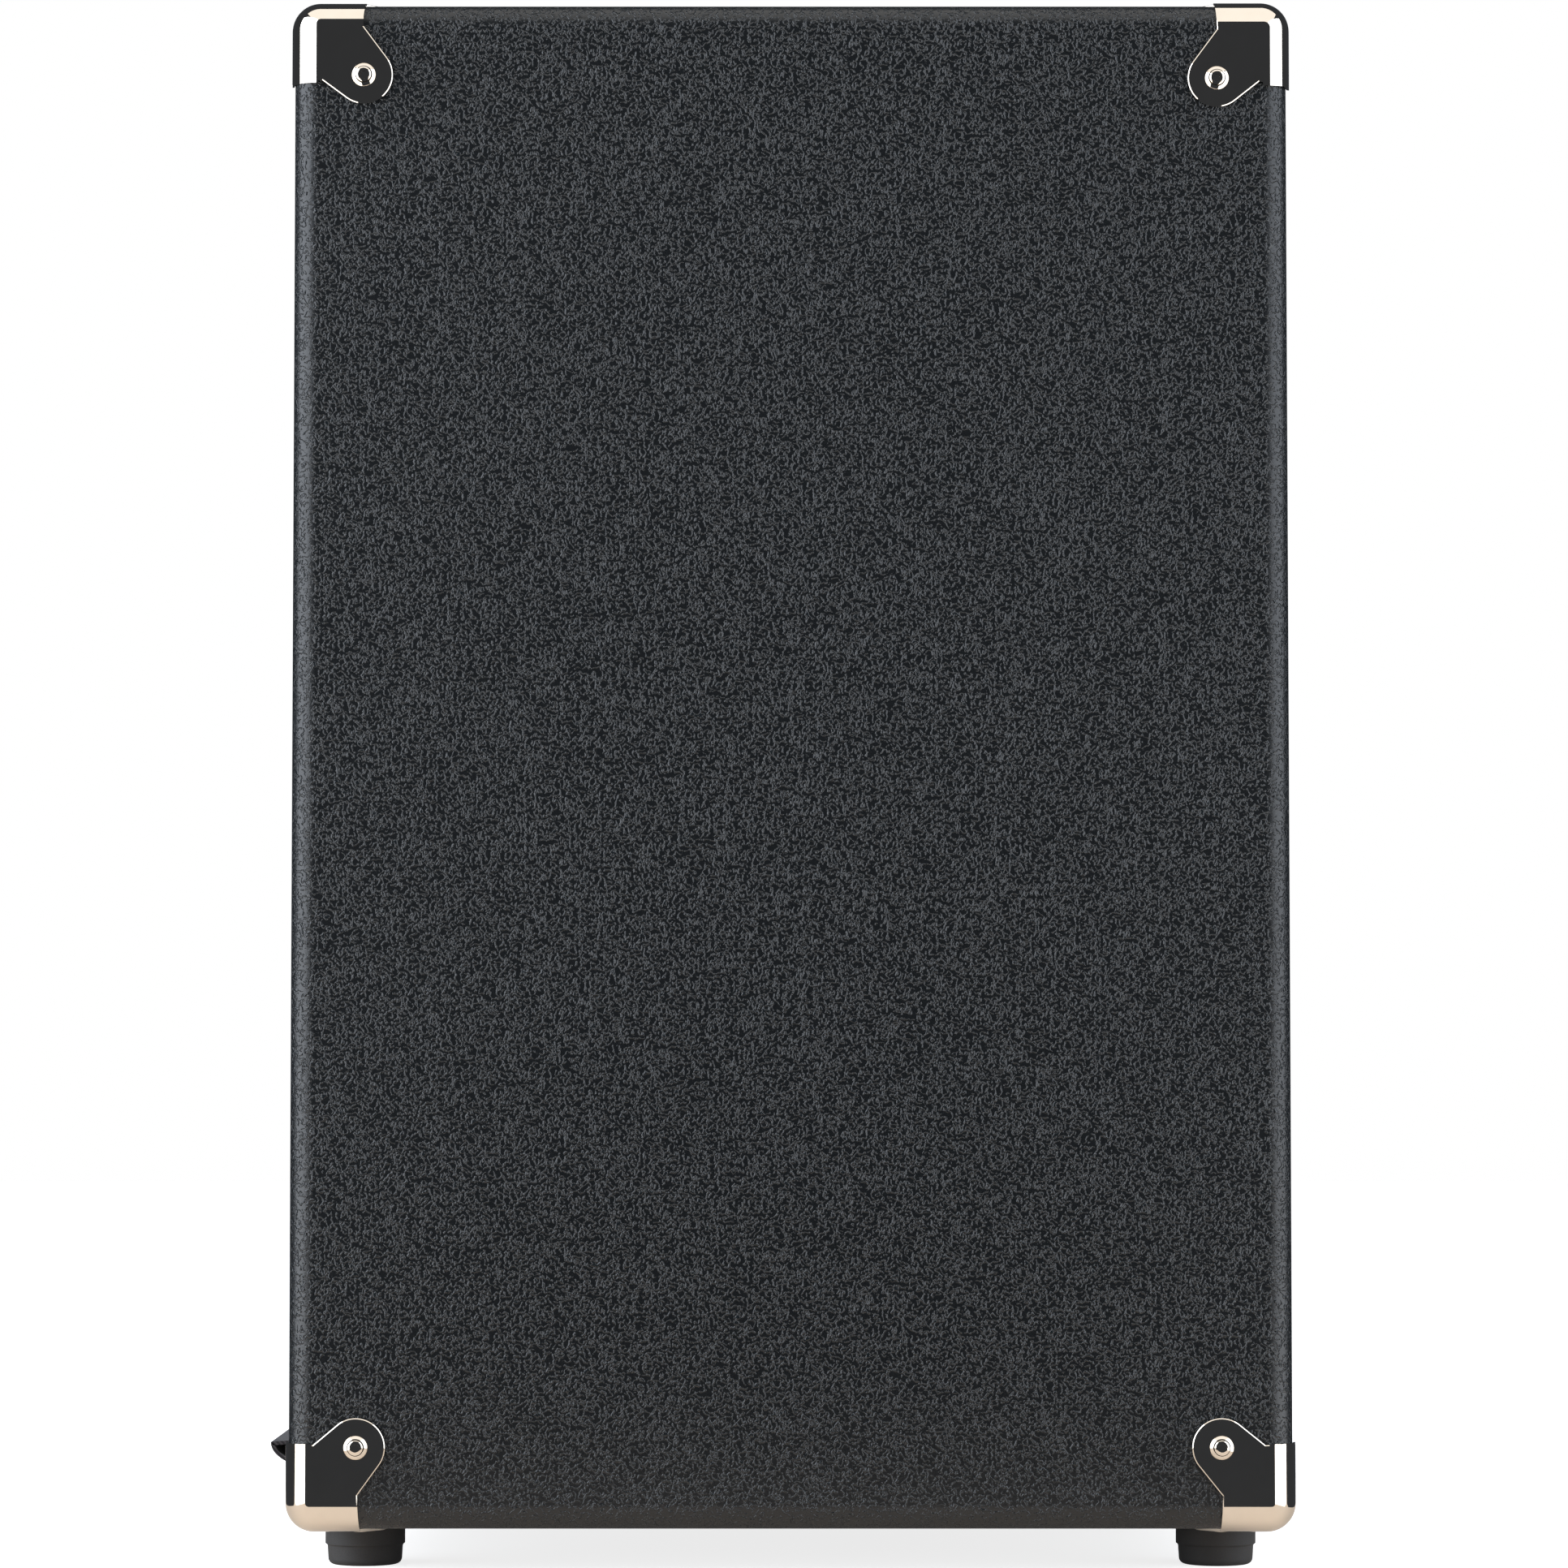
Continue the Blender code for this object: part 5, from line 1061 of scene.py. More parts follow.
def edge_spots(box: Box, facing: int, margin: float, shares: Sequence[float]) -> list[Spot]:
    """Give the screws along a plate's lower and upper edges.

    Args:
        box: The plate's box.
        facing: -1 for its front and 1 for its back.
        margin: How far in from its edges they stand.
        shares: Where they stand along each edge, from 0 to 1.

    Returns:
        The direction and the place of each screw.
    """
    level = box.low.y if facing < 0 else box.high.y
    spots = []
    for z in (box.low.z + margin, box.high.z - margin):
        for share in shares:
            x = box.low.x + margin + (box.size.x - 2 * margin) * share
            spots.append(((0, facing, 0), (x, level, z)))
    return spots


# The cabinet


@dataclass
class CabinetShell:
    """The four boards under one cover, the shelf, the baffle and the back panel."""

    round_over: float = 10.0 * MM
    inner_edge: float = 0.8 * MM
    steps: int = 12
    front_wrap: float = 34.0 * MM
    back_wrap: float = 15.0 * MM

    def __post_init__(self) -> None:
        """Read the boards' outer and inner faces from the frame."""
        side = box_of("cabinet_side_right")
        self.half_width = side.high.x
        self.wall = side.size.x
        self.front = side.low.y
        self.back = side.high.y
        self.low = side.low.z
        self.high = side.high.z

    def ring(self, inset: float, level: float) -> Ring:
        """Give the cover's outline at a distance in from its outer face, at one depth."""
        half_height = (self.high - self.low) / 2
        middle = (self.high + self.low) / 2
        radius = max(self.round_over - inset, MM)
        outline = rectangle(self.half_width - inset, half_height - inset, radius, self.steps, (0.0, middle))
        return lifted(outline, Axis.Y, level)

    def build(self) -> None:
        """Build the cover and dress the boards inside it."""
        edge = self.inner_edge
        stations: list[Pair] = []
        for outward, level in ((1, self.front), (-1, self.back)):
            run: list[Pair] = []
            for angle in angles(math.pi / 2, 3):
                sink = outward * edge * (1 - math.sin(angle))
                run.append((self.wall - edge * (1 - math.cos(angle)), level + sink))
            bend = self.round_over
            for angle in angles(math.pi / 2, self.steps):
                run.append((bend * (1 - math.sin(angle)), level + outward * bend * (1 - math.cos(angle))))
            stations += run if outward > 0 else run[::-1]
        stations.append((self.wall, self.back - self.back_wrap))
        stations.append((self.wall, self.front + self.front_wrap))
        mesh = Solid().skin([self.ring(*station) for station in stations], joined=True).mesh("cabinet_cover")
        boards = ("cabinet_side_left", "cabinet_side_right", "cabinet_top", "cabinet_bottom")
        cover = Piece("cabinet_cover", "cabinet", (VINYL, PLYWOOD), boards, sharp=30.0).add(mesh)
        for face in cover.data.polygons:
            middle = face.center
            inside = abs(middle.x) < self.half_width - self.wall + MM / 10
            deep = self.front + self.front_wrap < middle.y < self.back - self.back_wrap
            enclosed = self.low + self.wall - MM / 10 < middle.z < self.high - self.wall + MM / 10
            if deep and inside and enclosed:
                face.material_index = 1
        self.build_shelf()
        dress("baffle_board", PLYWOOD)
        dress("back_panel", VINYL)
        self.build_back_screws()

    def build_shelf(self) -> None:
        """Build the shelf that shows as a bar above the grille."""
        shelf = box_of("amp_shelf")
        nose = shelf.size.z * 0.3
        corners = tube(shelf.low.y, shelf.high.y, shelf.low.z, shelf.high.z)
        outline = filleted(corners, [nose, 0.0, 0.0, nose], 8)
        mesh = Solid().push(outline, Axis.X, shelf.low.x, shelf.high.x).mesh("shelf_cover")
        Piece("shelf_cover", "cabinet", (VINYL,), ("amp_shelf",), soften=0.4 * MM).add(mesh)

    def build_back_screws(self) -> None:
        """Build the screws round the back panel."""
        panel = box_of("back_panel")
        margin = 12 * MM
        spots = edge_spots(panel, 1, margin, (0.0, 0.25, 0.5, 0.75, 1.0))
        for x in (panel.low.x + margin, panel.high.x - margin):
            for share in (0.33, 0.67):
                spots.append(((0, 1, 0), (x, panel.high.y, panel.low.z + panel.size.z * share)))
        screws("back_panel_screws", ScrewHead(drive=Recess.CROSS), SCREW, spots)


@dataclass(frozen=True)
class LobeShape:
    """A protector's side face, in millimetres: its legs, the lobe with its screw and its two folds."""

    leg: float
    taper: float
    lobe: float
    depth: float
    lobe_in: float = 26.5
    leg_width: float = 10.0
    leg_along: float = 28.2
    leg_taper: float = 1.4
    folds: Pair = (9.9, 9.6)


SIDE_SHAPES = {
    ("top", "front"): LobeShape(32.8, 1.3, 29.4, 9.5, 28.1, 11.6, 28.6, 1.0, (10.7, 8.5)),
    ("top", "back"): LobeShape(34.0, 1.9, 30.7, 11.1, 28.3, 11.5, 28.8, 0.7, (8.6, 9.6)),
    ("bottom", "front"): LobeShape(34.1, 0.7, 32.4, 13.8, 27.1, 10.4, 28.3, 0.5, (8.9, 10.9)),
    ("bottom", "back"): LobeShape(34.1, 0.7, 32.4, 13.6, 28.7, 11.6, 28.6, 0.3, (9.4, 10.9)),
}
FLAT_SHAPE = LobeShape(28.2, 1.4, 26.5, 10.0)


@dataclass
class CornerProtector:
    """A drawn steel corner with a lobe for its screw on the side and on the flat face.

    Its own frame has its origin at the cabinet's corner and all three axes pointing inwards.
    """

    end: str
    level: str
    hand: str
    sheet: float = 1.2 * MM
    gap: float = 0.3 * MM
    round_over: float = 10.0 * MM
    steps: int = 14
    fold: float = 17.0
    leg_along: float = 28.2 * MM
    leg_width: float = 10.0 * MM
    lobe_radius: float = 11.5 * MM
    roll_width: float = 0.36 * MM
    roll_depth: float = 0.25 * MM
    band: float = 16.5 * MM
    margin: float = 4.0 * MM

    @property
    def node(self) -> str:
        """Give the name of the CAD node that this protector stands for."""
        return f"corner_{self.end}_{self.level}_{self.hand}"

    @property
    def shape(self) -> LobeShape:
        """Give the sizes of the face on the cabinet's side."""
        return SIDE_SHAPES[self.level, self.end]

    @property
    def signs(self) -> Point:
        """Give which way the protector's own axes run in the frame."""
        return (
            -1.0 if self.hand == "right" else 1.0,
            1.0 if self.end == "front" else -1.0,
            1.0 if self.level == "bottom" else -1.0,
        )

    def corner(self) -> Point:
        """Give the cabinet's corner that the protector covers."""
        box = box_of(self.node)
        outer = [box.low[i] if self.signs[i] > 0 else box.high[i] for i in range(3)]
        return tuple(outer[i] + self.signs[i] * (self.sheet + self.gap) for i in range(3))

    def lobed(self, shape: LobeShape, spill: float) -> list[Pair]:
        """Give one face's outline: two legs, and the round lobe that takes the screw.

        Args:
            shape: The face's own sizes.
            spill: How far the outline runs past the two edges.

        Returns:
            The outline, as distances from the two edges.
        """
        along = shape.leg_along * MM
        points = [(-spill, -spill), (along, -spill), (along - shape.leg_taper * MM, shape.depth * MM)]
        points += arc((shape.lobe_in * MM, shape.lobe * MM), self.lobe_radius, -36, 126, 28)
        points += [(shape.leg_width * MM, (shape.leg - shape.taper) * MM), (-spill, shape.leg * MM)]
        return points

    def punched(self, outline: Sequence[Pair], axis: Axis, spill: float) -> Solid:
        """Give the bar that a face is cut by, drawn in where the punch rolls the cut edge over.

        Args:
            outline: The face's outline.
            axis: The axis that it faces along.
            spill: How far the bar stands out of the face.

        Returns:
            The bar.
        """
        face = -self.gap - self.sheet
        drawn = inset(outline, self.roll_width)
        levels = [(-spill, drawn), (face, drawn)]
        levels += [(face + self.roll_depth, outline), (self.round_over, outline)]
        return Solid().skin([lifted(ring, axis, level) for level, ring in levels])

    def block(self, offset: float, reach: float) -> bpy.types.Mesh:
        """Give a block whose rounded corner lies outside the cabinet's corner by the offset."""
        solid = Solid().block((-offset,) * 3, (reach,) * 3)
        shape = solid.shape
        shape.edges.ensure_lookup_table()
        tip = Vector((-offset,) * 3)
        edges = [e for e in shape.edges if any((v.co - tip).length < self.gap / 10 for v in e.verts)]
        bmesh.ops.recalc_face_normals(shape, faces=shape.faces)
        size = self.round_over + offset
        bmesh.ops.bevel(shape, geom=edges, offset=size, segments=self.steps, profile=0.5, affect="EDGES")
        return solid.mesh("corner_block")

    def drawn(self, reach: float) -> bpy.types.Mesh:
        """Give the outer block, whose rounds meet the flat side face in a fold instead of running out.

        Args:
            reach: How far the block runs in from the corner.

        Returns:
            The block.
        """
        proud = self.gap + self.sheet
        lean = math.radians(self.fold)
        radii = [width * MM / (1 - math.sin(lean)) for width in self.shape.folds]
        deepest = max(radius * math.cos(lean) for radius in radii)
        rings = []
        for turn in angles(math.pi / 2 - lean, self.steps):
            depth = deepest * (math.cos(lean) - math.cos(lean + turn)) / math.cos(lean)
            nears = []
            for radius in radii:
                lift = radius * math.cos(lean) * (1 - depth / deepest)
                nears.append(radius - math.sqrt(max(radius**2 - lift**2, 0.0)) - proud)
            inner = self.round_over + proud - (sum(nears) / 2 + proud)
            corners = [(nears[0], nears[1]), (reach, nears[1]), (reach, reach), (nears[0], reach)]
            outline = filleted(corners, [max(inner, MM / 2), 0, 0, 0], self.steps)
            rings.append(lifted(outline, Axis.X, depth - proud))
        rings.append([(reach, y, z) for _, y, z in rings[-1]])
        return Solid().skin(rings).mesh("drawn_block")

    def mesh(self) -> bpy.types.Mesh:
        """Make the protector in its own frame."""
        reach = self.shape.lobe * MM + 2 * self.lobe_radius
        outside = self.drawn(reach)
        inside = self.block(self.gap, 1.3 * reach)
        spill = self.margin
        side = self.lobed(self.shape, spill)
        flat = self.lobed(FLAT_SHAPE, spill + self.gap)
        tip = self.leg_width * 0.1
        edge = spill + 2 * self.gap
        front = [(-edge, -edge), (self.leg_along, -edge), (self.leg_along - tip, self.band)]
        leg = self.shape.leg * MM
        front += [(self.band, self.band), (self.band, leg - 2 * tip), (-edge, leg)]
        kept = self.punched(side, Axis.X, spill).mesh("kept_side")
        kept = worked(kept, self.punched(flat, Axis.Z, spill + self.gap).mesh("kept_flat"), Operation.JOIN)
        kept = worked(kept, self.punched(front, Axis.Y, edge).mesh("kept_front"), Operation.JOIN)
        return worked(worked(outside, inside, Operation.CUT), kept, Operation.KEEP)

    def screw_spots(self) -> list[tuple[Point, Point]]:
        """Give the direction and place of the screw on the side and of the one on the flat face."""
        proud = -self.gap - self.sheet
        side, flat = self.shape, FLAT_SHAPE
        own = [
            ((-1, 0, 0), (proud, side.lobe_in * MM, side.lobe * MM)),
            ((0, 0, -1), (flat.lobe_in * MM, flat.lobe * MM, proud)),
        ]
        corner = self.corner()
        spots = []
        for direction, place in own:
            turned = tuple(a * b for a, b in zip(direction, self.signs))
            moved = tuple(c + a * b for a, b, c in zip(place, self.signs, corner))
            spots.append((turned, moved))
        return spots

    def build(self, pattern: bpy.types.Mesh) -> None:
        """Build the protector as a mirrored copy of a pattern."""
        matrix = Matrix.Translation(self.corner()) @ Matrix.Diagonal((*self.signs, 1.0))
        solid = Solid().add_copy(pattern, matrix)
        name = f"protector_{self.end}_{self.level}_{self.hand}"
        Piece(name, "cabinet", (NICKEL,), (self.node,), sharp=13.0).add(solid.mesh(name))


@dataclass
class CornerSet:
    """The eight protectors and their screws."""

    side_screw: ScrewHead = ScrewHead()
    flat_screw: ScrewHead = ScrewHead(height=1.3 * MM, slope=0.25)

    def build(self) -> None:
        """Build every protector from the pattern that it shares with its twin, then the screws."""
        side_spots, flat_spots = [], []
        for level, end in SIDE_SHAPES:
            pattern = None
            for hand in ("left", "right"):
                protector = CornerProtector(end, level, hand)
                pattern = pattern or protector.mesh()
                protector.build(pattern)
                side_spot, flat_spot = protector.screw_spots()
                side_spots.append(side_spot)
                flat_spots.append(flat_spot)
        screws("protector_screws", self.side_screw, NICKEL, side_spots)
        screws("protector_face_screws", self.flat_screw, NICKEL, flat_spots)


@dataclass
class Foot:
    """A rubber foot with a collar, a slight taper and a sunk screw."""

    node: str
    collar: float = 10.0 * MM
    step: float = 0.6 * MM
    base_radius: float = 14.8 * MM
    edge_radius: float = 2.5 * MM
    well_radius: float = 5.0 * MM
    well_depth: float = 9.0 * MM

    def build(self) -> None:
        """Build the foot and the screw in its well."""
        box = box_of(self.node)
        radius = box.size.x / 2
        top = box.high.z
        collar = top + 0.3 * MM - self.collar
        well = self.well_radius
        profile = [(0.0, self.well_depth), (well, self.well_depth), (well, 0.6 * MM), (well + 0.6 * MM, 0.0)]
        edge = self.edge_radius
        profile += arc((self.base_radius - edge, edge), edge, -90, 0, 8)
        waist = radius - self.step
        profile += [(waist - 0.3 * MM, collar - 0.7 * MM), (waist, collar)]
        profile += [(radius - 0.3 * MM, collar + 0.1 * MM), (radius, collar + 0.4 * MM)]
        profile += [(radius, top - 0.6 * MM), (radius - 0.5 * MM, top), (0.0, top)]
        place = (box.centre.x, box.centre.y, 0.0)
        mesh = Solid().turn(profile, Axis.Z, 72).mesh(self.node)
        Piece(f"rubber_{self.node}", "cabinet", (RUBBER,), (self.node,), sharp=50.0, place=place).add(mesh)
        head = ScrewHead(4.2 * MM, 0.5 * MM, 2.4 * MM, 2.2 * MM, Recess.CROSS)
        screws(f"{self.node}_screw", head, ZINC, [((0, 0, -1), (place[0], place[1], self.well_depth))])


# The grille


@dataclass
class Grille:
    """The grille that pulls off: frame, cloth, and the webbing tab below it."""

    cloth: float = 0.8 * MM
    edge_round: float = 2.4 * MM
    corner_radius: float = 4.5 * MM
    tab_web: float = 1.6 * MM

    def build(self) -> None:
        """Build the cloth and the tab over the frame."""
        dress("grille_frame", PLYWOOD)
        self.build_cloth()
        self.build_tab()

    def build_cloth(self) -> None:
        """Build the stretched cloth with its edges folded back along the frame."""
        box = box_of("grille_cloth")
        half_width = box.size.x / 2
        half_height = box.size.z / 2
        middle = (box.centre.x, box.centre.z)
        front = box.low.y
        back = box.high.y

        def ring(wide: float, tall: float, radius: float, level: float) -> Ring:
            """Give one ring of the cloth at a depth."""
            return lifted(rectangle(wide, tall, radius, 6, middle), Axis.Y, level)

        def shell(skin: float) -> list[Ring]:
            """Give the rings of one face of the cloth, from its middle to its folded edge."""
            bend = self.edge_round - skin
            corner = self.corner_radius
            wide, tall = half_width - skin, half_height - skin
            rings = [ring(wide * share, tall * share, corner, front + skin) for share in (0.30, 0.60, 0.85)]
            for angle in angles(math.pi / 2, 6):
                sink = bend * (1 - math.sin(angle))
                level = front + skin + bend * (1 - math.cos(angle))
                rings.append(ring(wide - sink, tall - sink, max(corner - skin - sink, 0.6 * MM), level))
            return [*rings, ring(wide, tall, corner - skin, back)]

        mesh = Solid().skin(shell(0.0) + shell(self.cloth)[::-1]).mesh("speaker_cloth")
        piece = Piece("speaker_cloth", "grille", (CLOTH,), ("grille_cloth",), sharp=60.0).add(mesh)

    def tab_outline(self, top: float, heel: float, tip_y: float, tip_z: float, low: float) -> list[Pair]:
        """Give the loop from the side, as distances forward and up.

        Args:
            top: The height of its flat top.
            heel: The depth at which it meets the frame.
            tip_y: The depth of its tip.
            tip_z: The height of its tip.
            low: The lowest point of its belly.

        Returns:
            The outline.
        """
        reach = heel - tip_y
        belly = (heel - reach * 0.42, low)
        rise = (heel, top - (top - low) * 0.62)
        outline = [(heel, top), (tip_y + 0.4 * MM, tip_z + 0.3 * MM), (tip_y, tip_z)]
        fall = (tip_y + self.tab_web * 0.2, low + (top - low) * 0.30)
        for start, pull, end in (((tip_y, tip_z), fall, belly), (belly, (heel, low), rise)):
            for step in range(1, 13):
                share = step / 12
                weights = ((1 - share) ** 2, 2 * share * (1 - share), share**2)
                knots = tuple(zip(weights, (start, pull, end)))
                outline.append(tuple(sum(weight * knot[i] for weight, knot in knots) for i in range(2)))
        return outline

    def build_tab(self) -> None:
        """Build the pull tab: a wide loop of webbing with its tongue under the frame."""
        box = box_of("grille_pull_tab")
        web = self.tab_web
        heel = box_of("cabinet_side_right").low.y - 0.3 * MM
        outline = self.tab_outline(box.high.z, heel, box.low.y, box.high.z - 2.1 * MM, box.low.z)
        half = box.size.x / 2
        inner = inset(outline, web)
        edges = ((outline, -half), (outline, half), (inner, half), (inner, -half))
        rings = [lifted(edge, Axis.X, x) for edge, x in edges]
        loop = Solid().skin(rings, joined=True).mesh("webbing_loop")
        low = (-half, heel - web / 2, box.high.z - 2 * web)
        tongue = Solid().block(low, (half, box.high.y, box.high.z)).mesh("tongue")
        mesh = worked(loop, tongue, Operation.JOIN)
        piece = Piece("webbing_pull_tab", "grille", (WEBBING,), ("grille_pull_tab",), 50.0, 0.3 * MM)
        piece.add(mesh)


# The handle


@dataclass
class StrapHandle:
    """The strap on the top: two screwed caps, a moulded strap in two halves and its grip."""

    cap_radius: float = 4.5 * MM
    slot_gap: float = 0.5 * MM
    strap_width: float = 32.0 * MM
    strap_thickness: float = 7.5 * MM
    strap_round: float = 2.2 * MM
    grip_half: float = 42.0 * MM
    end_height: float = 3.5 * MM

    def build(self) -> None:
        """Build the caps, the strap and the grip."""
        strap = box_of("handle_strap")
        base = strap.low.z - self.end_height
        for hand, side in (("left", -1), ("right", 1)):
            self.build_cap(f"handle_cap_{hand}", side, base)
        self.build_strap(strap, base)

    def build_cap(self, node: str, side: int, base: float) -> None:
        """Build one cap with the slot that the strap slides in, and its screw.

        Args:
            node: The CAD node that it stands for.
            side: -1 at the left and 1 at the right.
            base: The height of its underside.
        """
        box = box_of(node)
        radius = self.cap_radius
        half_length = box.size.x / 2
        half_width = box.size.y / 2
        height = box.size.z
        middle = (box.centre.x, box.centre.y)
        rings = [lifted(rectangle(half_length, half_width, radius, 8, middle), Axis.Z, box.low.z)]
        for angle in angles(math.pi / 2, 8):
            sink = radius * (1 - math.cos(angle))
            level = box.low.z + height - radius * (1 - math.sin(angle))
            corner = max(radius - sink, 0.8 * MM)
            outline = rectangle(half_length - sink, half_width - sink, corner, 8, middle)
            rings.append(lifted(outline, Axis.Z, level))
        cap = Solid().skin(rings).mesh(node)
        slot_half = self.strap_width / 2 + self.slot_gap
        low = base + self.end_height - self.slot_gap
        high = base + self.end_height + self.strap_thickness + self.slot_gap
        blind = box.centre.x + side * (half_length - 2.5 * MM)
        mouth = box.centre.x - side * half_length * 2
        centre = (box.centre.y, (high + low) / 2)
        outline = rectangle(slot_half, (high - low) / 2, self.strap_round, 6, centre)
        slot = Solid().push(outline, Axis.X, min(blind, mouth), max(blind, mouth)).mesh("slot")
        mesh = worked(cap, slot, Operation.CUT)
        Piece(f"{node}_shell", "cabinet", (NICKEL,), (node,), sharp=40.0, soften=0.3 * MM).add(mesh)
        place = (box.centre.x + side * half_length * 0.25, box.centre.y, box.high.z)
        screws(f"{node}_screw", ScrewHead(drive=Recess.CROSS), NICKEL, [((0, 0, 1), place)])

    def section(self, x: float, low: float, tilt: float, grow: float = 0.0) -> Ring:
        """Give the strap's cross-section at a place along it.

        Args:
            x: The place along the strap.
            low: The height of its underside there.
            tilt: The slope of the strap there.
            grow: How much thicker the section is all round.

        Returns:
            The ring of points.
        """
        half_height = self.strap_thickness / 2 + grow
        outline = rectangle(self.strap_width / 2 + grow, half_height, self.strap_round + grow, 5)
        centre_y = box_of("handle_strap").centre.y
        ring = []
        for y, z in outline:
            lift = low + self.strap_thickness / 2 + z
            ring.append((x - z * tilt, y + centre_y, lift))
        return ring

    def build_strap(self, strap: Box, base: float) -> None:
        """Build the two halves of the strap and the ribbed grip over their joint.

        Args:
            strap: The box of the CAD strap.
            base: The height of the cabinet's top.
        """
        end = strap.size.x / 2
        flat = box_of("handle_cap_right").low.x
        arch = strap.high.z - base - self.end_height - self.strap_thickness

        def low_at(x: float) -> Pair:
            """Give the strap's underside and its slope at a place along it."""
            share = min(max((x + flat) / (2 * flat), 0.0), 1.0)
            slope = arch * math.pi / (2 * flat) * math.cos(math.pi * share) if abs(x) < flat else 0.0
            return base + self.end_height + arch * math.sin(math.pi * share), slope

        for hand, side in (("left", -1), ("right", 1)):
            rings = []
            for step in range(29):
                x = side * end * (1 - step / 28)
                low, slope = low_at(x)
                rings.append(self.section(x, low, slope))
            mesh = Solid().skin(rings).mesh(f"strap_{hand}")
            half = Piece(f"strap_{hand}_half", "handle_strap", (RUBBER,), ("handle_strap",), sharp=50.0)
            piece = half.add(mesh, rides=False)
            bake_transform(piece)
        rings = []
        count = 56
        for step in range(count + 1):
            x = -self.grip_half + 2 * self.grip_half * step / count
            low, slope = low_at(x)
            fade = min(step, count - step, 3) / 3
            rib = 0.45 * MM * (0.5 - 0.5 * math.cos(math.pi * step)) if fade == 1 else 0.0
            rings.append(self.section(x, low, slope, 0.9 * MM * fade - rib + 0.05 * MM))
        mesh = Solid().skin(rings).mesh("grip")
        Piece("strap_grip", "handle_strap", (RUBBER,), sharp=60.0).add(mesh)


# The control panel


@dataclass
class Knob:
    """A fluted knob with a skirt and a filled pointer line."""

    node: str
    flutes: int = 20
    flute_depth: float = 0.7 * MM
    skirt: float = 3.6 * MM
    grip_radius: float = 10.6 * MM
    pointer_width: float = 1.3 * MM

    def build(self) -> None:
        """Build the knob and its pointer."""
        box = box_of(self.node)
        radius = box.size.x / 2
        axis = (box.centre.x, 0.0, box.centre.z)
        panel = box_of("control_panel").low.y
        front = panel - 16.8 * MM
        skirt = panel - 0.8 * MM - self.skirt
        grip = self.grip_radius

        def fluted(angle: float, reach: float, level: float) -> float:
            """Give the radius between two flutes on the grip, and the plain one elsewhere."""
            if level > skirt - 1.2 * MM or reach < grip * 0.9:
                return reach
            return reach - self.flute_depth * max(0.0, math.cos(self.flutes * angle)) ** 2

        profile = [(0.0, front + 0.35 * MM), (grip * 0.55, front + 0.25 * MM), (grip * 0.82, front)]
        profile += [(grip - 1.1 * MM, front + 0.05 * MM), (grip - 0.5 * MM, front + 0.35 * MM)]
        profile += [(grip - 0.15 * MM, front + 1.0 * MM), (grip, skirt - 2.6 * MM), (grip, skirt - 1.3 * MM)]
        profile += [(grip + 0.3 * MM, skirt - 0.4 * MM), (radius - 0.8 * MM, skirt + 0.7 * MM)]
        profile += [(radius - 0.1 * MM, skirt + 1.2 * MM), (radius, skirt + 1.8 * MM)]
        profile += [(radius, panel - 1.1 * MM), (radius - 0.3 * MM, panel - 0.8 * MM)]
        profile.append((3.0 * MM, panel - 0.8 * MM))
        profile += [(3.0 * MM, panel + 6.0 * MM), (0.0, panel + 6.0 * MM)]
        mesh = Solid().turn(profile, Axis.Y, 160, axis, wave=fluted).mesh(self.node)
        Piece(f"{self.node}_cap", self.node, (PLASTIC,), (self.node,), sharp=40.0).add(mesh)
        half = self.pointer_width / 2
        low = (axis[0] - half, front - 0.12 * MM, axis[2] + grip * 0.30)
        high = (axis[0] + half, front + 0.8 * MM, axis[2] + grip - 0.9 * MM)
        line = Solid().block(low, high)
        low = (axis[0] - half * 0.8, skirt + 0.9 * MM, axis[2] + radius - 1.4 * MM)
        high = (axis[0] + half * 0.8, skirt + 2.8 * MM, axis[2] + radius + 0.06 * MM)
        line.block(low, high)
        Piece(f"{self.node}_pointer", self.node, (WHITE_FILL,)).add(line.mesh("pointer"))


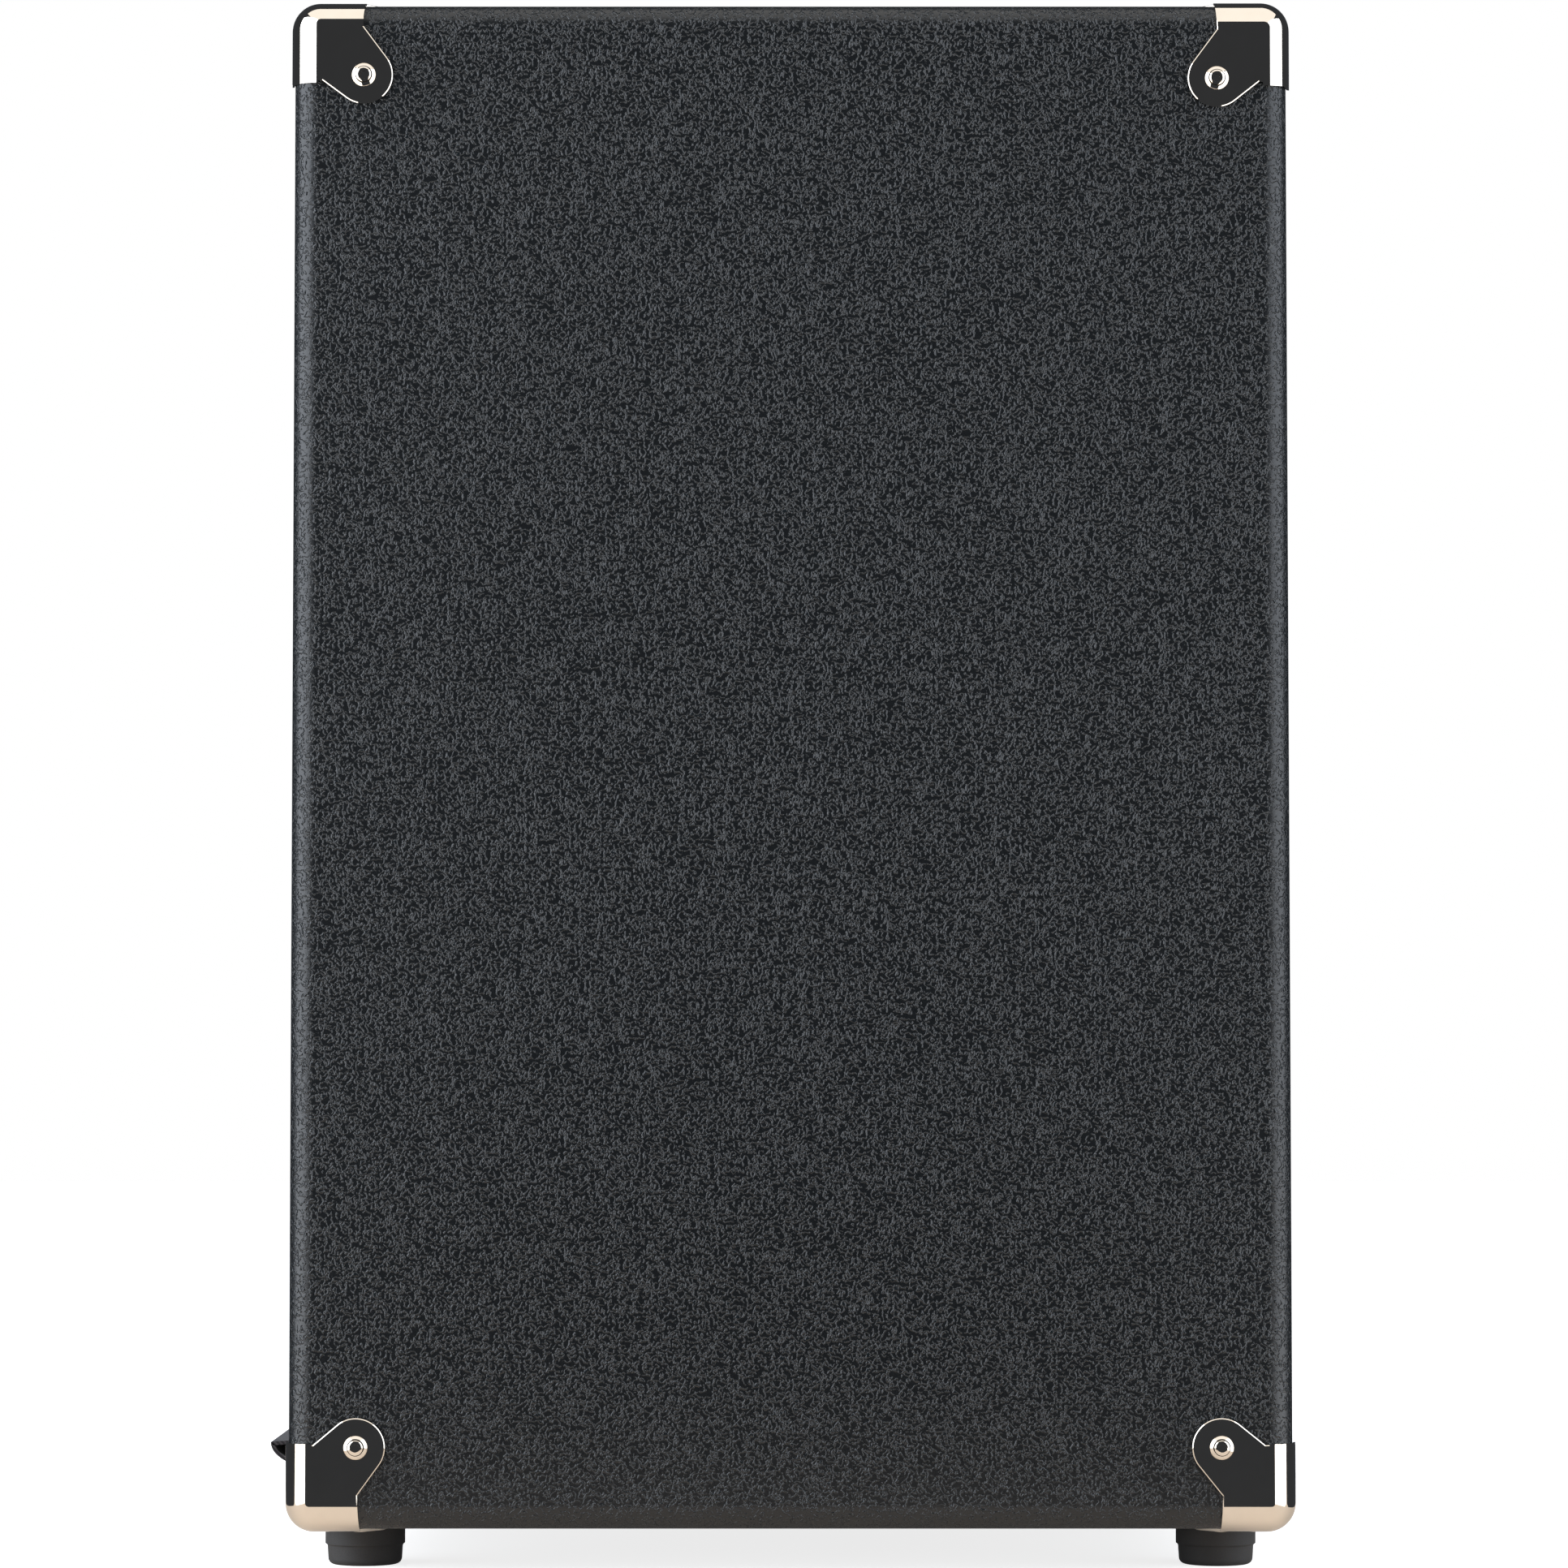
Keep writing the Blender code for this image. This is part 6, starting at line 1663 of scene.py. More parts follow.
@dataclass
class JackSocket:
    """A jack socket: washer, bevelled nut and bush outside, its body behind."""

    node: str
    facing: int
    bush_radius: float = 5.6 * MM
    bore_radius: float = 3.4 * MM
    nut_radius: float = 8.5 * MM
    nut_height: float = 2.6 * MM
    wall: float = 2.0 * MM

    def build(self) -> None:
        """Build the body, the bush and the nut."""
        box = box_of(self.node)
        face = self.facing
        bush_front = box.low.y if face < 0 else box.high.y
        body_end = box.high.y if face < 0 else box.low.y
        outer = bush_front - face * self.nut_height * 1.5
        inner = outer - face * (self.wall + 0.6 * MM)
        place = (box.centre.x, 0.0, box.centre.z)
        half = 9.0 * MM
        outline = rectangle(half, half, 1.2 * MM, 4)
        body = Solid().push(outline, Axis.Y, inner, body_end, place).mesh("jack_body")
        bore_end = body_end + face * 2.0 * MM
        bore = turned("bore", tube(0.0, self.bore_radius, inner + face * MM, bore_end), 48, place)
        mesh = worked(body, bore, Operation.CUT)
        Piece(f"{self.node}_body", "cabinet", (PLASTIC,), (self.node,), sharp=40.0).add(mesh)
        bush = self.bush_radius
        hole = self.bore_radius
        lip = 0.5 * MM
        profile = [(hole, inner - face * MM), (hole, bush_front - face * lip), (hole + lip, bush_front)]
        profile += [(bush - lip, bush_front), (bush, bush_front - face * lip), (bush, inner - face * MM)]
        Piece(f"{self.node}_bush", "cabinet", (NICKEL,)).add(turned("bush", profile, 48, place, joined=True))
        self.build_nut(outer, place)

    def build_nut(self, outer: float, place: Point) -> None:
        """Build the hexagon nut with its corners turned down, and the washer under it.

        Args:
            outer: The depth of the wall's outer face, less the seat's gap.
            place: The socket's axis.
        """
        face = self.facing
        top = outer + face * self.nut_height
        nut = Solid().push(circle(self.nut_radius, 6), Axis.Y, outer + face * 0.5 * MM, top, place)
        wide = self.nut_radius * 1.2
        base = outer - face * MM
        peak = top + face * 0.1 * MM
        profile = [(0.0, base), (wide, base), (wide, top - face * 1.2 * MM)]
        profile += [(self.nut_radius * 0.90, peak), (0.0, peak)]
        nut = worked(nut.mesh("nut"), turned("crown", profile, 72, place), Operation.KEEP)
        bore = self.bush_radius + 0.05 * MM
        hole = Solid().push(circle(bore, 48), Axis.Y, outer - face * 3 * MM, top + face * 3 * MM, place)
        nut = worked(nut, hole.mesh("hole"), Operation.CUT)
        Piece(f"{self.node}_nut", "cabinet", (NICKEL,), sharp=30.0, soften=0.1 * MM).add(nut)
        profile = tube(bore, self.nut_radius * 1.04, outer, outer + face * 0.45 * MM)
        washer = turned("washer", profile, 64, place, joined=True)
        Piece(f"{self.node}_washer", "cabinet", (ZINC,)).add(washer)


@dataclass
class ControlPanel:
    """The front panel with its knobs, buttons, sockets, switch, lamp and printed marks."""

    knob_names: tuple[str, ...] = (
        "gain",
        "drive",
        "bass",
        "low_mid",
        "high_mid",
        "treble",
        "compressor",
        "master",
    )
    tick_inner: float = 14.6 * MM
    tick_outer: float = 16.6 * MM
    tick_width: float = 0.45 * MM
    ink: float = 0.05 * MM
    sweep: float = 150.0

    def build(self) -> None:
        """Build all that the panel carries."""
        dress("control_panel", BRUSHED)
        for name in self.knob_names:
            Knob(f"knob_{name}").build()
        for node in ("pad_button", "mute_button", "bright_button"):
            self.build_button(node)
        JackSocket("input_jack", -1).build()
        JackSocket("headphone_jack", -1).build()
        self.build_switch()
        self.build_lamp()
        self.build_marks()
        self.build_screws()

    def build_button(self, node: str) -> None:
        """Build a push button with a dished cap, and the ring round it."""
        box = box_of(node)
        radius = box.size.x / 2
        panel = box_of("control_panel").low.y
        place = (box.centre.x, 0.0, box.centre.z)
        front = box.low.y
        stem = 1.8 * MM
        profile = [(0.0, front + 0.35 * MM), (radius * 0.5, front + 0.25 * MM), (radius * 0.78, front)]
        profile += [(radius * 0.93, front + 0.15 * MM), (radius, front + 0.7 * MM)]
        profile += [(radius, panel + 2.0 * MM), (stem, panel + 2.0 * MM)]
        profile += [(stem, box.high.y), (0.0, box.high.y)]
        mesh = turned(node, profile, 48, place)
        Piece(f"{node}_cap", node, (PLASTIC,), (node,), sharp=45.0).add(mesh)
        bore = radius + 0.3 * MM
        ring = [(bore, panel), (bore, panel - 0.9 * MM), (bore + 0.3 * MM, panel - 1.2 * MM)]
        ring += [(bore + 1.2 * MM, panel - 1.1 * MM), (bore + 1.7 * MM, panel - 0.6 * MM)]
        ring += [(bore + 1.7 * MM, panel)]
        Piece(f"{node}_ring", "cabinet", (NICKEL,)).add(turned("ring", ring, 56, place, joined=True))

    def build_switch(self) -> None:
        """Build the rocker over its housing, with the two marks moulded on it."""
        dress("power_switch_frame", PLASTIC)
        box = box_of("power_rocker")
        panel = box_of("control_panel").low.y
        pivot = (box.centre.x, panel - 1.6 * MM, box_of("power_switch_frame").centre.z)
        face = 4.2 * MM
        reach = 7.0 * MM
        outline = []
        for step in range(17):
            share = -1 + step / 8
            outline.append((-face * (0.62 + 0.38 * share * share), reach * share))
        outline += [(face * 0.5, reach * 0.8), (face, 0.0), (face * 0.5, -reach * 0.8)]
        half = box.size.x / 2
        tilt = Matrix.Translation(pivot) @ Matrix.Rotation(math.radians(-8.0), 4, "X")
        mesh = Solid().push(outline, Axis.X, -half, half).moved(tilt).mesh("rocker")
        cap = Piece("rocker_cap", "power_rocker", (PLASTIC,), ("power_rocker",), 40.0, 0.35 * MM)
        cap.add(mesh)
        marks = Solid()
        depth = -face * 0.80
        marks.block((-0.3 * MM, depth - 0.15 * MM, 2.6 * MM), (0.3 * MM, depth + 0.6 * MM, 5.0 * MM))
        ring = tube(1.0 * MM, 1.5 * MM, depth - 0.12 * MM, depth + 0.7 * MM)
        marks.turn(ring, Axis.Y, 32, (0.0, 0.0, -3.9 * MM), joined=True)
        Piece("rocker_marks", "power_rocker", (WHITE_FILL,)).add(marks.moved(tilt).mesh("marks"))

    def build_lamp(self) -> None:
        """Build the domed lamp lens in its bright ring."""
        box = box_of("power_lamp")
        panel = box_of("control_panel").low.y
        place = (box.centre.x, 0.0, box.centre.z)
        radius = 3.0 * MM
        seat = panel - 0.3 * MM
        front = box.low.y
        dome = seat - 0.6 * MM - front
        base = seat - 0.6 * MM
        profile = [(radius * math.sin(a), base - dome * math.cos(a)) for a in angles(math.pi / 2, 8)]
        profile += [(radius, box.high.y), (0.0, box.high.y)]
        Piece("lamp_lens", "cabinet", (LENS,), ("power_lamp",)).add(turned("lens", profile, 48, place))
        rim = radius + 1.2 * MM
        ring = [(radius + 0.05 * MM, seat), (radius + 0.05 * MM, seat - 0.5 * MM)]
        ring.append((radius + 0.4 * MM, seat - 0.9 * MM))
        ring += [(rim - 0.2 * MM, seat - 0.7 * MM), (rim, seat - 0.3 * MM), (rim, seat)]
        Piece("lamp_ring", "cabinet", (NICKEL,)).add(turned("lamp_ring", ring, 56, place, joined=True))

    def build_marks(self) -> None:
        """Build the dials' ticks and numbers, and the two words at the power switch."""
        panel = box_of("control_panel").low.y
        marks = Solid()
        half = self.tick_width / 2
        for name in self.knob_names:
            centre = box_of(f"knob_{name}").centre
            for step in range(11):
                angle = math.radians(-self.sweep + 2 * self.sweep * step / 10)
                long = self.tick_outer if step % 5 else self.tick_outer + 0.8 * MM
                block = Solid().block((-half, -self.ink, self.tick_inner), (half, 0.0, long))
                matrix = Matrix.Translation((centre.x, panel, centre.z)) @ Matrix.Rotation(angle, 4, "Y")
                marks.add_copy(block.moved(matrix).mesh("tick"), Matrix.Identity(4))
                if step % 2 == 0:
                    far = self.tick_outer + 2.9 * MM
                    spot = (centre.x + far * math.sin(angle), panel, centre.z + far * math.cos(angle))
                    self.write(marks, str(step), spot, 3.0 * MM)
        switch = box_of("power_switch_frame")
        for word, height in (("ON", switch.high.z + 3.4 * MM), ("OFF", switch.low.z - 3.4 * MM)):
            self.write(marks, word, (switch.centre.x, panel, height), 3.2 * MM)
        Piece("panel_print", "cabinet", (INK,)).add(marks.mesh("panel_print"))

    def write(self, marks: Solid, words: str, place: Point, size: float) -> None:
        """Add raised print to the panel.

        Args:
            marks: The solid that takes it.
            words: What is printed.
            place: The middle of the words.
            size: The height of the letters' body.
        """
        text = bpy.data.curves.new("print", "FONT")
        text.body = words
        text.size = size
        text.align_x = "CENTER"
        text.align_y = "CENTER"
        text.extrude = self.ink / 2
        text.resolution_u = 3
        item = placed("print", text)
        graph = bpy.context.evaluated_depsgraph_get()
        mesh = bpy.data.meshes.new_from_object(item.evaluated_get(graph))
        upright = Matrix.Rotation(math.pi / 2, 4, "X") @ Matrix.Translation((0, 0, self.ink / 2))
        marks.add_copy(mesh, Matrix.Translation(place) @ upright)
        bpy.data.objects.remove(item)

    def build_screws(self) -> None:
        """Build the screws at the panel's corners and along its edges."""
        spots = edge_spots(box_of("control_panel"), -1, 6.0 * MM, (0.0, 0.34, 0.66, 1.0))
        head = ScrewHead(3.1 * MM, 0.4 * MM, 1.9 * MM, 1.5 * MM, Recess.CROSS)
        screws("panel_screws", head, SCREW, spots)


# The rear and the inside


@dataclass
class RearSockets:
    """The chassis with its mains inlet, line socket and speaker socket."""

    shell_radius: float = 11.5 * MM
    well_radius: float = 8.5 * MM
    depth: float = 22.0 * MM

    def build(self) -> None:
        """Build the sockets, and dress the chassis and what it holds."""
        dress("amp_chassis", ZINC)
        dress("mains_inlet", PLASTIC)
        dress("heat_sink", ANODISED)
        for node in ("preamp_board", "power_board", "crossover_board"):
            dress(node, BOARD)
        JackSocket("speaker_out_jack", 1, wall=1.5 * MM).build()
        self.build_line_out()
        self.build_transformer()
        self.build_screws()

    def build_line_out(self) -> None:
        """Build the three pin line socket: flange, shell, insert and pins."""
        box = box_of("line_out_socket")
        place = (box.centre.x, 0.0, box.centre.z)
        front = box.high.y
        seat = front - 2.5 * MM
        outline = rectangle(box.size.x / 2, box.size.z / 2, 2.0 * MM, 6)
        flange = Solid().push(outline, Axis.Y, seat, front, place).mesh("flange")
        shell = turned("shell", tube(0.0, self.shell_radius, box.low.y, front - MM), 64, place)
        body = worked(flange, shell, Operation.JOIN)
        floor = box.low.y + 2.0 * MM
        well = self.well_radius
        profile = [(0.0, floor), (well, floor), (well, front - 0.6 * MM)]
        profile += [(well + 0.8 * MM, front + MM), (0.0, front + MM)]
        body = worked(body, turned("well", profile, 64, place), Operation.CUT)
        Piece("line_out_shell", "cabinet", (NICKEL,), ("line_out_socket",), soften=0.15 * MM).add(body)
        insert = tube(0.0, well - 0.1 * MM, floor, floor + 2.0 * MM)
        Piece("line_out_insert", "cabinet", (PLASTIC,)).add(turned("insert", insert, 48, place))
        pins = Solid()
        for step in range(3):
            angle = math.radians(90 + 120 * step)
            spot = (place[0] + well * 0.48 * math.cos(angle), 0.0, place[2] + well * 0.48 * math.sin(angle))
            tip = front - 5.0 * MM
            pin = [(0.0, floor), (1.0 * MM, floor), (1.0 * MM, tip - 0.8 * MM), (0.5 * MM, tip), (0.0, tip)]
            pins.turn(pin, Axis.Y, 20, spot)
        Piece("line_out_pins", "cabinet", (NICKEL,)).add(pins.mesh("pins"))

    def build_transformer(self) -> None:
        """Build the ring transformer, rounded and wound with tape."""
        box = box_of("mains_transformer")
        outer = box.size.x / 2
        hole = 14.0 * MM
        half = box.size.z / 2
        edge = half * 0.5
        profile = filleted(tube(hole, outer, -half, half), [edge / 2, edge, edge, edge / 2], 6)
        mesh = Solid().turn(profile, Axis.Z, 88, joined=True).mesh("transformer")
        centre = tuple(box.centre)
        Piece("transformer_winding", "cabinet", (TAPE,), ("mains_transformer",), place=centre).add(mesh)

    def build_screws(self) -> None:
        """Build the screws at the sockets' flanges and along the chassis."""
        spots = []
        for node, across, down in (("mains_inlet", 19.5 * MM, 0.0), ("line_out_socket", 9.8 * MM, 12.0 * MM)):
            box = box_of(node)
            for side in (-1, 1):
                place = (box.centre.x + side * across, box.high.y, box.centre.z - side * down)
                spots.append(((0, 1, 0), place))
        head = ScrewHead(2.6 * MM, 0.35 * MM, 1.7 * MM, 1.3 * MM, Recess.CROSS)
        screws("socket_screws", head, SCREW, spots)
        chassis = box_of("amp_chassis")
        spots = []
        for z in (chassis.low.z + 7 * MM, chassis.high.z - 7 * MM):
            for share in (0.02, 0.5, 0.98):
                spots.append(((0, 1, 0), (chassis.low.x + chassis.size.x * share, chassis.high.y, z)))
        head = ScrewHead(3.6 * MM, 0.5 * MM, 2.2 * MM, 1.7 * MM, Recess.CROSS)
        screws("chassis_screws", head, SCREW, spots)


@dataclass
class Loudspeakers:
    """The woofer, the horn and the two ports."""

    sides: int = 96

    def build(self) -> None:
        """Build what shows of the loudspeakers, and dress the rest."""
        dress("woofer_frame", BASKET)
        dress("woofer_magnet", FERRITE)
        dress("horn_driver", ZINC)
        self.build_cone()
        self.build_surround()
        self.build_spider()
        self.build_horn()
        self.build_ports()
        self.build_screws()

    def axis(self) -> Point:
        """Give the woofer's axis on the baffle's front face."""
        box = box_of("woofer_frame")
        return (box.centre.x, box_of("baffle_board").low.y, box.centre.z)

    def build_cone(self) -> None:
        """Build the cone, its dust cap and the coil former behind it."""
        box = box_of("woofer_cone")
        edge = box.size.x / 2
        front = -2.5 * MM
        wall = 1.2 * MM
        coil = 38.0 * MM
        inner = coil - 0.8 * MM
        neck = front + 58.0 * MM
        back = box.high.y - self.axis()[1]
        cap = 54.0 * MM
        slope = (neck - front) / (edge - coil)
        through = wall * math.hypot(1.0, slope)

        def face(radius: float) -> float:
            """Give the depth of the cone's front face at a radius."""
            share = (radius - coil) / (edge - coil)
            ring = 0.35 * MM if 0.52 < share < 0.56 or 0.76 < share < 0.80 else 0.0
            return neck - (radius - coil) * slope + 3.6 * MM * math.sin(math.pi * share) - ring

        rise = 17.0 * MM
        profile = [(cap * math.sin(a), face(cap) - rise * math.cos(a)) for a in angles(math.pi / 2, 14)]
        profile.append((cap + 1.5 * MM, face(cap + 1.5 * MM) - 0.6 * MM))
        for step in range(1, 41):
            radius = cap + 2.4 * MM + (edge - cap - 2.4 * MM) * step / 40
            profile.append((radius, face(radius)))
        for step in range(13):
            radius = edge + (coil - edge) * step / 12
            profile.append((radius, face(radius) + through))
        profile += [(coil, back), (inner, back), (inner, face(coil) - wall)]
        for step in range(1, 6):
            radius = inner * (1 - step / 5)
            profile.append((radius, face(cap) - rise * math.cos(math.asin(radius / cap)) + wall))
        mesh = turned("paper_cone", profile, self.sides, self.axis())
        Piece("paper_cone", "woofer_cone", (PAPER,), ("woofer_cone",), sharp=50.0).add(mesh)

    def build_surround(self) -> None:
        """Build the half roll of foam between the cone and the basket."""
        seat = -2.8 * MM
        thick = 1.0 * MM
        cone = box_of("woofer_cone").size.x / 2
        box = box_of("woofer_surround")
        outer = box.size.x / 2
        tall = abs(box.low.y - self.axis()[1]) - abs(seat) - thick
        roll_inner = cone + 0.3 * MM
        roll_outer = roll_inner + 2 * tall + 0.4 * MM
        middle = (roll_inner + roll_outer) / 2
        big = (roll_outer - roll_inner) / 2
        turns = angles(math.pi, 16)
        profile = [(middle - big * math.cos(a), seat - thick - tall * math.sin(a)) for a in turns]
        profile += [(outer, seat - thick), (outer, seat)]
        small, under = big - thick, tall - thick * 0.2
        profile += [(middle + small * math.cos(a), seat - under * math.sin(a)) for a in turns]
        mesh = turned("foam_surround", profile, self.sides, self.axis(), joined=True)
        Piece("foam_surround", "cabinet", (FOAM,), ("woofer_surround",), sharp=50.0).add(mesh)
        inner = cone - 6.0 * MM
        profile = [(inner, seat), (inner, seat - thick), (cone, seat - thick), (cone, seat)]
        lip = turned("foam_lip", profile, self.sides, self.axis(), joined=True)
        Piece("foam_lip", "woofer_cone", (FOAM,), sharp=50.0).add(lip)

    def build_spider(self) -> None:
        """Build the corrugated cloth that centres the coil."""
        box = box_of("woofer_spider")
        axis = self.axis()
        outer = box.size.x / 2
        inner = 38.6 * MM
        level = box.high.y - axis[1] - 0.8 * MM
        waves = 5
        points = [(inner, level)]
        for step in range(61):
            share = step / 60
            radius = inner + 3 * MM + (outer - inner - 8 * MM) * share
            points.append((radius, level - 1.5 * MM * (1 - math.cos(2 * math.pi * waves * share))))
        points.append((outer, level))
        profile = points + [(radius, depth + 0.8 * MM) for radius, depth in points[::-1]]
        mesh = turned("spider", profile, self.sides, axis, joined=True)
        Piece("cloth_spider", "cabinet", (SPIDER_CLOTH,), ("woofer_spider",), sharp=60.0).add(mesh)

    def oval(self, half_width: float, half_height: float, power: float, level: float) -> Ring:
        """Give a ring between an ellipse, at power 2, and a rounded rectangle."""
        box = box_of("horn_flare")
        ring = []
        for index in range(80):
            angle = 2 * math.pi * (index + 0.5) / 80
            across = math.copysign(abs(math.cos(angle)) ** (2 / power), math.cos(angle))
            up = math.copysign(abs(math.sin(angle)) ** (2 / power), math.sin(angle))
            ring.append((box.centre.x + half_width * across, level, box.centre.z + half_height * up))
        return ring

    def build_horn(self) -> None:
        """Build the horn's flange and flare down to its throat."""
        box = box_of("horn_flare")
        face = box.low.y
        back = box.high.y
        under = face + 3.0 * MM
        mouth_width = box.size.x / 2 - 12.0 * MM
        mouth_height = box.size.z / 2 - 6.0 * MM
        throat = 12.5 * MM
        wall = 2.5 * MM

        def section(share: float, skin: float) -> Ring:
            """Give the flare's section at a share of its depth."""
            width = throat * (mouth_width / throat) ** (1 - share)
            height = throat * (mouth_height / throat) ** (1 - share)
            level = face + (back - face) * share
            return self.oval(width + skin, height + skin / 2 * (1 + share), 6 - 4 * share, level)

        steps = 20
        lip = 1.4 * MM
        rings = [self.oval(mouth_width + lip, mouth_height + lip, 6, face)]
        rings += [self.oval(mouth_width + 0.3 * lip, mouth_height + 0.3 * lip, 6, face + 0.5 * MM)]
        rings += [section(step / steps, 0.0) for step in range(1, steps + 1)]
        plate = back - 5.0 * MM
        rings += [self.oval(27 * MM, 27 * MM, 2, back), self.oval(27 * MM, 27 * MM, 2, plate)]
        rings += [self.oval(throat + 2 * wall, throat + 2 * wall, 2, plate)]
        shares = [step / steps for step in range(steps - 2, 0, -1)]
        rings += [section(share, wall) for share in shares if face + (back - face) * share > under + MM]
        shell = section(0, wall)
        rings.append([(x, under, z) for x, _, z in shell])
        width, height = box.size.x / 2, box.size.z / 2
        rings.append(self.oval(width, height, 14, under))
        rings.append(self.oval(width, height, 14, face + 0.8 * MM))
        rings.append(self.oval(width - 0.8 * MM, height - 0.8 * MM, 14, face))
        mesh = Solid().skin(rings, joined=True).mesh("horn")
        Piece("moulded_horn", "cabinet", (PLASTIC,), ("horn_flare",), sharp=40.0).add(mesh)

    def build_ports(self) -> None:
        """Build the two flared port tubes."""
        for hand in ("left", "right"):
            node = f"port_tube_{hand}"
            box = box_of(node)
            inner = 34.0 * MM
            outer = inner + 2.5 * MM
            lip = box.size.x / 2
            back = box.high.y
            seat = back - 2.5 * MM
            flare = 11.0 * MM
            profile = [(inner, box.low.y)]
            for angle in angles(math.pi / 2, 12):
                radius = inner + flare * 0.75 * (1 - math.cos(angle))
                profile.append((radius, back - flare * (1 - math.sin(angle))))
            profile += [(lip - 0.8 * MM, back), (lip, back - 0.8 * MM), (lip, seat), (outer, seat)]
            profile.append((outer, box.low.y))
            mesh = turned(node, profile, 88, (box.centre.x, 0.0, box.centre.z), joined=True)
            Piece(f"{node}_liner", "cabinet", (PLASTIC,), (node,), sharp=40.0).add(mesh)

    def build_screws(self) -> None:
        """Build the screws of the woofer's and the horn's flanges."""
        axis = self.axis()
        frame_box = box_of("woofer_frame")
        radius = frame_box.size.x / 2 - 7.0 * MM
        spots = []
        for step in range(8):
            angle = math.radians(22.5 + 45 * step)
            x, z = axis[0] + radius * math.cos(angle), axis[2] + radius * math.sin(angle)
            spots.append(((0, -1, 0), (x, frame_box.low.y, z)))
        horn = box_of("horn_flare")
        for x in (horn.low.x + 6.0 * MM, horn.high.x - 6.0 * MM):
            for z in (horn.low.z + 6.0 * MM, horn.high.z - 6.0 * MM):
                spots.append(((0, -1, 0), (x, horn.low.y, z)))
        head = ScrewHead(3.4 * MM, 0.5 * MM, 2.1 * MM, 1.7 * MM, Recess.CROSS)
        screws("loudspeaker_screws", head, SCREW, spots)


# Light, floor and camera


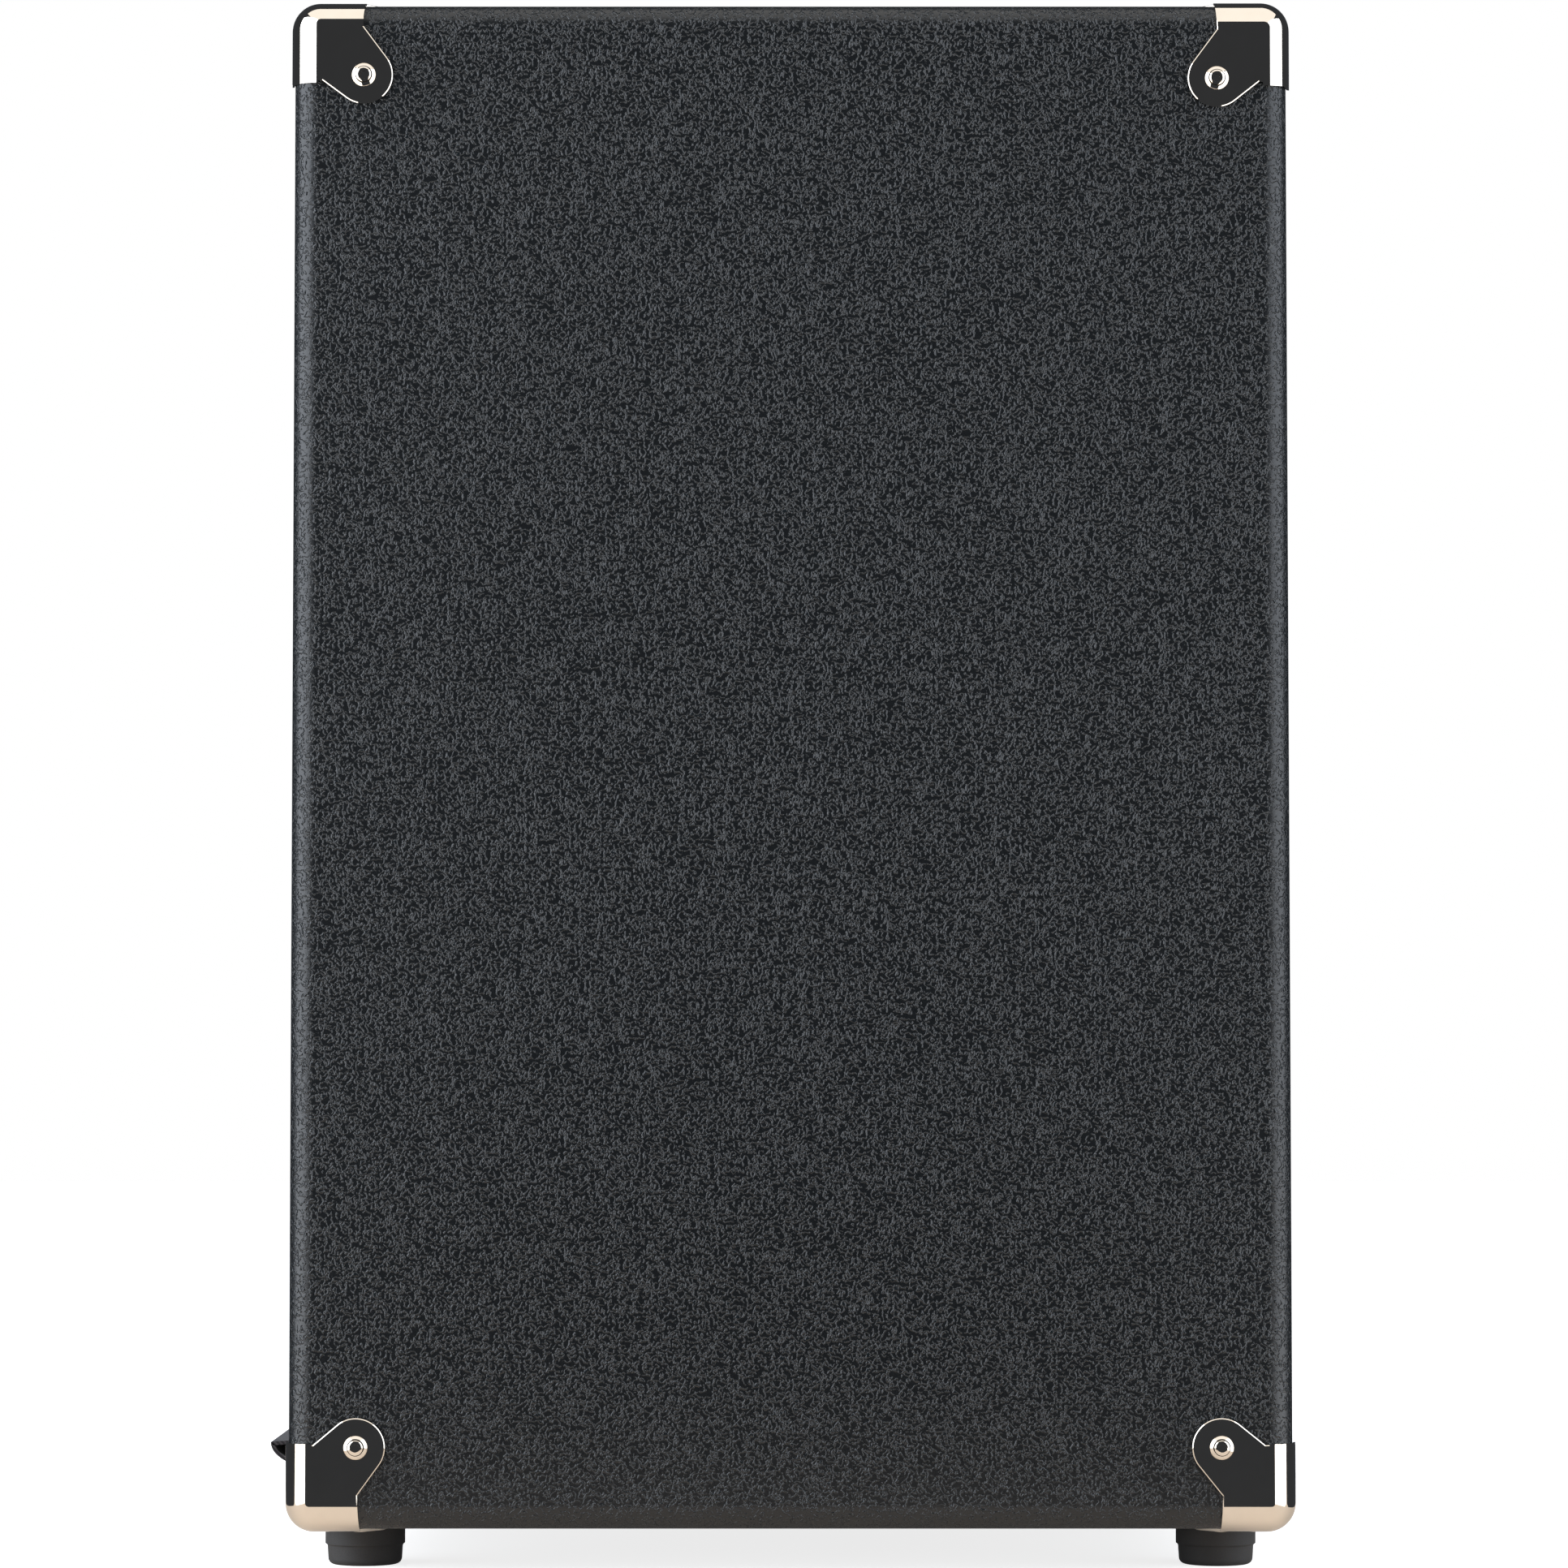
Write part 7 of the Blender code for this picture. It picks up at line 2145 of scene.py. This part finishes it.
@dataclass
class Studio:
    """A plain pale studio: floor, soft lamps at the sides and above, and the camera."""

    camera_place: Point = (2.355, 0.0101, 0.199)
    camera_pitch: float = 3.06
    lens: float = 121.85
    floor_size: float = 14.0
    fill: float = 0.15
    floor_tone: str = "#F4F4F4"
    floor_cast: str = "#E4D3C2"
    floor_glow: float = 0.80
    mirrored_glow: float = 0.12
    aim_height: float = 0.32
    lamp_distance: float = 2.6
    side_lamp_angle: float = 65.0
    side_lamp_height: float = 1.1
    side_lamp_size: Pair = (3.0, 2.9)
    side_lamp_tone: str = "#EEF5FF"
    front_radiance: float = 4.6
    back_radiance: float = 3.0
    above_lamp_angle: float = 75.0
    above_lamp_size: Pair = (4.6, 2.6)
    above_lamp_tone: str = "#FFFCF8"
    above_radiance: float = 1.40
    drape_tone: str = "#393C41"
    drape_distance: float = 4.5
    mat_near: float = 0.44
    mat_half_width: float = 0.28
    mat_side: float = 0.24
    mat_beside: float = 0.30
    mat_level: float = 0.004
    card_level: float = 0.003

    def build(self) -> None:
        """Build the studio."""
        bpy.context.scene.view_settings.view_transform = "Standard"
        self.build_world()
        self.build_floor()
        self.build_lamps()
        self.build_flags()
        self.build_cards()
        self.build_camera()

    def build_world(self) -> None:
        """Make a white surround for the camera and for reflections, and a soft fill for the rest."""
        world = bpy.data.worlds.new("studio")
        bpy.context.scene.world = world
        world.use_nodes = True
        tree = world.node_tree
        background = tree.nodes["Background"]
        path = add_node(tree, "ShaderNodeLightPath").outputs
        seen = maths(tree, "MAXIMUM", path["Is Camera Ray"], path["Is Glossy Ray"])
        seen = maths(tree, "MAXIMUM", seen, path["Is Transmission Ray"])
        power = add_node(tree, "ShaderNodeMapRange", {"Value": seen, "To Min": self.fill, "To Max": 1.0})
        background.inputs["Color"].default_value = (1.0, 1.0, 1.0, 1.0)
        tree.links.new(power.outputs[0], background.inputs["Strength"])

    def build_floor(self) -> None:
        """Build the pale floor, which keeps the object's shadow."""
        half = self.floor_size / 2
        mesh = bpy.data.meshes.new("floor")
        mesh.from_pydata([(x, y, 0.0) for x, y in tube(-half, half, -half, half)], [], [(0, 1, 2, 3)])
        floor = placed("floor", mesh)
        made, shader = blank_material("pale_floor")
        tree = made.node_tree
        shader.inputs["Roughness"].default_value = 0.9
        path = add_node(tree, "ShaderNodeLightPath").outputs
        tones = {0: path["Is Camera Ray"], 6: linear(self.floor_cast), 7: linear(self.floor_tone)}
        tone = add_node(tree, "ShaderNodeMix", tones, data_type="RGBA")
        tree.links.new(tone.outputs[2], shader.inputs["Base Color"])
        mirrored = maths(tree, "MULTIPLY", path["Is Glossy Ray"], self.mirrored_glow)
        glow = maths(tree, "MULTIPLY_ADD", path["Is Camera Ray"], self.floor_glow, mirrored)
        shader.inputs["Emission Color"].default_value = (1.0, 1.0, 1.0, 1.0)
        tree.links.new(glow, shader.inputs["Emission Strength"])
        mesh.materials.append(made)

    def lamp(self, name: str, place: Point, size: Pair, radiance: float, colour: str) -> None:
        """Add a soft lamp that faces the object.

        Args:
            name: The lamp's name.
            place: Where it stands.
            size: Its width and height.
            radiance: How bright its face is, where 1 is white.
            colour: Its colour.
        """
        data = bpy.data.lights.new(name, "AREA")
        data.shape = "RECTANGLE"
        data.size, data.size_y = size
        data.energy = radiance * math.pi * size[0] * size[1]
        data.color = linear(colour)[:3]
        lamp = placed(name, data)
        lamp.location = place
        aim = Vector((0.0, 0.0, self.aim_height)) - Vector(place)
        lamp.rotation_euler = aim.to_track_quat("-Z", "Y").to_euler()
        lamp.visible_camera = False

    def build_lamps(self) -> None:
        """Build the two side lamps, of which the front one is brighter, and the one overhead."""
        reach = self.lamp_distance
        sides = (("lamp_front_side", -1, self.front_radiance), ("lamp_back_side", 1, self.back_radiance))
        for name, side, radiance in sides:
            angle = math.radians(self.side_lamp_angle)
            place = (reach * math.cos(angle), side * reach * math.sin(angle), self.side_lamp_height)
            self.lamp(name, place, self.side_lamp_size, radiance, self.side_lamp_tone)
        angle = math.radians(self.above_lamp_angle)
        place = (reach * math.cos(angle), 0.0, self.aim_height + reach * math.sin(angle))
        self.lamp("lamp_above", place, self.above_lamp_size, self.above_radiance, self.above_lamp_tone)

    def glowing(self, name: str, colour: str, strength: float, reflects: bool) -> bpy.types.Material:
        """Make a material of one even glow, which also gives back the lamps' light if it reflects."""
        made, shader = blank_material(name)
        if not reflects:
            shader.inputs["Base Color"].default_value = (0.0, 0.0, 0.0, 1.0)
            shader.inputs["Specular IOR Level"].default_value = 0.0
        shader.inputs["Emission Color"].default_value = linear(colour)
        shader.inputs["Emission Strength"].default_value = strength
        return made

    def card(
        self,
        name: str,
        points: Sequence[Point],
        faces: Sequence[tuple[int, ...]],
        made: bpy.types.Material,
    ) -> None:
        """Stage flat faces that only reflections see.

        Args:
            name: The card's name.
            points: The faces' corners.
            faces: The corners of each face, by number.
            made: The faces' material.
        """
        mesh = bpy.data.meshes.new(name)
        mesh.from_pydata(points, [], faces)
        mesh.materials.append(made)
        card = placed(name, mesh)
        card.visible_camera = False
        card.visible_diffuse = False
        card.visible_shadow = False
        card.visible_transmission = False

    def build_flags(self) -> None:
        """Build the dark drapes and floor mats, each of one even tone."""
        made = self.glowing("black_drape", self.drape_tone, 1.0, reflects=False)
        far = self.drape_distance
        walls = [(far, -far), (far, far), (-far, far), (-far, -far)]
        low = [(x, y, 0.02) for x, y in walls]
        high = [(x, y, far) for x, y in walls]
        sides = [(i, (i + 1) % 4, 4 + (i + 1) % 4, 4 + i) for i in range(4)]
        near, wide = self.mat_near, self.mat_half_width
        spread = wide + (far - near) * math.tan(math.radians(25))
        mats = [(near, -wide), (far, -spread), (far, spread), (near, wide)]
        for side in (-1, 1):
            beside = side * self.mat_beside
            mats += [(-far, beside), (self.mat_side, beside), (self.mat_side - 0.2, side * far)]
            mats.append((-far, side * far))
        mat = [(x, y, self.mat_level) for x, y in mats]
        self.card("drapes", low + high, [*sides, (4, 5, 6, 7)], made)
        self.card("floor_mats", mat, [(0, 1, 2, 3), (4, 5, 6, 7), (8, 9, 10, 11)], made)

    def build_cards(self) -> None:
        """Build the two white cards on the floor that the lowest upright rounds mirror."""
        made = self.glowing("white_card", "#FFFFFF", 1.8, reflects=True)
        far, up = self.drape_distance, self.card_level
        points, faces = [], []
        for side in (-1, 1):
            near, edge = self.mat_beside, self.mat_side
            first = len(points)
            points += [(edge + 0.03, side * near, up), (0.62, side * near, up)]
            points += [(far * 0.7, side * far * 0.6, up), (edge - 0.14, side * far * 0.6, up)]
            faces.append(tuple(range(first, first + 4)))
        self.card("white_cards", points, faces, made)

    def build_camera(self) -> None:
        """Build the camera at the photograph's viewpoint, looking along -X."""
        data = bpy.data.cameras.new("camera")
        data.lens = self.lens
        data.sensor_width = 36.0
        camera = placed("camera", data)
        camera.location = self.camera_place
        camera.rotation_euler = (math.radians(90 + self.camera_pitch), 0.0, math.radians(90))
        bpy.context.scene.camera = camera


def main() -> None:
    """Build the amplifier's looks, sub-assembly by sub-assembly."""
    logging.basicConfig(level=logging.INFO, format="%(name)s: %(message)s")
    Studio().build()
    CabinetShell().build()
    CornerSet().build()
    for end in ("front", "back"):
        for hand in ("left", "right"):
            Foot(f"foot_{end}_{hand}").build()
    Grille().build()
    StrapHandle().build()
    ControlPanel().build()
    RearSockets().build()
    Loudspeakers().build()


if __name__ == "__main__":
    main()
